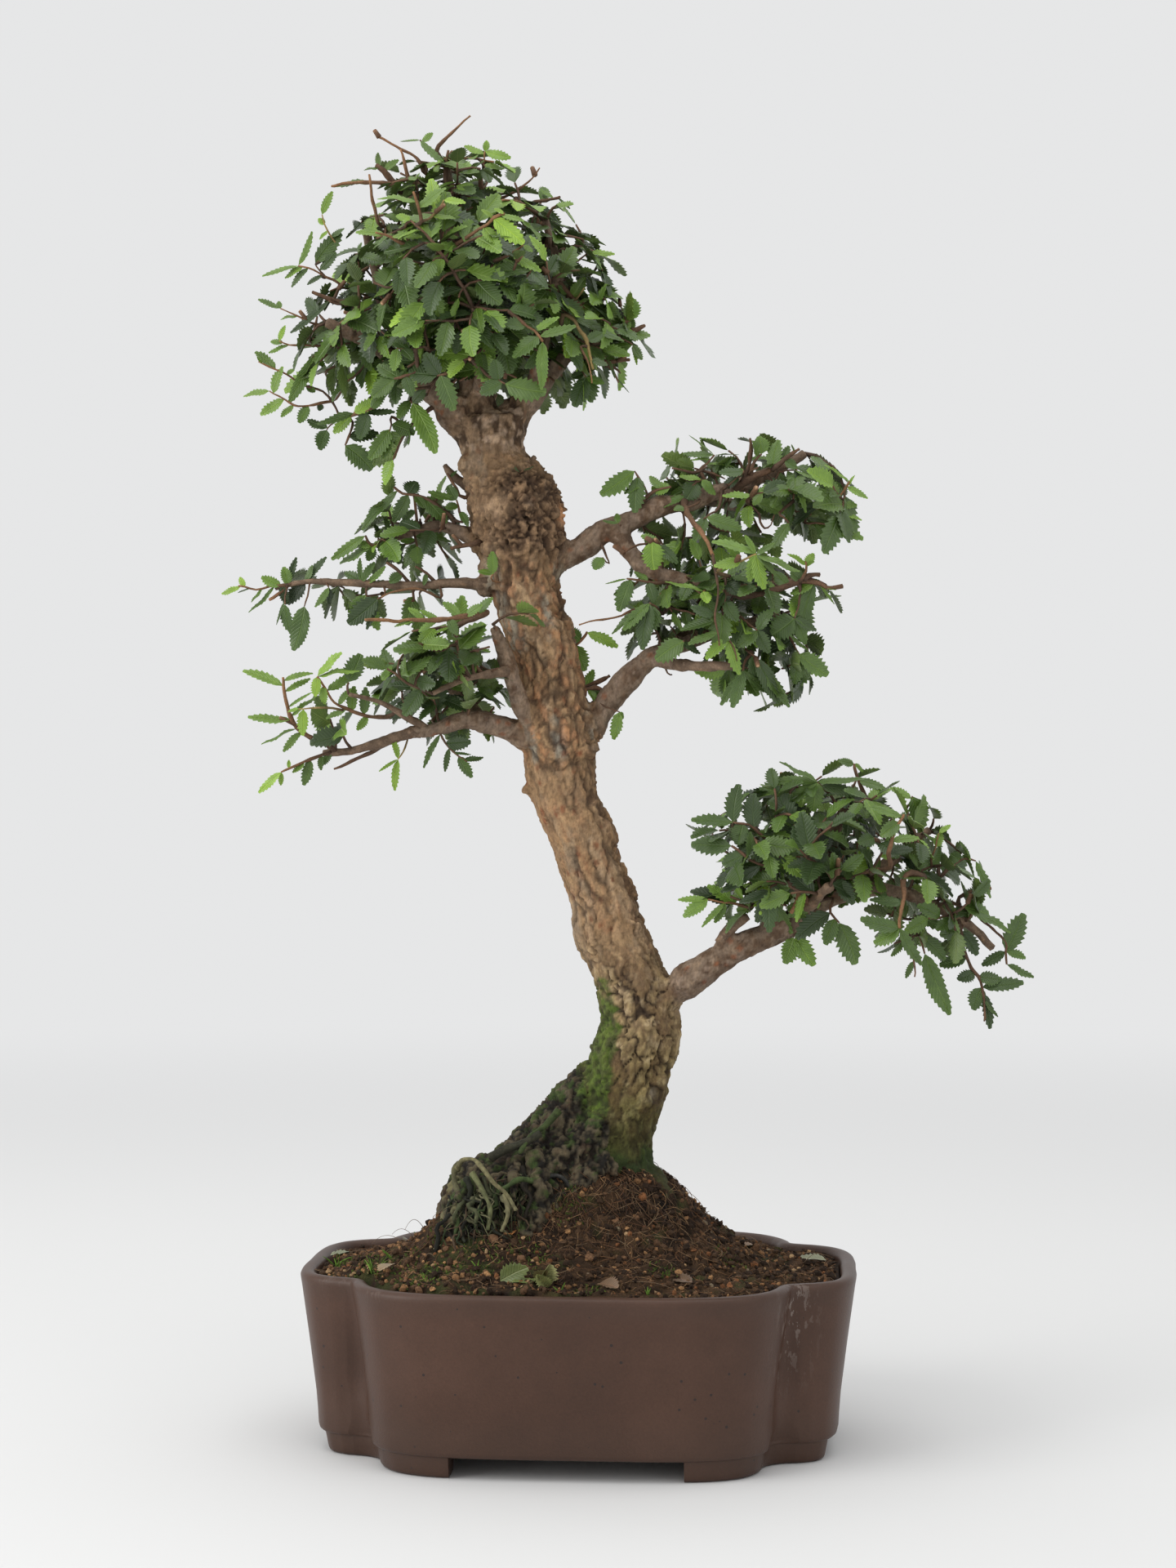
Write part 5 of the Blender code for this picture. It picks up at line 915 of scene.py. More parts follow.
def wire_material():
    mat, nt, bsdf = nodes_of("dull_wire")
    vec = obj_coords(nt, 1000)
    n = noise_tex(nt, vec, 0.9, 5, 0.6)
    col = ramp(nt, n, [(0.3, (0.022, 0.021, 0.019)), (0.6, (0.050, 0.049, 0.045)), (0.8, (0.110, 0.108, 0.100))])
    nt.links.new(col, bsdf.inputs["Base Color"])
    bsdf.inputs["Metallic"].default_value = 0.7
    nt.links.new(math_node(nt, 'MULTIPLY_ADD', n, 0.3, 0.46), bsdf.inputs["Roughness"])
    bump(nt, bsdf, n, 0.2, 0.0001)
    return mat


def mesh_plastic_material():
    mat, nt, bsdf = nodes_of("mesh_plastic_green")
    vec = obj_coords(nt, 1000)
    n = noise_tex(nt, vec, 0.7, 4, 0.6)
    col = ramp(nt, n, [(0.3, (0.012, 0.035, 0.02)), (0.7, (0.03, 0.065, 0.035))])
    nt.links.new(col, bsdf.inputs["Base Color"])
    nt.links.new(math_node(nt, 'MULTIPLY_ADD', n, 0.3, 0.4), bsdf.inputs["Roughness"])
    bump(nt, bsdf, n, 0.2, 0.0002)
    return mat


BARK = bark_material()
TWIG = twig_material()
LEAF = leaf_material()
POT = pot_material()
SOIL = ground_material("potting_mix")
GRAIN = ground_material("clay_granules", 0.4)
MOSS = ground_material("moss_green", 0.5)
WIRE = wire_material()
NET = mesh_plastic_material()


# ------------------------------------------------------------------ wood
def soil_height(x, y):
    """Height of the soil's surface at a place in the pot's frame (mm)."""
    ax, ay = MOUND_FROM
    bx, by = MOUND_TO
    dx, dy = bx - ax, by - ay
    t = np.clip(((x - ax) * dx + (y - ay) * dy) / (dx * dx + dy * dy), 0, 1)
    d = np.hypot(x - ax - t * dx, y - ay - t * dy)
    bumps = 0.7 * np.sin(x * 0.21 + 1.3) * np.cos(y * 0.17) + 0.5 * np.sin(x * 0.07 - y * 0.12)
    return 58.2 + (38.0 - 15.0 * t) * np.exp(-(d / 33.0) ** 2) + bumps * np.minimum(1.0, d / 20.0)


BRANCHES = [LOW_RIGHT, LOW_RIGHT_A, LOW_RIGHT_B, LOW_RIGHT_C, LOW_RIGHT_D, LOW_RIGHT_E,
            LEFT_LOW, LEFT_LOW_A, LEFT_LOW_B, RIGHT_MID, RIGHT_MID_A, RIGHT_MID_B,
            RIGHT_TOP, RIGHT_TOP_B, RIGHT_TOP_C, LEFT_MID, LEFT_TOP, LIMB, LIMB_A,
            CROWN_LEFT, CROWN_LEFT_B, CROWN_MID, CROWN_RIGHT, CROWN_RIGHT_B,
            CROWN_FRONT, CROWN_BACK, KNOT_LEFT, SPUR_LEFT, SPUR_RIGHT, STUB_LOW_RIGHT]
THICK = 2.0
# roots and earth-bound wood that fill the crook between the trunk and the leaning root
FILL = [[(10, -4, 112, 6.5), (0, -6, 103, 7.5), (-10, -9, 95, 8.0), (-20, -13, 86, 8.5), (-28, -18, 76, 8.0)],
        [(8, 4, 106, 8.0), (-4, 1, 98, 9.0), (-16, -4, 90, 9.0), (-26, -8, 80, 9.0)],
        [(6, -8, 96, 6.0), (-4, -13, 87, 6.0), (-14, -19, 78, 6.0), (-20, -24, 68, 5.0)],
        [(-28, -14, 86, 6.5), (-33, -23, 79, 6.0), (-35, -30, 69, 5.0)],
        [(-12, -10, 94, 5.5), (-17, -21, 84, 5.0), (-20, -29, 73, 4.0)],
        [(-38, -12, 87, 6.0), (-43, -19, 79, 5.0), (-46, -25, 68, 4.0)]]


def smooth_branch(rows, seed, step=1.4):
    """A branch's smooth run with small kinks and swellings, as wood has at its nodes."""
    s = catmull(rows, step)
    n = len(s)
    k = np.arange(n) * step
    wob = np.stack([vnoise(np.stack([k / 10.0, np.full(n, j * 7.3), np.zeros(n)], axis=1), seed)
                    for j in range(3)], axis=1)
    fade = np.minimum(1.0, np.minimum(np.arange(n), np.arange(n)[::-1]) / 6.0)[:, None]
    s[:, :3] += wob * 1.1 * fade * np.minimum(1.0, s[:, 3:4] / 3.0)
    s[:, 3] *= 1 + 0.13 * vnoise(np.stack([k / 5.0, np.full(n, 3.1), np.zeros(n)], axis=1), seed + 5)
    return s


def bead(c, rr):
    c = np.array(c, float)
    return np.array([[*(c - [0, 0, rr * 0.5]), rr * 0.8], [*c, rr], [*(c + [0, 0, rr * 0.5]), rr * 0.8]])


def tree_coords(me):
    """Vertex places and normals of a mesh, in mm, in the row's frame, and places in the tree's frame."""
    n = len(me.vertices)
    co = np.empty(n * 3, np.float32)
    me.vertices.foreach_get("co", co)
    co = co.reshape(-1, 3).astype(float) * 1000.0
    no = np.empty(n * 3, np.float32)
    me.vertices.foreach_get("normal", no)
    no = no.reshape(-1, 3).astype(float)
    p = co - np.array([STAND_X, STAND_Y, 0])
    u = p[:, 0] * CA + p[:, 1] * SA - SIDE
    w = -p[:, 0] * SA + p[:, 1] * CA
    return co, no, np.stack([u, w, p[:, 2]], axis=1)


def along_trunk(q):
    """Places straightened along the trunk: across, across, along; distance to its skin; its radius."""
    tr = catmull(TRUNK, 2.0)
    t, a, b = frames_along(tr[:, :3])
    s = np.concatenate([[0], np.cumsum(np.linalg.norm(np.diff(tr[:, :3], axis=0), axis=1))])
    best = np.full(len(q), 1e9)
    idx = np.zeros(len(q), int)
    for i, row in enumerate(tr):
        d = np.sqrt(((q - row[:3]) ** 2).sum(axis=1)) - row[3]
        near = d < best
        best = np.where(near, d, best)
        idx = np.where(near, i, idx)
    loc = q - tr[idx, :3]
    line = np.stack([(loc * a[idx]).sum(axis=1), (loc * b[idx]).sum(axis=1),
                     s[idx] + (loc * t[idx]).sum(axis=1)], axis=1)
    return line, best, tr[idx, 3]


def spots(L, size, seed, share, grow=0.30):
    """Scattered small spots: 1 inside, 0 outside."""
    f1, f2, cid = cells(L / np.array(size), seed)
    return (1 - smooth01(f1, grow * 0.6, grow)) * (cid < share)


def make_trunk():
    thick = Buf()
    thin = []
    runs = [(catmull(r, 1.5), 20) for r in (TRUNK, ROOT_RIDGE, ROOT_KNEE, ROOT_BACK, ROOT_RIGHT)]
    runs += [(catmull(r, 1.5), 14) for r in FILL]
    for i, rows in enumerate(BRANCHES):
        s = smooth_branch(rows, 40 + i)
        cut = np.where(s[:, 3] < THICK)[0]
        cut = cut[0] if len(cut) else len(s)
        if cut > 3:
            runs.append((s[:cut + 1], 14))
        if cut < len(s) - 2:
            thin.append((s[max(0, cut - 4):], 900 + i))
    rng = random.Random(5)
    # surface roots of the old root base
    for k in range(18):
        a = rng.uniform(0, 1)
        start = np.array([-16 - 26 * a, -13 - 6 * a + rng.uniform(-4, 4), 98 - 10 * a + rng.uniform(-3, 3)])
        end = start + np.array([rng.uniform(-9, 4), rng.uniform(-14, -6), -rng.uniform(16, 26)])
        mid = (start + end) / 2 + np.array([rng.uniform(-3, 3), rng.uniform(-5, -1), rng.uniform(-1, 3)])
        r = rng.uniform(1.3, 2.7)
        runs.append((catmull([(*start, r * 1.3), (*mid, r), (*end, r * 0.6)], 1.2), 10))
    # burl swellings
    for k in range(26):
        z = rng.uniform(303, 331)
        i = int(np.argmin([abs(r[2] - z) for r in TRUNK]))
        u, w, _, r = TRUNK[i]
        ang = rng.uniform(-math.pi, 0.2) if rng.random() < 0.7 else rng.uniform(0, 2 * math.pi)
        runs.append((bead([u + math.cos(ang) * r * 0.88, w + math.sin(ang) * r * 0.88, z],
                          rng.uniform(2.0, 4.2)), 10))
    # knots, stubs and branch collars
    for c, rr in (((24.0, -6.5, 123), 3.6), ((25, 3, 118), 3.0), ((7, -8, 120), 3.4),
                  ((-0.5, -7.5, 236), 4.6), ((0.5, -5, 246), 3.6), ((-20, -8, 238), 4.0),
                  ((-33, -11, 304), 3.2), ((-9, -11, 262), 2.6), ((27, -4, 150), 4.2),
                  ((12, -9.5, 134), 3.4), ((20, -8.5, 142), 3.6), ((-41, -10, 347), 3.2),
                  ((-24, -7, 350), 3.4), ((-22.5, -8, 282), 2.8), ((2.0, -6.5, 170), 3.2),
                  ((-3.5, 0, 177), 2.6), ((16, -6, 176), 2.4), ((-20.5, -2, 222), 2.6),
                  ((-34, -5, 298), 4.2), ((-35, -5, 290), 3.4), ((-25, 7, 262), 3.4)):
        runs.append((bead(c, rr), 12))
    for s, sides in runs:
        v, f3, f4 = sweep(s[:, :3], s[:, 3], sides)
        thick.add(world(v), f3, f4)
    ob = thick.build("elm_trunk", BARK)
    mod = ob.modifiers.new("join", 'REMESH')
    mod.mode = 'VOXEL'
    mod.voxel_size = 0.00084
    sm = ob.modifiers.new("soften", 'SMOOTH')
    sm.factor = 0.5
    sm.iterations = 6
    deps = bpy.context.evaluated_depsgraph_get()
    me = bpy.data.meshes.new_from_object(ob.evaluated_get(deps))
    ob.modifiers.clear()
    old = ob.data
    ob.data = me
    bpy.data.meshes.remove(old)

    co, no, q = tree_coords(me)
    n = len(co)
    L, d_axis, r_axis = along_trunk(q)
    z = q[:, 2]
    on_trunk = 1 - smooth01(d_axis, 0.8, 4.5)
    # the trunk's right side: rougher bark there, and painted shade in its colour further down
    rough_shaded_right = smooth01(L[:, 0] / np.maximum(r_axis, 1), 0.45, 0.85)
    low = 1 - smooth01(z + 3 * vnoise(q / 12.0, 2), 150, 178)
    burl = smooth01(z, 297, 305) * (1 - smooth01(z, 326, 337)) * on_trunk
    burl *= 0.55 + 0.45 * smooth01(q[:, 0], -38, -24)
    rough_up = smooth01(z, 226, 236) * (1 - smooth01(z, 292, 304)) * on_trunk
    high = smooth01(z, 330, 342)
    root = 1 - smooth01(q[:, 0] + 0.08 * (z - 100) + 1.5 * vnoise(q / 4.0, 17), -3.6, 0.4)
    root = np.maximum(root, smooth01(d_axis + 0.5 * vnoise(q / 3.0, 18), 1.0, 2.6))
    root = root * (1 - smooth01(z, 124, 134)) * (1 - smooth01(q[:, 0], 13, 17))

    warp = np.stack([fbm(q / 9.0, 3, 11), fbm(q / 9.0, 3, 12), fbm(q / 12.0, 3, 13)], axis=1)
    fine = fbm(q / 1.6, 3, 5, 0.6)
    grainy = vnoise(L / np.array([1.1, 1.1, 6.5]), 8)
    mid = fbm(q / 5.0, 3, 6)
    wide = fbm(q / 15.0, 3, 7)
    # long furrows that run with the trunk
    f1, f2, cid = cells((L + warp * np.array([3.4, 3.4, 7.0])) / np.array([5.6, 5.6, 25.0]), 3)
    furrow = 1 - smooth01(f2 - f1, 0.01, 0.15)
    # flakes
    g1, g2, gid = cells((L + warp * 2.6) / np.array([2.7, 2.7, 6.4]), 21)
    flake = 1 - smooth01(g2 - g1, 0.02, 0.24)
    # thick plates low down
    b1, b2, bid = cells((L + warp * np.array([6.0, 6.0, 8.0])) / np.array([6.4, 6.4, 12.5]), 33)
    plate = 1 - smooth01(b2 - b1, 0.01, 0.105)
    open_f = smooth01(fbm(q / 13.0, 2, 44), -0.45, 0.15)      # some furrows stay closed

    body = on_trunk * (1 - low) * (1 - burl)
    disp = body * (-0.75 * furrow * (0.35 + 0.65 * open_f) - 0.26 * flake * (0.4 + 0.9 * rough_up)
                   + 0.5 * (cid - 0.5) + 0.34 * (gid - 0.5) * (0.4 + rough_up) + 0.22 * grainy)
    disp += body * rough_shaded_right * (-0.9 * furrow - 0.5 * flake + 0.9 * (gid - 0.45)) * (1 - high) * 0.8
    disp += low * on_trunk * (-1.25 * plate * (0.35 + 0.65 * smooth01(z, 116, 128)) - 0.30 * flake
                              + 1.0 * (bid - 0.5) * smooth01(z, 112, 130) + 0.55 * (gid - 0.5))
    disp += 0.30 * fine * (0.5 + 0.5 * on_trunk) + 0.55 * mid * on_trunk + 0.9 * wide * on_trunk
    # gnarled burl: folded ridges with deep crevices
    fold = fbm((q + warp * 6.0) / np.array([6.0, 6.0, 6.5]), 3, 71)
    fold2 = fbm((q + warp * 4.0) / 3.1, 3, 72, 0.6)
    crev = 1 - smooth01(np.abs(fold), 0.0, 0.085)
    crev2 = 1 - smooth01(np.abs(fold2), 0.0, 0.10)
    disp += burl * (1.5 * np.abs(fold2) * 2.0 + 0.8 * fine - 1.9 * crev - 0.8 * crev2 + 0.2)
    # branches: knobs and flaking
    br = (1 - on_trunk) * (1 - root)
    disp += br * (0.55 * mid + 0.30 * fine - 0.35 * crev2 * smooth01(wide, -0.2, 0.3))
    # the root mass is ropy and pitted
    rope = fbm((q + warp * 5.0) / np.array([3.4, 3.4, 10.0]), 4, 61, 0.6)
    rcrev = 1 - smooth01(np.abs(rope), 0.0, 0.11)
    disp += root * (2.2 * np.abs(rope) * 1.5 - 1.5 * rcrev + 1.1 * fine + 0.8 * fbm(q / 2.6, 3, 64, 0.6))
    # knot hole near the base on the right
    hole = np.array([22.6, -9.2, 118.5])
    dk = np.sqrt((((q - hole) / np.array([2.8, 5.0, 3.4])) ** 2).sum(axis=1))
    disp += 0.8 * np.exp(-((dk - 1.15) / 0.3) ** 2) - 1.4 * np.exp(-(dk / 0.7) ** 2)
    disp *= 0.4 + 0.6 * smooth01(np.where(on_trunk > 0.3, r_axis, 3.0), 1.0, 5.0)

    # colours, linear
    tan = np.array([0.334, 0.220, 0.120])
    pale = np.array([0.425, 0.306, 0.190])
    grey = np.array([0.285, 0.270, 0.215])
    brown = np.array([0.250, 0.142, 0.068])
    orange = np.array([0.400, 0.200, 0.095])
    rust = np.array([0.200, 0.070, 0.032])
    dark = np.array([0.030, 0.018, 0.012])
    soft = np.array([0.105, 0.062, 0.036])
    col = np.tile(tan, (n, 1))
    col = mixc(col, pale, smooth01(cid + 0.4 * fine, 0.55, 0.95) * 0.55)
    col = mixc(col, brown, smooth01(1 - cid + 0.4 * mid, 0.70, 1.1) * 0.45)
    col = mixc(col, grey, smooth01(fbm(L / np.array([5, 5, 20]), 3, 91), 0.10, 0.38)
               * (0.35 + 0.5 * rough_up) * (1 - 0.7 * low))
    col = mixc(col, orange, smooth01(gid + 0.5 * fine, 0.66, 0.95) * (0.18 + 0.55 * rough_up) * (1 - low))
    col = mixc(col, brown, (1 - smooth01(gid + 0.4 * mid, 0.05, 0.38)) * (0.25 + 0.5 * rough_up))
    col = mixc(col, rust, spots(L, (3.4, 3.4, 4.6), 95, 0.42, 0.34) * 0.75 * (1 - low) * (1 - burl))
    col = mixc(col, rust, smooth01(fbm(L / np.array([1.6, 1.6, 7.0]), 2, 96), 0.36, 0.6) * 0.35 * body)
    col = mixc(col, soft, np.clip(flake * (0.25 + 0.4 * rough_up), 0, 1) * (1 - 0.4 * low))
    col = mixc(col, dark, np.clip(furrow * (0.15 + 0.55 * open_f), 0, 0.80) * body)
    # painted shade: the trunk's right side is darker, more so at the flakes' edges
    col = mixc(col, soft, rough_shaded_right * (0.25 + 0.55 * flake) * body * (1 - high) * (1 - 0.5 * rough_up))
    # low plates
    lowc = mixc(np.tile(np.array([0.288, 0.212, 0.108]), (n, 1)), np.array([0.165, 0.110, 0.054]),
                smooth01(1 - bid + 0.4 * mid, 0.45, 0.9))
    lowc = mixc(lowc, np.array([0.46, 0.36, 0.22]), smooth01(fbm(q / 2.6, 3, 98) + 0.3 * bid, 0.20, 0.5) * 0.6)
    lowc = mixc(lowc, soft, flake * 0.62)
    lowc = mixc(lowc, dark, plate * 0.95 * (0.45 + 0.55 * smooth01(z, 114, 126)))
    col = mixc(col, lowc, low)
    col *= (1 + 0.20 * fine + 0.14 * grainy + 0.08 * mid)[:, None]
    # burl: darker, mottled, with a patch of bare wood
    burlc = mixc(np.tile(np.array([0.070, 0.040, 0.022]), (n, 1)), np.array([0.262, 0.168, 0.095]),
                 smooth01(np.abs(fold2) * 2.4 + 0.5 * fine, 0.30, 0.95))
    burlc = mixc(burlc, dark, np.clip(crev * 1.0 + crev2 * 0.72, 0, 0.96))
    col = mixc(col, burlc, burl * 0.95)
    eye = np.exp(-(((q - np.array([-31.0, -15.0, 318.0])) / np.array([3.6, 7.0, 3.2])) ** 2).sum(axis=1))
    col = mixc(col, np.array([0.36, 0.25, 0.155]), np.clip(eye * 1.3, 0, 0.8))
    cutw = np.exp(-(((q - np.array([-9.8, -4.0, 315.5])) / np.array([2.0, 3.4, 3.0])) ** 2).sum(axis=1))
    col = mixc(col, np.array([0.60, 0.30, 0.14]), np.clip(cutw * 1.5, 0, 0.9))
    kcut = np.sqrt((((q - np.array([-43.5, -12.0, 332.5])) / np.array([2.3, 5.0, 2.6])) ** 2).sum(axis=1))
    col = mixc(col, np.array([0.42, 0.29, 0.16]), np.exp(-(kcut / 0.75) ** 2) * 0.85)
    col = mixc(col, dark, np.exp(-((kcut - 1.1) / 0.2) ** 2) * 0.6)
    # smoother and greyer towards the crown and out on the branches
    topc = mixc(np.tile(np.array([0.238, 0.160, 0.099]), (n, 1)), np.array([0.055, 0.032, 0.019]),
                smooth01(fbm(L / np.array([3.0, 3.0, 8.0]), 3, 151, 0.6), -0.02, 0.20))
    topc = mixc(topc, np.array([0.43, 0.32, 0.23]), smooth01(fbm(q / 2.6, 3, 152), 0.08, 0.30) * 0.75)
    topc = mixc(topc, soft * 0.6, crev2 * 0.60)
    topc = topc * np.clip(1 + 0.55 * fine + 0.50 * mid, 0.45, 1.8)[:, None]
    col = mixc(col, topc, high * 0.9 * on_trunk)
    brc = mixc(np.tile(np.array([0.205, 0.150, 0.108]), (n, 1)), np.array([0.110, 0.068, 0.043]),
               smooth01(fbm(q / 3.2, 3, 153), -0.05, 0.35))
    brc = mixc(brc, np.array([0.31, 0.235, 0.175]), smooth01(fbm(q / 1.9, 3, 154), 0.15, 0.5) * 0.7)
    brc = mixc(brc, rust * 1.15, spots(q, (3.6, 3.6, 3.6), 155, 0.35, 0.36) * 0.7)
    brc = mixc(brc, dark * 1.6, crev2 * 0.45)
    col = mixc(col, brc, (1 - on_trunk) * 0.92)
    # damp, dark and green towards the base
    damp = 1 - smooth01(z + 6 * mid, 98, 150)
    col = mixc(col, col * np.array([0.62, 0.70, 0.46]), damp)
    col = mixc(col, col * np.array([0.27, 0.36, 0.24]), (1 - smooth01(z + 6 * mid, 94, 126)) * 0.9)
    left = smooth01(-L[:, 0] / np.maximum(r_axis, 1), 0.18, 0.70)
    moss = smooth01(1.15 * left + 0.55 * fbm(q / 4.0, 4, 101, 0.6) - smooth01(z, 128, 178) * 1.1
                    + 0.70 * (1 - smooth01(z, 93, 110)), 0.34, 0.72)
    moss = moss * (1 - smooth01(z, 164, 186)) * on_trunk
    seam = np.exp(-((d_axis + 0.2) / 4.0) ** 2) * smooth01(z, 92, 100) * (1 - smooth01(z, 150, 172)) * left
    mossc = mixc(np.tile(np.array([0.026, 0.040, 0.009]), (n, 1)), np.array([0.080, 0.134, 0.018]),
                 smooth01(fbm(q / 1.8, 3, 111) + 0.3 * fine, -0.25, 0.45))
    mossc = mixc(mossc, np.array([0.024, 0.040, 0.010]), 1 - smooth01(z, 93, 106))
    col = mixc(col, mossc, moss * (1 - 0.8 * root) * 0.88)
    rootc = mixc(np.tile(np.array([0.009, 0.008, 0.006]), (n, 1)), np.array([0.092, 0.075, 0.045]),
                 smooth01(np.abs(rope) * 2.2 + 0.5 * fine, 0.2, 0.85))
    knob = smooth01(fbm(q / 3.4, 4, 131) + smooth01(-q[:, 0], 32, 44) * 0.50 + smooth01(z, 84, 96) * 0.2, 0.62, 0.95)
    rootc = mixc(rootc, np.array([0.20, 0.19, 0.095]), knob * 0.75)
    rgreen = smooth01(fbm(q / 3.0, 4, 141, 0.6) + 0.22 * no[:, 2] + 0.16 * smooth01(z, 108, 122), 0.20, 0.50)
    rootc = mixc(rootc, np.array([0.036, 0.066, 0.012]), rgreen * 0.75)
    rbrown = smooth01(fbm(q / 2.2, 3, 143), 0.20, 0.55)
    rootc = mixc(rootc, np.array([0.075, 0.046, 0.026]), rbrown * 0.55 * (1 - rgreen))
    rootc = mixc(rootc, mossc, smooth01(seam + 0.5 * fbm(q / 3.0, 3, 145), 0.30, 0.70) * 0.9)
    rootc = mixc(rootc, dark * 0.5, rcrev * 0.8)
    col = mixc(col, rootc, root)
    col = mixc(col, np.array([0.46, 0.40, 0.30]), np.exp(-(dk / 0.5) ** 2) * 0.85)
    col = mixc(col, dark, np.exp(-((dk - 0.95) / 0.22) ** 2) * 0.75)
    disp = disp + moss * (1 - root) * 0.35 * (1 + fine)
    co = co + no * disp[:, None]
    me.vertices.foreach_set("co", (co / 1000.0).astype(np.float32).ravel())
    for a in list(me.color_attributes):
        me.color_attributes.remove(a)
    me.update()
    col = np.clip(col, 0.004, 1)

    # two pieces, parted at the burl's foot
    m = len(me.polygons)
    loops = np.empty(len(me.loops), np.int32)
    me.loops.foreach_get("vertex_index", loops)
    total = np.empty(m, np.int32)
    me.polygons.foreach_get("loop_total", total)
    start = np.empty(m, np.int32)
    me.polygons.foreach_get("loop_start", start)
    quads = start[total == 4][:, None] + np.arange(4)[None, :]
    tris = start[total == 3][:, None] + np.arange(3)[None, :]
    quads, tris = loops[quads], loops[tris]
    co_m = co / 1000.0
    for name, keep in (("elm_trunk_and_roots", lambda f: z[f].mean(axis=1) < 232.0),
                       ("elm_upper_wood", lambda f: z[f].mean(axis=1) >= 232.0)):
        k4 = quads[keep(quads)]
        k3 = tris[keep(tris)] if len(tris) else np.zeros((0, 3), int)
        used = np.unique(np.concatenate([k4.ravel(), k3.ravel()]))
        back = np.zeros(n, int)
        back[used] = np.arange(len(used))
        part = Buf()
        part.add(co_m[used], back[k3], back[k4], col[used])
        po = part.build(name, BARK)
        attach(po, "root")
        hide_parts("elm_wood")
    bpy.data.objects.remove(ob, do_unlink=True)
    bpy.data.meshes.remove(me)

    # the thinner ends of the branches
    lim = Buf()
    for s, seed in thin:
        k = len(s)
        sides = 10
        v, f3, f4 = sweep(s[:, :3], s[:, 3], sides)
        ring = v[:k * sides]
        swell = 1 + 0.20 * fbm(ring / 1.4, 3, seed) + 0.12 * vnoise(ring / 3.0, seed + 3)
        cen = np.repeat(s[:, :3], sides, axis=0)
        v[:k * sides] = cen + (ring - cen) * swell[:, None]
        c = mixc(np.tile(np.array([0.120, 0.082, 0.056]), (len(v), 1)), np.array([0.225, 0.155, 0.105]),
                 smooth01(fbm(v / 2.0, 3, seed + 9), -0.3, 0.5))
        c = mixc(c, np.array([0.34, 0.21, 0.12]), smooth01(fbm(v / 0.9, 2, seed + 11), 0.40, 0.7) * 0.6)
        lim.add(world(v), f3, f4, c)
    lo = lim.build("elm_branch_ends", TWIG)

    # fine ropy roots that hang from the old root base down into the soil
    hair = Buf()
    for k in range(190):
        a = rng.random()
        b = rng.random()
        top = np.array([-22 - 23 * a, -18 - 7 * a - 4 * b, 95 - 9 * a - 7 * b * b])
        dn = np.array([rng.gauss(0, 3.6), rng.uniform(-11, -2), 0])
        end = top + dn
        pe = tree_to_pot(end)[0]
        floor = float(soil_height(np.array([pe[0]]), np.array([pe[1]]))[0])
        end[2] = floor + rng.uniform(-0.6, 0.8)
        if rng.random() < 0.35:
            end[2] += rng.uniform(2, 8)
        if end[2] > top[2] - 4:
            top[2] = end[2] + rng.uniform(4, 9)
        m_ = 10
        t = np.linspace(0, 1, m_)[:, None]
        path = top * (1 - t) + end * t
        path[:, 1] -= (np.sin(t[:, 0] * math.pi) * rng.uniform(0.2, 3.0))
        path[:, 2] += (np.sin(t[:, 0] * math.pi) * rng.uniform(-1.5, 2.5))
        path += np.stack([vnoise(np.stack([t[:, 0] * 4 + k, np.full(m_, j * 3.7), np.full(m_, k * 0.7)], axis=1), 83)
                          for j in range(3)], axis=1) * np.array([2.6, 1.0, 1.2])
        r = rng.uniform(0.18, 0.75) if rng.random() < 0.88 else rng.uniform(0.8, 1.5)
        rad = r * (1 - 0.6 * t[:, 0]) * (1 + 0.3 * vnoise(np.stack([t[:, 0] * 7, np.full(m_, k), np.zeros(m_)], axis=1), 84))
        v, f3, f4 = sweep(path, rad, 6)
        tone = rng.choice([(0.012, 0.012, 0.008), (0.018, 0.020, 0.012), (0.024, 0.036, 0.014), (0.030, 0.024, 0.016),
                           (0.050, 0.056, 0.026), (0.036, 0.056, 0.018), (0.095, 0.095, 0.050), (0.060, 0.040, 0.024),
                           (0.018, 0.015, 0.010), (0.150, 0.145, 0.080)])
        c = np.array(tone) * (1 + 0.6 * vnoise(v / 1.3, 85))[:, None]
        hair.add(world(v), f3, f4, np.clip(c, 0.004, 1))
    # the stout pale roots that show on the old base
    for k, (pts, r, tone) in enumerate((
            ([(560, 1432, -20), (566, 1421, -24), (580, 1420, -27), (592, 1432, -30), (604, 1448, -32), (620, 1462, -33),
              (632, 1482, -34)], 0.9, (0.135, 0.125, 0.064)),
            ([(562, 1424, -18), (556, 1436, -21), (558, 1452, -24), (566, 1470, -27)], 1.25, (0.085, 0.082, 0.042)),
            ([(578, 1436, -28), (590, 1456, -31), (600, 1480, -33), (597, 1506, -34)], 1.0, (0.120, 0.130, 0.060)),
            ([(652, 1446, -28), (636, 1444, -30), (622, 1452, -32), (612, 1458, -32)], 1.0, (0.046, 0.070, 0.022)),
            ([(618, 1462, -32), (622, 1486, -34), (614, 1508, -35)], 0.8, (0.160, 0.150, 0.080)),
            ([(600, 1418, -20), (618, 1408, -20), (640, 1400, -19), (662, 1388, -18)], 1.5, (0.030, 0.030, 0.018)),
            ([(566, 1470, -27), (572, 1490, -30), (568, 1512, -33)], 0.9, (0.090, 0.095, 0.050)),
            ([(684, 1360, -12), (668, 1378, -15), (650, 1392, -18), (636, 1412, -22)], 1.2, (0.040, 0.058, 0.018)))):
        q_ = catmull(np.column_stack([np.array([seen(*p_) for p_ in pts]), np.full(len(pts), r)]), 1.0)
        kk = np.arange(len(q_))
        rad = q_[:, 3] * (1 - 0.35 * kk / len(kk)) * (1 + 0.28 * vnoise(np.column_stack([kk / 2.6, kk * 0 + k, kk * 0]), 88))
        v, f3, f4 = sweep(q_[:, :3], rad, 10)
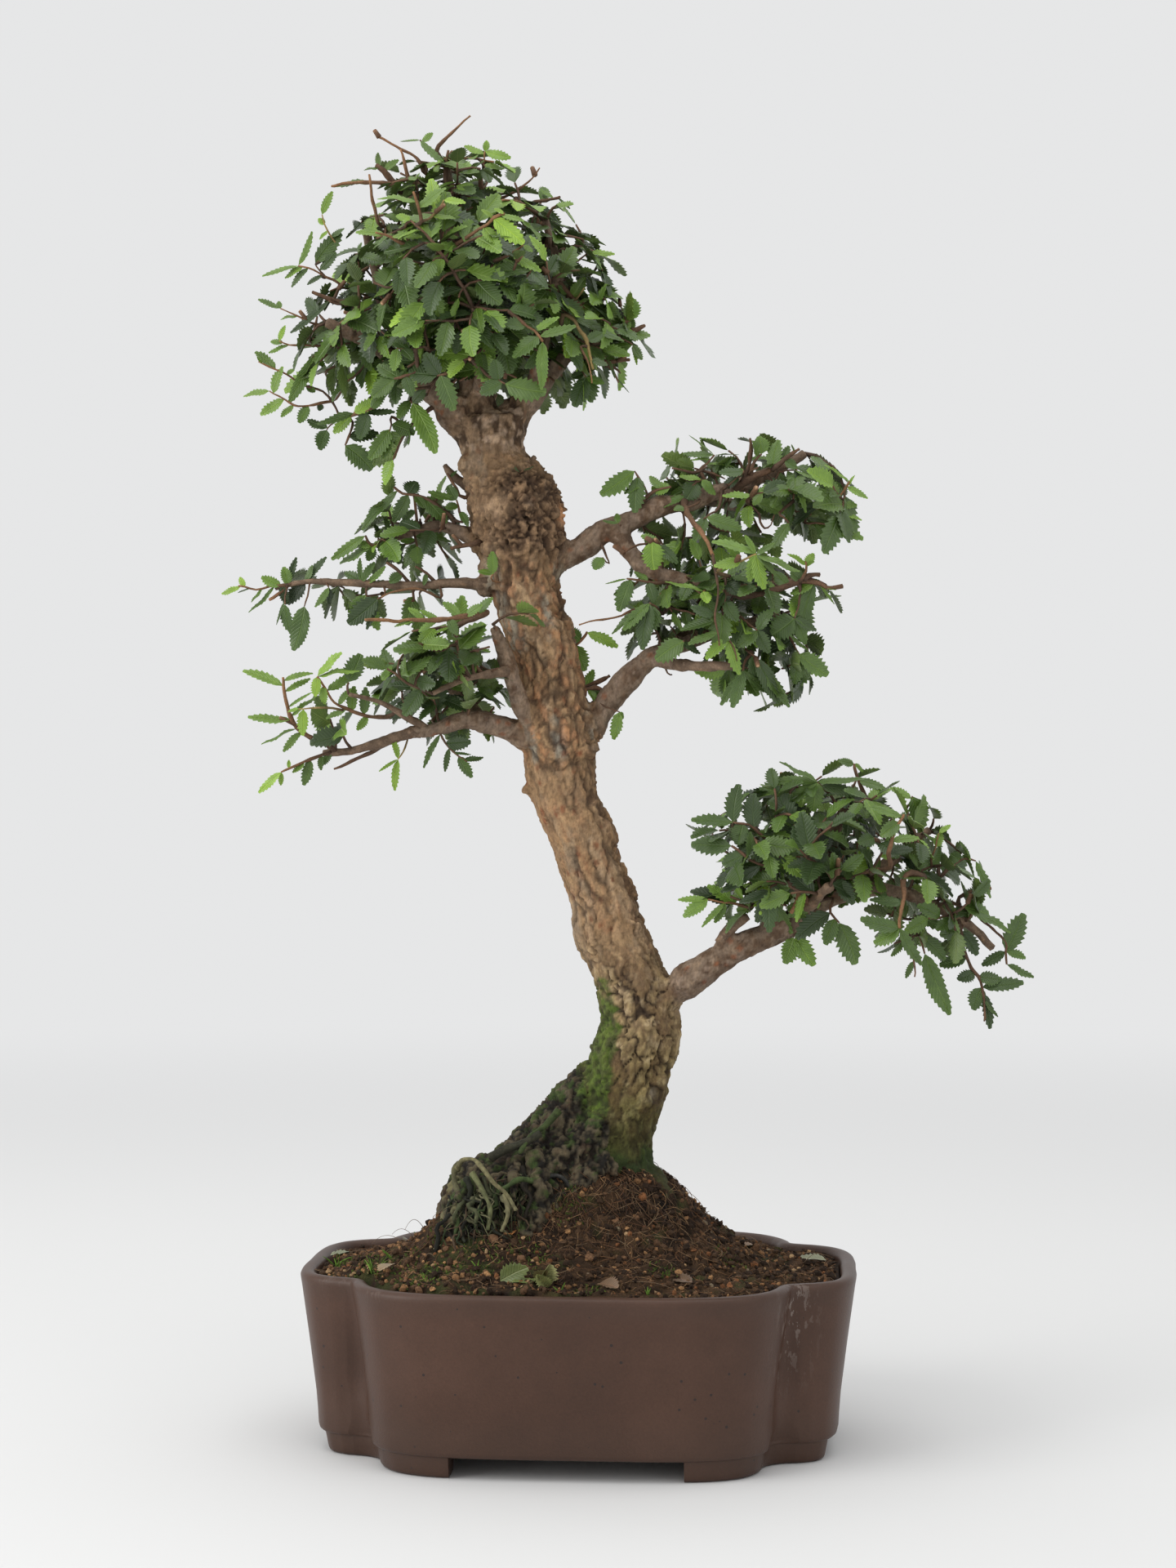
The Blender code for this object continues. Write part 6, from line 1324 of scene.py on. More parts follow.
        c = np.array(tone) * (1 + 0.75 * fbm(v / 1.6, 3, 89))[:, None]
        hair.add(world(v), f3, f4, np.clip(c, 0.004, 1))
    ho = hair.build("elm_fine_roots", BARK)
    for o in (lo, ho):
        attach(o, "root")
        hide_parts("elm_wood")


# ------------------------------------------------------------------ leaves


def half_width(a):
    return (a ** 0.58) * ((1 - a) ** 0.70) * 2.42


def leaf_template(stations, out, cut):
    """Flat leaf: along 0..1, across -1..1 and a kind of place; then the faces of both sides."""
    t = np.linspace(0, 1, stations)
    dt = t[1] - t[0]
    last = stations - 1
    verts, kind, idx = [], [], {}

    def put(key, a, b, k):
        idx[key] = len(verts)
        verts.append((a, b))
        kind.append(k)

    for i in range(stations):
        put(("m", i), t[i], 0.0, 0 if 0 < i < last else 2)
    for s in (-1, 1):
        for i in range(1, last):
            put(("n", s, i), t[i], s * half_width(t[i]) * 0.50, 1)
            put(("r", s, i), t[i] + 0.006, s * half_width(t[i]) * (0.92 if i == 1 else cut), 2)
        for i in range(last):
            ta = t[i] + dt * 0.60
            big = 0.88 if i == 0 else (1.03 if i == 1 else out)
            put(("t", s, i), ta + dt * 0.26, s * half_width(ta) * big, 2)
    top, low = [], []
    for s in (-1, 1):
        def tri(out, a, b, c):
            out.append((idx[a], idx[b], idx[c]) if s > 0 else (idx[a], idx[c], idx[b]))
        tri(top, ("m", 0), ("m", 1), ("n", s, 1))
        tri(top, ("m", 0), ("n", s, 1), ("t", s, 0))
        tri(top, ("t", s, 0), ("n", s, 1), ("r", s, 1))
        for i in range(1, last - 1):
            tri(top, ("m", i), ("m", i + 1), ("n", s, i + 1))
            tri(top, ("m", i), ("n", s, i + 1), ("n", s, i))
            tri(top, ("n", s, i), ("t", s, i), ("r", s, i))
            tri(top, ("n", s, i), ("n", s, i + 1), ("t", s, i))
            tri(top, ("t", s, i), ("n", s, i + 1), ("r", s, i + 1))
        tri(top, ("m", last - 1), ("m", last), ("n", s, last - 1))
        tri(top, ("n", s, last - 1), ("t", s, last - 1), ("r", s, last - 1))
        tri(top, ("n", s, last - 1), ("m", last), ("t", s, last - 1))
        for i in range(last):
            ra = ("r", s, i) if i else ("m", 0)
            rb = ("r", s, i + 1) if i + 1 < last else ("m", last)
            tri(low, ("m", i), ("m", i + 1), ("t", s, i))
            if i:
                tri(low, ("m", i), ("t", s, i), ra)
            if i + 1 < last:
                tri(low, ("m", i + 1), rb, ("t", s, i))
    verts, kind, top, low = np.array(verts), np.array(kind), np.array(top), np.array(low)
    n = len(verts)
    under_of = np.where(kind != 1)[0]      # the under side has the rim and midrib only
    under = np.zeros(n, int)
    under[under_of] = n + np.arange(len(under_of))
    return (verts, kind, n, under_of, np.concatenate([top, under[low][:, ::-1]]),
            (kind[under_of] == 0)[:, None])


SMALL_LEAF = leaf_template(9, 1.12, 0.81)
LARGE_LEAF = leaf_template(13, 1.08, 0.87)


def unit(v):
    v = np.asarray(v, float)
    return v / (np.linalg.norm(v) + 1e-12)


def add_leaf(buf, base, d, n, length, width, rng, col, young=0.0, curl=None, fold=None, back=1.0):
    """One leaf: base point (mm, tree frame), direction, upper-side normal."""
    d = unit(d)
    n = unit(n - d * n.dot(d))
    s = np.cross(n, d)
    LV, LK, LN, UNDER_OF, LEAF_TRIS, MIDRIB = LARGE_LEAF if length > 15.5 else SMALL_LEAF
    a, b = LV[:, 0], LV[:, 1]
    fold = rng.uniform(0.10, 0.50) if fold is None else fold
    bend = rng.uniform(-0.04, 0.26) if curl is None else curl
    twist = rng.uniform(-0.45, 0.45)
    skew = rng.uniform(-0.12, 0.12)
    wave = rng.uniform(0.0, 0.045)
    ph = rng.uniform(0, 6)
    x = length * (a - 0.06 * abs(bend) * a ** 2)
    y = width * b * 0.5 * (1 + 0.10 * (1 if rng.random() < 0.5 else -1) * np.sign(b))
    z = (np.abs(y) * fold - bend * length * a ** 2 * 0.9 + wave * length * np.sin(a * 9 + ph) * np.abs(b)
         + width * 0.045 * (LK == 1))
    ang = twist * a
    y2 = y * np.cos(ang) - z * np.sin(ang) + skew * length * a * (1 - a) * 1.5
    z2 = y * np.sin(ang) + z * np.cos(ang)
    pts = base + x[:, None] * d + y2[:, None] * s + z2[:, None] * n
    low = pts[UNDER_OF] - n * 0.20 * MIDRIB
    top = np.asarray(col) * (1 + rng.uniform(-0.18, 0.18))
    c = np.tile(top, (LN, 1))
    c *= (1.06 - 0.12 * np.abs(b))[:, None]
    # painted highlight: the margin and the midrib's two ends are made lighter, as the toothed margins catch light
    c[LK == 2] *= 1.15
    under = (top * 0.45 + np.array([0.135, 0.185, 0.060]) * 0.6) * back
    cu = np.tile(under, (len(UNDER_OF), 1))
    det = np.stack([a, b, np.full(LN, young)], axis=1)
    buf.add(world(np.concatenate([pts, low])), LEAF_TRIS, None, np.concatenate([c, cu]),
            np.concatenate([det, det[UNDER_OF]]))


# leaf colours from old to new, linear
TONES = np.array([[0.017, 0.033, 0.010], [0.034, 0.066, 0.014], [0.063, 0.117, 0.018],
                  [0.116, 0.208, 0.026], [0.182, 0.312, 0.034], [0.250, 0.400, 0.046]])


def leaf_tone(k):
    k = min(max(k, 0.0), len(TONES) - 1.001)
    i = int(k)
    return TONES[i] * (1 - (k - i)) + TONES[i + 1] * (k - i)


TR = catmull(TRUNK, 4.0)


def trunk_gap(p):
    """Clear distance from the trunk's skin (mm)."""
    return float((np.sqrt(((TR[:, :3] - p) ** 2).sum(axis=1)) - TR[:, 3]).min())


def seen(px, py, w):
    """Place in the tree's frame that the camera sees at this place of the picture, at depth w."""
    k = (966.0 + w) / 3447.0
    return np.array([(px - 720.0) * k, w, 224.0 - (py - 960.0) * k])


class Pad:
    """Twigs grown from the wood towards points in a pad, with leaves on them."""

    def __init__(self, name, seed):
        self.name = name
        self.rng = random.Random(seed)
        self.leaves = Buf()
        self.twigs = Buf()
        self.count = 0
        self.pos = []        # every place a twig may start from
        self.run = []
        self.rad = []
        self.age = []
        self.core = None
        self.bare = np.zeros((0, 4))

    def keep_bare(self, spans):
        """Stretches of wood that leaves don't cover: picture place, depth, radius in the picture."""
        rows = []
        for run, lo, hi in spans:
            for q in catmull(run, 2.0):
                if lo <= q[0] <= hi:
                    k = 3447.0 / (966.0 + q[1])
                    rows.append((720 + q[0] * k, 960 - (q[2] - 224.0) * k, q[1], q[3] * k))
        self.bare = np.array(rows).reshape(-1, 4)

    def covers(self, p, d, length):
        """Whether a leaf would stand in front of the wood that stays in sight."""
        if not len(self.bare):
            return False
        for f in (0.1, 0.4, 0.7, 1.0):
            q = p + d * length * f
            k = 3447.0 / (966.0 + q[1])
            px, py = 720 + q[0] * k, 960 - (q[2] - 224.0) * k
            wide = length * k * (0.20 if 0.2 < f < 0.9 else 0.02)
            near = np.hypot(self.bare[:, 0] - px, self.bare[:, 1] - py) < self.bare[:, 3] + wide
            if (near & (self.bare[:, 2] > q[1])).any():
                return True
        return False

    def seed_wood(self, rows_list, skip=0.22):
        for rows in rows_list:
            s = catmull(rows, 2.5)
            t, _, _ = frames_along(s[:, :3])
            first = int(len(s) * skip)
            for i in range(first, len(s)):
                self.pos.append(s[i, :3])
                self.run.append(t[i])
                self.rad.append(s[i, 3])
                self.age.append(0)

    def twig(self, path, rad, young, sides=6):
        t = np.linspace(0, 1, len(path))
        v, f3, f4 = sweep(path, rad, sides)
        ring = v[:len(path) * sides]
        mid = np.repeat(np.asarray(path, float), sides, axis=0)
        v[:len(ring)] = mid + (ring - mid) * (1 + 0.24 * vnoise(ring / 1.3, 78) + 0.14 * vnoise(mid / 2.6, 79))[:, None]
        old = np.array([0.066, 0.041, 0.027])
        new = np.array([0.36, 0.27, 0.10]) if young >= 3.4 else (
            np.array([0.250, 0.130, 0.062]) if young >= 1.8 else np.array([0.135, 0.074, 0.042]))
        mixk = np.concatenate([np.repeat(t, sides), [0, 1]])[:, None]
        c = old * (1 - mixk) + new * mixk
        c = c * (1 + 0.35 * vnoise(v / 1.1, 77))[:, None]
        self.twigs.add(world(v), f3, f4, c)

    def grow(self, goal, leafy=1.0, young=0.0, spacing=4.0, size=1.0, centre=None, droop=0.0,
             bare=False):
        rng = self.rng
        goal = np.asarray(goal, float)
        P = np.array(self.pos)
        d = np.sqrt(((P - goal) ** 2).sum(axis=1)) + np.array(self.age) * 1.2
        k = int(np.argmin(d))
        base = P[k]
        run = self.run[k]
        gap = goal - base
        length = np.linalg.norm(gap)
        if length < 3.0:
            return
        m = max(4, int(length / 2.4))
        t = np.linspace(0, 1, m)[:, None]
        side = np.array([rng.uniform(-1, 1), rng.uniform(-1, 1), rng.uniform(-0.3, 1.0)])
        bow = rng.uniform(0.03, 0.14) * length
        path = base + gap * t + (side * bow * 0.7 + run * 0.12 * length) * (4 * t * (1 - t)) * (1 - 0.35 * t)
        path[:, 2] -= (droop * length * t[:, 0] ** 2)
        kink = np.array([[rng.uniform(-0.5, 0.5) for _ in range(3)] for _ in range(m)])
        kink[0] = 0
        path = path + kink * 0.55 * min(1.0, length / 12.0)
        r0 = min(max(0.62, 0.46 + 0.016 * length), max(0.5, self.rad[k] * 0.8))
        rad = r0 + (0.34 - r0) * t[:, 0] ** 0.8
        self.twig(path, rad, young)
        run_t = np.gradient(path, axis=0)
        run_t /= np.linalg.norm(run_t, axis=1)[:, None]
        for i in range(1, m):
            if i % 2 == 0 or i == m - 1:
                self.pos.append(path[i])
                self.run.append(run_t[i])
                self.rad.append(rad[i])
                self.age.append(self.age[k] + 1 + (3 if i > m * 0.7 else 0))
        if not bare:
            self.leaf_rows(path, run_t, leafy, young, spacing, size, centre)

    def leaf_rows(self, path, run_t, leafy, young, spacing, size, centre):
        """Leaves in two rows along the outer part of a twig, and one at its end."""
        rng = self.rng
        m = len(path)
        seg = np.sqrt((np.diff(path, axis=0) ** 2).sum(axis=1))
        s = np.concatenate([[0], np.cumsum(seg)])
        total = s[-1]
        at = total
        hand = 1 if rng.random() < 0.5 else -1
        first = True
        least = max(0.0, total * 0.05 if total < 16 else total * 0.2)
        up = np.array([0.0, 0.0, 1.0])
        while at > least:
            i = min(max(int(np.searchsorted(s, at)), 1), m - 1)
            f = (at - s[i - 1]) / max(seg[i - 1], 1e-6)
            p = path[i - 1] * (1 - f) + path[i] * f
            fw = run_t[i]
            if rng.random() < leafy:
                out = up * 1.0
                if centre is not None:
                    out = up * 0.62 + unit(p - centre) * 0.90
                out = unit(out + np.array([rng.gauss(0, 0.36), rng.gauss(0, 0.36), rng.gauss(0, 0.20)]))
                sd = unit(np.cross(fw, out))
                spread = math.radians(rng.uniform(38, 68)) if not first else math.radians(rng.uniform(-16, 16))
                dr = fw * math.cos(spread) + sd * hand * math.sin(spread)
                dr = unit(dr + np.array([0, 0, -rng.uniform(0.0, 0.50)]))
                near_tip = 1 - min(1.0, (total - at) / 14.0)
                ln = rng.uniform(9.8, 15.2) * size * (1.0 - 0.25 * near_tip * rng.random())
                if rng.random() < 0.15:
                    ln *= 0.75
                wd = ln * rng.uniform(0.50, 0.64)
                if (trunk_gap(p + dr * ln) > 1.5 and trunk_gap(p + dr * ln * 0.5) > 1.5
                        and not self.covers(p, dr, ln)):
                    tone = rng.choice((0.2, 0.5, 0.8, 1, 1.2, 1.5, 1.8, 2.2, 2.7)) + young * (0.45 + 0.55 * near_tip)
                    # painted shade and light: leaves deep in the pad's core are darker, those on its outside lighter
                    if self.core is not None:
                        painted_shade_depth = float(np.linalg.norm((p + dr * ln * 0.5 - self.core[0]) / self.core[1]))
                        tone += min(max(1.2 * (painted_shade_depth - 0.80), -0.7), 0.35)
                    if rng.random() < 0.06:
                        tone += 1.2
                    add_leaf(self.leaves, p + dr * 0.2, dr, out, ln, wd, rng, leaf_tone(tone), tone)
                    self.count += 1
            if not first:
                hand = -hand
            first = False
            at -= spacing * rng.uniform(0.8, 1.25)

    def trace(self, points, leaves, radius, young):
        """A shoot that is seen clearly in the picture: its run, then each of its leaves."""
        rng = self.rng
        line = np.array([seen(*p) for p in points])
        P = np.array(self.pos)
        k = int(np.argmin(((P - line[0]) ** 2).sum(axis=1)))
        gap = P[k] - line[0]
        if np.linalg.norm(gap) > 1.5:
            line = np.concatenate([[P[k]], line])
        rows = np.column_stack([line, np.full(len(line), radius)])
        s = catmull(rows, 1.6)
        path = s[:, :3]
        k_ = np.arange(len(path)) * 1.6
        path = path + np.stack([vnoise(np.stack([k_ / 3.5, np.full(len(path), j * 5.1), np.full(len(path), line[0][0])],
                                                axis=1), 61) for j in range(3)], axis=1) * 0.35
        t = np.linspace(0, 1, len(path))
        rad = radius * (1 - 0.55 * t) * (1 + 0.20 * vnoise(np.stack([k_ / 2.4, t * 0 + line[0][0], t * 0], axis=1), 62))
        self.twig(path, rad, young, 7)
        run_t, _, _ = frames_along(path)
        for i in range(1, len(path)):
            if i % 2 == 0:
                self.pos.append(path[i])
                self.run.append(run_t[i])
                self.rad.append(rad[i])
                self.age.append(2)
        for bx, by, tx, ty, wide, tilt, tone in leaves:
            # the leaf starts at the place on the twig that is seen nearest to its foot
            scale = 3447.0 / (966.0 + path[:, 1])
            px = 720 + path[:, 0] * scale
            py = 960 - (path[:, 2] - 224.0) * scale
            i = int(np.argmin((px - bx) ** 2 + (py - by) ** 2))
            base = path[i]
            dw = rng.uniform(-2.5, 2.5)
            tip = seen(tx, ty, base[1] + dw)
            d = tip - base
            ln = np.linalg.norm(d)
            a = math.radians(tilt)
            n = np.array([rng.gauss(0, 0.12), -math.cos(a), math.sin(a)])
            add_leaf(self.leaves, base, d, n, ln, wide * 0.2802 * (966 + base[1]) / 966, rng,
                     leaf_tone(tone), tone, curl=rng.uniform(-0.04, 0.10), fold=rng.uniform(0.05, 0.25))
            self.count += 1

    def stub(self, k, length=6.0):
        """A cut twig: a short bare stub with a pale end."""
        rng = self.rng
        base, run, r = self.pos[k], self.run[k], self.rad[k]
        d = unit(np.array([rng.uniform(-1, 1), rng.uniform(-1, 1), rng.uniform(-0.2, 1.2)]) + run * 0.8)
        end = base + d * (r + length)
        path = np.stack([base, (base + end) / 2 + d * 0.3, end])
        rad = np.array([0.95, 0.8, 0.72]) * rng.uniform(0.8, 1.15)
        v, f3, f4 = sweep(path, rad, 7)
        c = np.tile(np.array([0.120, 0.066, 0.038]), (len(v), 1))
        c[14:21] = (0.20, 0.11, 0.06)
        c[-1] = (0.55, 0.36, 0.22)
        self.twigs.add(world(v), f3, f4, c)


def blob_points(rng, blobs):
    """Tips in the ellipsoids, kept apart and mostly towards the outside."""
    pts = []
    for centre, half, want in blobs:
        got, tries = 0, 0
        gap = 0.78 * (4.19 * half[0] * half[1] * half[2] / max(want, 1)) ** (1 / 3)
        while got < want and tries < want * 80:
            tries += 1
            v = unit([rng.gauss(0, 1) for _ in range(3)])
            rr = rng.random() ** 0.36
            p = np.array(centre) + v * rr * np.array(half)
            if trunk_gap(p) < 7:
                continue
            g = gap * (0.72 if tries > want * 25 else 1.0)
            if all(np.linalg.norm(p - q) > g for q in pts):
                pts.append(p)
                got += 1
    return pts


def make_foliage():
    total = 0
    for i, (name, spec) in enumerate(PADS.items()):
        pad = Pad(name, 300 + i)
        pad.seed_wood(spec["wood"])
        big = max(spec["blobs"], key=lambda b: b[2])
        centre = np.array(big[0], float) - np.array([0, 0, big[1][2] * 0.5])
        # the core serves only to paint shade on the leaves deep inside a pad and light on the outer ones
        pad.core = (np.array(big[0], float), np.array(big[1], float))
        pad.keep_bare(BARE.get(name, []))
        for tip, young, size in HEROES.get(name, []):
            pad.grow(tip, young=young * 4, size=size, centre=centre, spacing=4.2)
        pts = blob_points(pad.rng, spec["blobs"])
        P = np.array(pad.pos)
        pts.sort(key=lambda q: float(((P - q) ** 2).sum(axis=1).min()))
        for q in pts:
            h = (q[2] - big[0][2]) / big[1][2]
            young = pad.rng.choice([0, 0, 0, 0.3, 0.6, 1.2]) + (0.5 if h > 0.5 else 0)
            pad.grow(q, young=young, size=0.98 - (0.12 if h > 0.6 else 0), centre=centre)
        for points, leaves, radius, young in TRACED.get(name, []):
            pad.trace(points, leaves, radius, young)
        for _ in range(max(3, len(pts) // 6)):
            pad.stub(pad.rng.randrange(len(pad.pos)), pad.rng.uniform(2.0, 6.0))
        nodes = [n for n in frame["nodes"] if n.startswith(name + "_shoot")]
        lo = pad.leaves.build(name + "_leaves", LEAF)
        tw = pad.twigs.build(name + "_twigs", TWIG)
        for ob in (lo, tw):
            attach(ob, "root")
            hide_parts(*nodes)
        total += pad.count
    pad = Pad("trunk_sprouts", 340)
    pad.seed_wood([TRUNK], 0.3)
    pad.rad = [r * 0.4 for r in pad.rad]
    for points, leaves, radius, young in TRACED["trunk_sprouts"]:
        pad.trace(points, leaves, radius, young)
    for ob, name in ((pad.leaves.build("trunk_sprouts_leaves", LEAF), "elm_leaf"),
                     (pad.twigs.build("trunk_sprouts_twigs", TWIG), "bark")):
        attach(ob, "root")
    total += pad.count
    print("leaves in all", total)


# ------------------------------------------------------------------ pot
def outline(steps, inset, notch=0.0):
    q = catmull([(x, y, 0.0) for x, y in RIM_QUARTER], 99)
    rows = np.array([(x, y, 0.0) for x, y in RIM_QUARTER], float)
    if notch:
        w = np.exp(-(((rows[:, 0] - 72.6) ** 2 + (rows[:, 1] - 43.8) ** 2) / 2.7 ** 2))
        rows[:, :2] -= np.array([0.75, 0.66]) * (w * notch)[:, None]
    out = []
    n = len(rows)
    # the quarter goes on past both ends by symmetry, so the curve has no kink there
    ext = np.concatenate([[rows[1] * [1, -1, 1]], rows, [rows[-2] * [-1, 1, 1]]])
    for i in range(1, n):
        p0, p1, p2, p3 = ext[i - 1], ext[i], ext[i + 1], ext[i + 2]
        t = (np.arange(steps) / steps)[:, None]
        out.append(0.5 * ((2 * p1) + (p2 - p0) * t + (2 * p0 - 5 * p1 + 4 * p2 - p3) * t * t
                          + (3 * p1 - p0 - 3 * p2 + p3) * t ** 3))
    quarter = np.concatenate(out + [rows[-1:]])[:, :2]
    ring = np.concatenate([quarter, quarter[:-1][::-1] * [-1, 1], quarter[1:] * [-1, -1],
                           quarter[1:-1][::-1] * [1, -1]])
    run = np.roll(ring, -1, axis=0) - np.roll(ring, 1, axis=0)
    inward = np.stack([-run[:, 1], run[:, 0]], axis=1)
    inward /= np.linalg.norm(inward, axis=1)[:, None]
    return ring + inward * inset


WALL = [(7.0, 12.0), (7.0, 8.2), (7.2, 7.2), (7.8, 6.5), (9.0, 6.2), (14.0, 5.9), (20.0, 5.4),
        (27.0, 4.5), (34.0, 3.6), (40.0, 2.8), (47.0, 1.8), (52.0, 1.1), (55.5, 0.6), (57.6, 0.25),
        (58.9, 0.1), (59.8, 0.45), (60.3, 1.1), (60.55, 1.9), (60.6, 2.6), (60.5, 3.4), (60.2, 4.2),
        (59.5, 4.9), (58.4, 5.3), (56.0, 5.5), (50.0, 6.0), (40.0, 7.2), (30.0, 8.5), (20.0, 9.8),
        (16.0, 10.8), (14.0, 12.4), (13.2, 14.5), (13.0, 18.0)]


def make_pot():
    steps = 7
    rings = []
    for z, inset in WALL:
        notch = 2.3 * (1 - min(1.0, max(0.0, (z - 26) / 32.0))) if z > 7.5 else 1.2
        if inset > 5.2:
            notch = 0.0 if z > 12 else notch
        ring = outline(steps, inset, notch)
        rings.append(np.column_stack([ring, np.full(len(ring), z)]))
    n = len(rings[0])
    v = np.concatenate(rings)
    m = len(rings)
    i = np.arange(m - 1)[:, None] * n
    k = np.arange(n)[None, :]
    k2 = (k + 1) % n
    f4 = np.stack([i + k, i + k2, i + n + k2, i + n + k], axis=-1).reshape(-1, 4)
    # marks held in vertex colour: chalk in red, darkening in green
    base = Buf()
    c = np.zeros((len(v), 3))
    gro = np.exp(-(((v[:, 0] - 72) / 7.0) ** 2 + ((v[:, 1] + 44) / 8.0) ** 2))
    c[:, 0] = gro * smooth01(v[:, 2], 18, 50) * 0.9
    c[:, 0] += 0.25 * smooth01(v[:, 2], 56.5, 60.0) * smooth01(fbm(v / 22.0, 3, 401), 0.05, 0.4)
    inside = (np.arange(len(v)) // n) >= 23
    # painted shade: the outer wall just under the rim lip is darkened through the green channel
    lip = 0.30 * smooth01(v[:, 2], 52.0, 57.0)
    c[:, 1] = np.where(inside, 0.7, 0.42 * (1 - smooth01(v[:, 2], 7, 26)) + lip)
    # caps
    lowc, topc = len(v), len(v) + 1
    v = np.concatenate([v, [[0, 0, 7.0]], [[0, 0, 13.0]]])
    c = np.concatenate([c, [[0, 0.3, 0]], [[0, 0.7, 0]]])
    kk = np.arange(n)
    f3 = np.concatenate([np.stack([np.full(n, lowc), (kk + 1) % n, kk], axis=1),
                         np.stack([np.full(n, topc), (m - 1) * n + kk, (m - 1) * n + (kk + 1) % n], axis=1)])
    base.add(pot_world(v), f3, f4, c)
    ob = base.build("pot_fired", POT)
    # drain holes
    for x in (-38.0, 38.0):
        hole = Buf()
        ang = np.arange(40) * 2 * math.pi / 40
        ring = np.stack([x + 8 * np.cos(ang), 8 * np.sin(ang)], axis=1)
        hv = np.concatenate([np.column_stack([ring, np.full(40, -5.0)]),
                             np.column_stack([ring, np.full(40, 25.0)]), [[x, 0, -5.0], [x, 0, 25.0]]])
        j = np.arange(40)
        j2 = (j + 1) % 40
        hole.add(pot_world(hv), np.concatenate([np.stack([np.full(40, 80), j2, j], axis=1),
                                                np.stack([np.full(40, 81), 40 + j, 40 + j2], axis=1)]),
                 np.stack([j, j2, 40 + j2, 40 + j], axis=1))
        cut = hole.build("drain_cut", POT)
        mod = ob.modifiers.new("hole", 'BOOLEAN')
        mod.operation = 'DIFFERENCE'
        mod.solver = 'EXACT'
        mod.object = cut
        deps = bpy.context.evaluated_depsgraph_get()
        me = bpy.data.meshes.new_from_object(ob.evaluated_get(deps))
        ob.modifiers.clear()
        ob.data = me
        bpy.data.objects.remove(cut, do_unlink=True)
    me = ob.data
    me.polygons.foreach_set("use_smooth", np.ones(len(me.polygons), bool))
    # keep the flat underside crisp
    for poly in me.polygons:
        nz = abs(poly.normal.z)
        if nz > 0.999 and poly.center.z < 0.0135:
            poly.use_smooth = False
    # four corner feet, each a band that follows the corner
    feet = Buf()
    section = [(7.9, 8.6), (8.2, 6.0), (8.9, 2.6), (9.25, 1.2), (9.7, 0.45), (10.4, 0.05), (11.2, 0.0),
               (20.8, 0.0), (21.6, 0.1), (22.3, 0.6), (22.7, 1.6), (22.8, 8.6)]
    lines = [outline(8, ins, 0.6 if ins < 14 else 0.0) for ins, _ in section]
    full = len(lines[0])
    quarter = np.arange(0, full // 4 + 1)
    outer = outline(8, 9.0)
    keep = [k for k in quarter if outer[k][0] >= 38.0 and outer[k][1] >= 25.0]
    arc = np.stack([np.column_stack([line[keep], np.full(len(keep), z)])
                    for line, (_, z) in zip(lines, section)])
    # square off the two ends, with a small rounding
    for end, axis, lim in ((0, 1, 25.0), (-1, 0, 38.0)):
        arc[:, end, axis] = lim
    sc, sa = arc.shape[0], arc.shape[1]
    for sx, sy in ((1, 1), (-1, 1), (-1, -1), (1, -1)):
        pts = arc.transpose(1, 0, 2).reshape(-1, 3) * np.array([sx, sy, 1])
        ii = np.arange(sa - 1)[:, None] * sc
        kk = np.arange(sc)[None, :]
        kk2 = (kk + 1) % sc
        q = np.stack([ii + kk, ii + kk2, ii + sc + kk2, ii + sc + kk], axis=-1).reshape(-1, 4)
        cen = [pts[:sc].mean(axis=0), pts[-sc:].mean(axis=0)]
        kk = np.arange(sc)
        t3 = np.concatenate([np.stack([np.full(sc, sa * sc), (kk + 1) % sc, kk], axis=1),
                             np.stack([np.full(sc, sa * sc + 1), (sa - 1) * sc + kk,
                                       (sa - 1) * sc + (kk + 1) % sc], axis=1)])
        if sx * sy > 0:
            q, t3 = q[:, ::-1], t3[:, ::-1]
        vv = np.concatenate([pts, cen])
        feet.add(pot_world(vv), t3, q, np.tile([0.0, 0.45, 0.0], (len(vv), 1)))
    fo = feet.build("pot_feet", POT)
    bev = fo.modifiers.new("soft_edges", 'BEVEL')
    bev.width = 0.0005
    bev.segments = 2
    bev.limit_method = 'ANGLE'
    bev.angle_limit = math.radians(50)
    for o in (ob, fo):
        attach(o, "root")
        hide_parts("pot")


# ------------------------------------------------------------------ soil
def soil_top(x, y):
    """Detailed height and a tone for the surface."""
    p = np.stack([x, y, np.zeros_like(x)], axis=1)
    h = soil_height(x, y)
    n1 = fbm(p / 11.0, 4, 201, 0.55)
    n2 = fbm(p / 3.2, 4, 202, 0.6)
    n3 = fbm(p / 1.1, 3, 203, 0.6)
    # peat heaped against the crook of the roots
    heap = 7.5 * np.exp(-(((x + 3.0) / 13.0) ** 2 + ((y + 13.0) / 10.0) ** 2))
    heap += 3.0 * np.exp(-(((x + 40.0) / 12.0) ** 2 + ((y + 20.0) / 14.0) ** 2))
    return h + heap + 1.7 * n1 + 1.5 * n2 + 0.7 * n3, n1, n2, n3


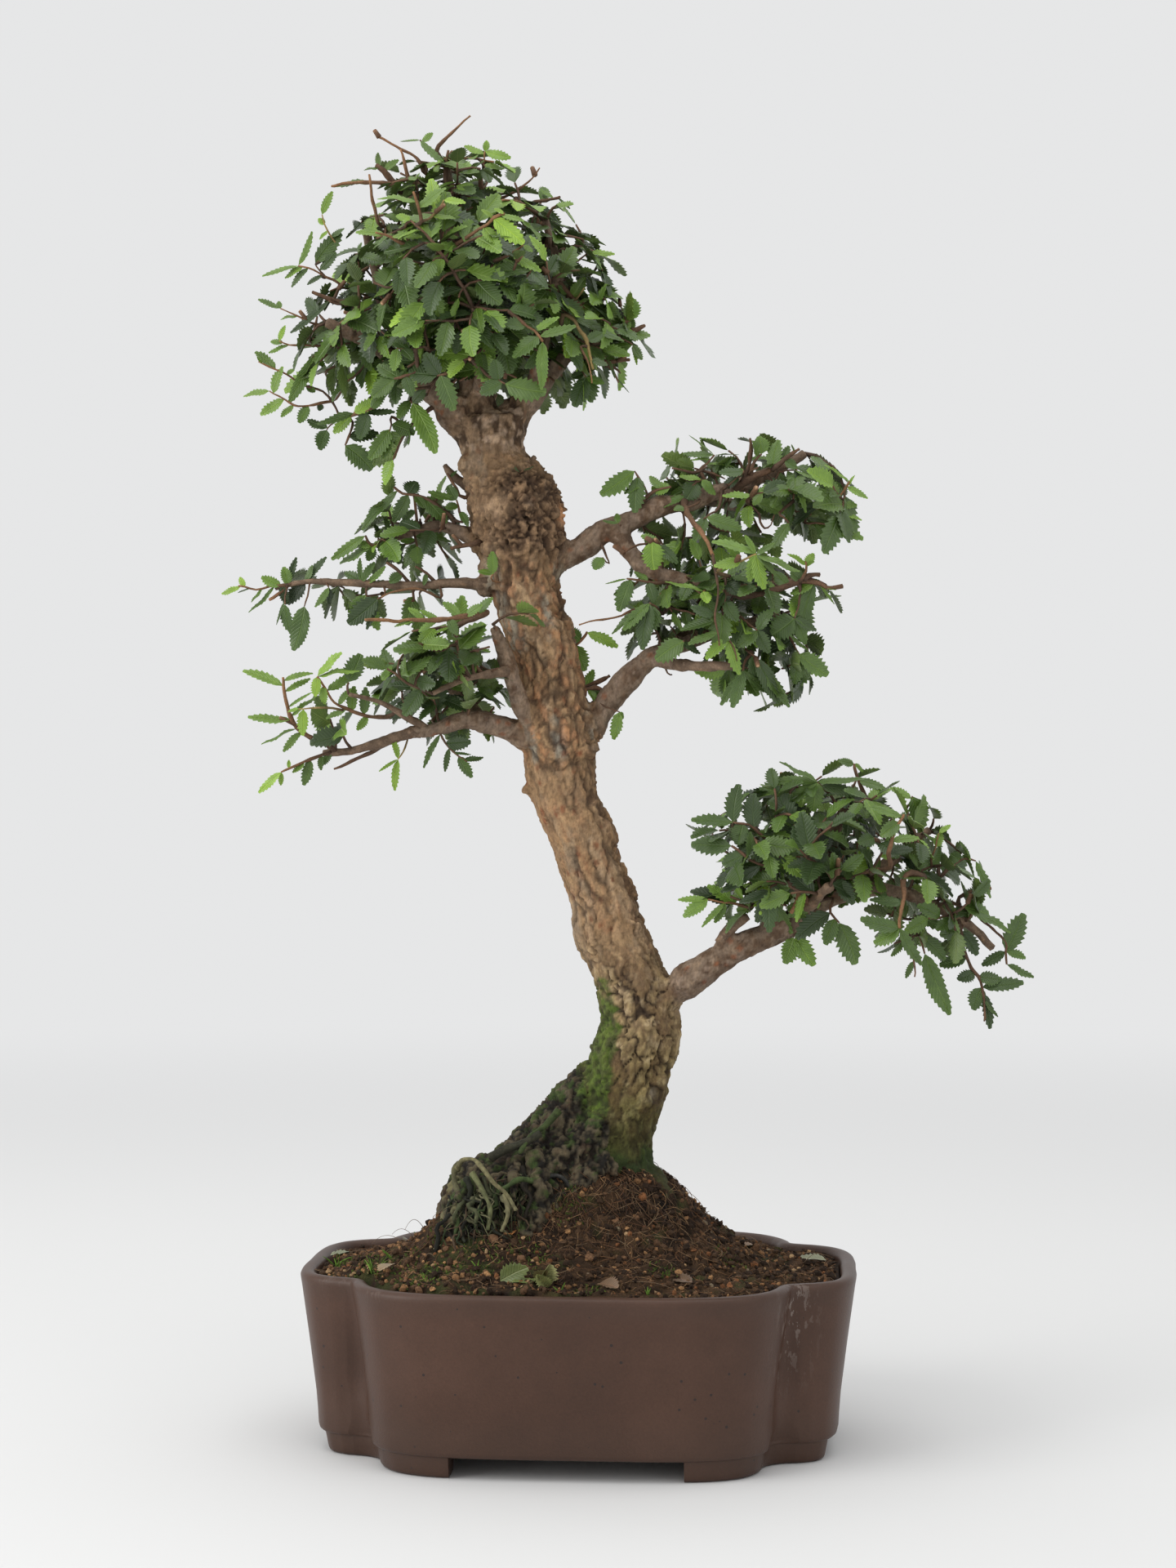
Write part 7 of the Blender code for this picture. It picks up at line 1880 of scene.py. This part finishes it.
def make_soil():
    steps = 6
    edge = outline(steps, 5.8)
    n = len(edge)
    cx, cy = 6.0, 0.0
    shares = 1 - (1 - np.linspace(1.0, 0.012, 118)) ** 1.0
    rings = []
    tone = []
    for j, s in enumerate(shares):
        r = edge * s + np.array([cx, cy]) * (1 - s)
        z, n1, n2, n3 = soil_top(r[:, 0], r[:, 1])
        rimfade = smooth01(np.full(n, 1 - s), 0.0, 0.05)
        z = z * rimfade + (57.6 + 0.5 * n2) * (1 - rimfade)
        rings.append(np.column_stack([r, z]))
        tone.append(np.stack([n1, n2, n3], axis=1))
    down = []
    for z, ins in ((55.0, 6.1), (40.0, 7.6), (20.0, 10.2), (16.4, 13.0)):
        r = outline(steps, ins)
        down.append(np.column_stack([r, np.full(n, z)]))
        tone.append(np.zeros((n, 3)))
    rings = down[::-1] + rings
    tone = tone[-4:][::-1] + tone[:-4]
    v = np.concatenate(rings)
    t = np.concatenate(tone)
    m = len(rings)
    i = np.arange(m - 1)[:, None] * n
    k = np.arange(n)[None, :]
    k2 = (k + 1) % n
    f4 = np.stack([i + k, i + k2, i + n + k2, i + n + k], axis=-1).reshape(-1, 4)
    kk = np.arange(n)
    v = np.concatenate([v, [[0, 0, 16.4]], [v[-n:].mean(axis=0)]])
    t = np.concatenate([t, np.zeros((2, 3))])
    a, b = len(v) - 2, len(v) - 1
    f3 = np.concatenate([np.stack([np.full(n, a), (kk + 1) % n, kk], axis=1),
                         np.stack([np.full(n, b), (m - 1) * n + kk, (m - 1) * n + (kk + 1) % n], axis=1)])
    p2 = v * np.array([1, 1, 0])
    base = np.array([0.024, 0.0135, 0.0075])
    light = np.array([0.085, 0.046, 0.023])
    c = mixc(np.tile(base, (len(v), 1)), light, smooth01(t[:, 1] + 0.6 * t[:, 2], 0.0, 0.8) * 0.8)
    drier = smooth01(fbm(p2 / 26.0, 3, 211) + 0.3 * smooth01(-v[:, 0], 20, 70), 0.0, 0.5)
    c = mixc(c, np.array([0.105, 0.060, 0.029]), drier * 0.40)
    c = mixc(c, c * 0.30, 1 - smooth01(t[:, 1] - 0.2 * t[:, 2], -0.6, 0.0))
    green = smooth01(fbm(p2 / 7.0, 3, 221) + 0.5 * smooth01(-v[:, 1], 14, 50) * smooth01(-v[:, 0], 5, 40), 0.30, 0.65)
    c = mixc(c, np.array([0.038, 0.052, 0.014]), green * 0.6)
    buf = Buf()
    buf.add(pot_world(v), f3, f4, np.clip(c, 0.003, 1))
    ob = buf.build("soil_mound", SOIL)
    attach(ob, "root")
    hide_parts("soil")

    rng = random.Random(77)
    nr = np.random.RandomState(7)
    inner = outline(4, 7.2)

    def inside(x, y):
        # even-odd test against the inner outline
        hit = False
        j = len(inner) - 1
        for i_ in range(len(inner)):
            xi, yi = inner[i_]
            xj, yj = inner[j]
            if (yi > y) != (yj > y) and x < (xj - xi) * (y - yi) / (yj - yi) + xi:
                hit = not hit
            j = i_
        return hit

    spots = []
    while len(spots) < 6900:
        x, y = rng.uniform(-90, 90), rng.uniform(-68, 68)
        if inside(x, y):
            spots.append((x, y))
    spots = np.array(spots)
    z, n1, n2, n3 = soil_top(spots[:, 0], spots[:, 1])

    # granules: dented lumps
    phi = (1 + 5 ** 0.5) / 2
    ico = np.array([(-1, phi, 0), (1, phi, 0), (-1, -phi, 0), (1, -phi, 0), (0, -1, phi), (0, 1, phi),
                    (0, -1, -phi), (0, 1, -phi), (phi, 0, -1), (phi, 0, 1), (-phi, 0, -1), (-phi, 0, 1)])
    ico /= np.linalg.norm(ico[0])
    icof = np.array([(0, 11, 5), (0, 5, 1), (0, 1, 7), (0, 7, 10), (0, 10, 11), (1, 5, 9), (5, 11, 4),
                     (11, 10, 2), (10, 7, 6), (7, 1, 8), (3, 9, 4), (3, 4, 2), (3, 2, 6), (3, 6, 8),
                     (3, 8, 9), (4, 9, 5), (2, 4, 11), (6, 2, 10), (8, 6, 7), (9, 8, 1)])
    mids = {}
    v2 = [tuple(p) for p in ico]
    f2 = []

    def midpoint(a_, b_):
        key = (min(a_, b_), max(a_, b_))
        if key not in mids:
            p = (np.array(v2[a_]) + np.array(v2[b_])) / 2
            mids[key] = len(v2)
            v2.append(tuple(p / np.linalg.norm(p)))
        return mids[key]

    for a_, b_, c_ in icof:
        ab, bc, ca = midpoint(a_, b_), midpoint(b_, c_), midpoint(c_, a_)
        f2 += [(a_, ab, ca), (b_, bc, ab), (c_, ca, bc), (ab, bc, ca)]
    ico2, ico2f = np.array(v2), np.array(f2)
    grains = Buf()
    tones = [np.array(c_) for c_ in ((0.30, 0.165, 0.075), (0.21, 0.112, 0.052), (0.36, 0.235, 0.125),
                                    (0.125, 0.068, 0.036), (0.062, 0.035, 0.019), (0.026, 0.015, 0.009),
                                    (0.20, 0.155, 0.10), (0.170, 0.072, 0.030))]
    wts = np.array([0.05, 0.09, 0.03, 0.17, 0.27, 0.30, 0.02, 0.07])
    for i_ in range(4700):
        x, y = spots[i_]
        big = i_ < 330
        left = x < -6 and y < 14
        r = rng.uniform(0.75, 1.45) if big else rng.uniform(0.35, 1.0)
        tv, tf = (ico2, ico2f) if big else (ico, icof)
        d = np.array([rng.uniform(0.6, 1.35), rng.uniform(0.6, 1.2), rng.uniform(0.5, 0.95)])
        ph = nr.uniform(0, 6.28, 3)
        q = tv * d * (1 + 0.34 * vnoise(tv * 1.9 + i_ * 3.1, 9))[:, None]
        ca_, sa_ = math.cos(ph[0]), math.sin(ph[0])
        q = q @ np.array([[ca_, sa_, 0], [-sa_, ca_, 0], [0, 0, 1]])
        cb_, sb_ = math.cos(ph[1] * 0.3), math.sin(ph[1] * 0.3)
        q = q @ np.array([[1, 0, 0], [0, cb_, sb_], [0, -sb_, cb_]])
        w_ = wts.copy()
        if left:
            w_[:4] *= 2.6
        else:
            w_[4:6] *= 1.5
        w_ /= w_.sum()
        pick = nr.choice(len(tones), p=w_)
        if pick in (4, 5) and not big:
            r *= 1.35
        q = q * r + np.array([x, y, z[i_] + r * rng.uniform(-0.1, 0.5)])
        grains.add(pot_world(q), tf, None, np.tile(tones[pick] * nr.uniform(0.7, 1.2), (len(q), 1)))
    go = grains.build("soil_granules", GRAIN, smooth=False)
    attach(go, "root")

    # fibres of peat and fine roots
    fib = Buf()
    for i_ in range(2150):
        x, y = spots[4700 + i_]
        near = i_ < 900
        if near:                      # a mat of them on the peat below the trunk
            x, y = rng.gauss(8, 22), rng.gauss(-18, 14)
            if not inside(x, y):
                continue
        ang = rng.uniform(0, 6.28)
        ln = rng.uniform(3, 9.5) if near else rng.uniform(2.5, 8)
        m_ = 6
        tt = np.linspace(0, 1, m_)
        bend = rng.uniform(-2.4, 2.4)
        xs = x + ln * tt * np.cos(ang + bend * tt)
        ys = y + ln * tt * np.sin(ang + bend * tt)
        if not inside(xs[-1], ys[-1]):
            continue
        zz = soil_top(xs, ys)[0]
        run_ = zz[0] + (zz[-1] - zz[0]) * tt
        zs = np.maximum(zz, run_) + 0.12 + rng.uniform(0, 0.7) * np.sin(tt * math.pi)
        r_ = rng.uniform(0.06, 0.16)
        v_, f3_, f4_ = sweep(np.column_stack([xs, ys, zs]), np.linspace(r_, r_ * 0.5, m_), 3)
        tone_ = rng.choice([(0.15, 0.078, 0.036), (0.10, 0.050, 0.025), (0.24, 0.145, 0.072), (0.055, 0.030, 0.018),
                            (0.13, 0.060, 0.026), (0.030, 0.018, 0.011), (0.18, 0.12, 0.07)])
        fib.add(pot_world(v_), f3_, f4_, tone_)
    # a few long hairs that stand clear of the soil
    for x0, y0, x1, y1, lift in ((76, 8, 84, 4, 5.0), (70, 20, 86, 14, 3.0), (-50, -44, -44, -50, 5.0),
                                 (-70, -10, -80, -16, 4.5), (-58, 10, -66, 4, 6.0), (20, -50, 34, -54, 2.0),
                                 (-60, -6, -72, -2, 5.5), (-36, 4, -48, 8, 9.0), (-52, -14, -58, -20, 7.0),
                                 (52, 6, 62, 2, 4.0), (34, 2, 44, -2, 4.5), (-78, 6, -86, 2, 4.0)):
        tt = np.linspace(0, 1, 9)
        xs, ys = x0 + (x1 - x0) * tt, y0 + (y1 - y0) * tt
        zz = soil_top(xs, ys)[0]
        zs = zz[0] + (zz[-1] - zz[0]) * tt + lift * np.sin(tt * 2.2)
        v_, f3_, f4_ = sweep(np.column_stack([xs, ys, zs]), np.linspace(0.13, 0.07, 9), 3)
        fib.add(pot_world(v_), f3_, f4_, (0.16, 0.11, 0.07))
    fo = fib.build("soil_fibres", TWIG)
    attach(fo, "root")

    # moss tufts and sprouts
    moss = Buf()

    def blade(p, d, ln, w_, col_, bend=0.3):
        """A pointed blade, closed, of three sides."""
        m_ = 5
        tt = np.linspace(0, 1, m_)
        path = p + d * ln * tt[:, None] + np.array([0, 0, -bend * ln]) * (tt ** 2)[:, None]
        v_, f3_, f4_ = sweep(path, w_ * (1 - 0.85 * tt ** 1.3) + 0.02, 3)
        moss.add(pot_world(v_), f3_, f4_, col_)

    patches = [(-62, -38, 12), (-48, -52, 9), (-30, -46, 8), (-76, -12, 8), (-44, -30, 7), (-14, -40, 7),
               (-2, -24, 6), (-20, -26, 7), (30, -40, 5), (52, -20, 6), (-10, 26, 8), (40, 30, 8),
               (-60, 30, 9), (8, -58, 6), (-70, -28, 7)]
    for px_, py_, rr in patches:
        for _ in range(int(16 * rr)):
            a_ = rng.uniform(0, 6.28)
            d_ = rr * math.sqrt(rng.random())
            x, y = px_ + d_ * math.cos(a_), py_ + d_ * math.sin(a_)
            if not inside(x, y):
                continue
            zz = float(soil_top(np.array([x]), np.array([y]))[0][0])
            dr = np.array([rng.gauss(0, 0.5), rng.gauss(0, 0.5), 1.0])
            dr /= np.linalg.norm(dr)
            g = rng.random()
            col_ = np.array([0.030, 0.044, 0.012]) * (1 - g) + np.array([0.100, 0.140, 0.026]) * g
            blade(np.array([x, y, zz - 0.3]), dr, rng.uniform(0.8, 2.2), rng.uniform(0.22, 0.42), col_)
    for x, y, tall in ((-84, -8, 11), (-82, -14, 8), (-66, -40, 9), (-64, -42, 11), (-60, -36, 7),
                       (-30, -50, 6), (-8, -56, 7), (-2, -60, 6), (-58, 12, 9), (26, -56, 4), (-46, -56, 6)):
        if not inside(x, y):
            continue
        zz = float(soil_top(np.array([float(x)]), np.array([float(y)]))[0][0])
        for _ in range(3):
            dr = np.array([rng.gauss(0, 0.45), rng.gauss(0, 0.45), 1.0])
            dr /= np.linalg.norm(dr)
            blade(np.array([x, y, zz - 0.4]), dr, tall * rng.uniform(0.6, 1.0), 0.42,
                  np.array([0.11, 0.20, 0.030]) * rng.uniform(0.8, 1.3), 0.25)
    mo = moss.build("moss_and_sprouts", MOSS)
    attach(mo, "root")

    # fallen leaves
    fallen = Buf()
    lr = random.Random(12)
    for px_, py_, col_, ln, yaw in ((-49, 4, (0.34, 0.22, 0.12), 12, 60), (-24, -26, (0.16, 0.19, 0.04), 8, 20),
                                    (-20, -36, (0.30, 0.13, 0.045), 8, 100), (-18, -58, (0.11, 0.14, 0.04), 10, 10),
                                    (-6, -57, (0.24, 0.22, 0.09), 8, 80), (-88, 6, (0.20, 0.22, 0.13), 11, 30),
                                    (84, 12, (0.20, 0.21, 0.13), 11, 160), (40, -46, (0.12, 0.075, 0.045), 12, 130),
                                    (60, 6, (0.15, 0.09, 0.05), 11, 200), (-58, -44, (0.20, 0.14, 0.07), 9, 240),
                                    (10, -52, (0.13, 0.08, 0.045), 11, 300), (-34, 34, (0.22, 0.16, 0.08), 12, 15),
                                    (46, 40, (0.26, 0.18, 0.09), 11, 220), (-62, 24, (0.10, 0.09, 0.05), 12, 95)):
        zz = float(soil_top(np.array([float(px_)]), np.array([float(py_)]))[0][0])
        a_ = math.radians(yaw)
        d_ = np.array([math.cos(a_), math.sin(a_), 0.12])
        n_ = np.array([lr.uniform(-0.35, 0.35), lr.uniform(-0.5, 0.1), 1.0])
        # leaves are laid in the tree's frame, so the place is turned back into it
        x = px_ * CA + py_ * SA - SIDE
        y = -px_ * SA + py_ * CA
        add_leaf(fallen, np.array([x, y, zz + 1.3]), d_, n_, ln, ln * 0.5, lr, np.array(col_), 0.0,
                 curl=lr.uniform(0.05, 0.3))
    for px_, py_, ln, col_, lean, roll in ((-8.0, -55.5, 9.0, (0.30, 0.30, 0.13), (0.10, -0.30, 1.0), 1.3),
                                           (-6.5, -56.5, 7.5, (0.22, 0.24, 0.09), (-0.45, -0.25, 0.8), 1.1),
                                           (-10.0, -55.0, 7.0, (0.26, 0.21, 0.10), (0.60, -0.35, 0.6), 1.2),
                                           (-22.0, -55.0, 11.0, (0.12, 0.15, 0.05), (0.80, -0.20, 0.45), 0.3)):
        zz = float(soil_top(np.array([px_]), np.array([py_]))[0][0])
        x = px_ * CA + py_ * SA - SIDE
        y = -px_ * SA + py_ * CA
        add_leaf(fallen, np.array([x, y, zz - 0.4]), np.array(lean), np.array([0.2, -1.0, 0.35]), ln, ln * 0.62, lr,
                 np.array(col_), 0.0, curl=-0.35 * roll, fold=roll)
    fa = fallen.build("fallen_leaves", LEAF)
    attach(fa, "root")


# ------------------------------------------------------------------ wire, drains
def make_wire():
    pts = [(-3, -14, 48), (-4, -15, 70), (-5.5, -17.5, 84), (-7, -18.8, 89.5), (-9.5, -19.3, 92),
           (-12.5, -19.4, 92.2), (-15, -19.2, 91), (-16, -18.8, 88.8)]
    path = catmull(pts, 0.7)
    v, f3, f4 = sweep(path, 0.8, 14)
    buf = Buf()
    buf.add(world(v), f3, f4, (0.4, 0.4, 0.4))
    ob = buf.build("anchor_wire_hook", WIRE)
    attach(ob, "root")
    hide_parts("anchor_wire")
    for name, mat in (("drain_mesh_left", NET), ("drain_mesh_right", NET),
                      ("drain_clip_left", WIRE), ("drain_clip_right", WIRE)):
        ob = frame["nodes"][name]
        if isinstance(ob, str):
            ob = bpy.data.objects[ob]
        for slot in ob.material_slots:
            slot.material = mat
        if not ob.material_slots:
            ob.data.materials.append(mat)


# ------------------------------------------------------------------ stage, light, camera
def make_stage():
    mat, nt, bsdf = nodes_of("pale_paper")
    bsdf.inputs["Base Color"].default_value = (0.712, 0.714, 0.714, 1)
    bsdf.inputs["Roughness"].default_value = 0.9
    bsdf.inputs["Specular IOR Level"].default_value = 0.1
    # far off the paper goes over into the white of the room, so no edge shows from any side
    away = nt.nodes.new("ShaderNodeVectorMath")
    away.operation = 'LENGTH'
    nt.links.new(obj_coords(nt, 1.0), away.inputs[0])
    far = nt.nodes.new("ShaderNodeMapRange")
    far.interpolation_type = 'SMOOTHSTEP'
    far.inputs["From Min"].default_value = 0.55
    far.inputs["From Max"].default_value = 1.7
    nt.links.new(away.outputs["Value"], far.inputs["Value"])
    glow = nt.nodes.new("ShaderNodeEmission")
    glow.inputs["Color"].default_value = (0.99, 0.995, 1.0, 1)
    glow.inputs["Strength"].default_value = 0.80
    mix = nt.nodes.new("ShaderNodeMixShader")
    nt.links.new(far.outputs["Result"], mix.inputs[0])
    nt.links.new(bsdf.outputs["BSDF"], mix.inputs[1])
    nt.links.new(glow.outputs["Emission"], mix.inputs[2])
    nt.links.new(mix.outputs["Shader"], nt.nodes["Material Output"].inputs["Surface"])
    buf = Buf()
    rings, sides = (0.4, 0.8, 1.6, 4.0, 12.0, 40.0), 64
    v, f3, f4 = [(0.0, 0.0, 0.0)], [], []
    for r in rings:
        v += [(r * math.cos(2 * math.pi * k / sides), r * math.sin(2 * math.pi * k / sides), 0.0)
              for k in range(sides)]
    for k in range(sides):
        f3.append((0, 1 + k, 1 + (k + 1) % sides))
        for i in range(len(rings) - 1):
            a, b = 1 + i * sides + k, 1 + i * sides + (k + 1) % sides
            f4.append((a, a + sides, b + sides, b))
    buf.add(np.array(v) + np.array([0, 0, -0.0001]), f3, f4, (0.8, 0.8, 0.8))
    ob = buf.build("paper_floor", mat)


def make_light():
    w = bpy.data.worlds.new("soft_white")
    bpy.context.scene.world = w
    w.use_nodes = True
    bg = w.node_tree.nodes["Background"]
    bg.inputs["Color"].default_value = (0.99, 0.995, 1.0, 1)
    bg.inputs["Strength"].default_value = 0.80

    def area(name, at, look, size, power):
        li = bpy.data.lights.new(name, 'AREA')
        li.shape = 'RECTANGLE'
        li.size, li.size_y = size
        li.energy = power
        li.color = (1.0, 0.99, 0.97)
        ob = bpy.data.objects.new(name, li)
        bpy.context.scene.collection.objects.link(ob)
        ob.location = at
        ob.rotation_euler = (Vector(look) - Vector(at)).to_track_quat('-Z', 'Y').to_euler()
        ob.visible_camera = False
        return ob

    area("top_box", (0.0, -0.25, 1.5), (0, 0, 0.15), (1.6, 1.4), 8.6)
    area("left_box", (-1.3, -0.8, 0.7), (0, 0, 0.2), (0.9, 1.2), 13.0)
    area("right_box", (1.3, -0.9, 0.6), (0, 0, 0.2), (0.9, 1.2), 1.5)


def make_camera():
    cam = bpy.data.cameras.new("photo_view")
    cam.sensor_fit = 'AUTO'
    cam.sensor_width = 36.0
    cam.lens = 3447.0 / 1920.0 * 36.0
    cam.clip_start = 0.01
    ob = bpy.data.objects.new("photo_view", cam)
    bpy.context.scene.collection.objects.link(ob)
    at = world((0.0, -966.0, 224.0))[0]
    ob.location = at
    fwd = Vector((-SA, CA, 0.0))
    ob.rotation_euler = fwd.to_track_quat('-Z', 'Y').to_euler()
    bpy.context.scene.camera = ob


make_camera()
make_stage()
make_light()
make_trunk()
make_foliage()
make_pot()
make_soil()
make_wire()

vs = bpy.context.scene.view_settings
vs.view_transform = 'Standard'
vs.look = 'None'
vs.exposure = 0.0
vs.gamma = 1.0

bpy.context.view_layer.update()
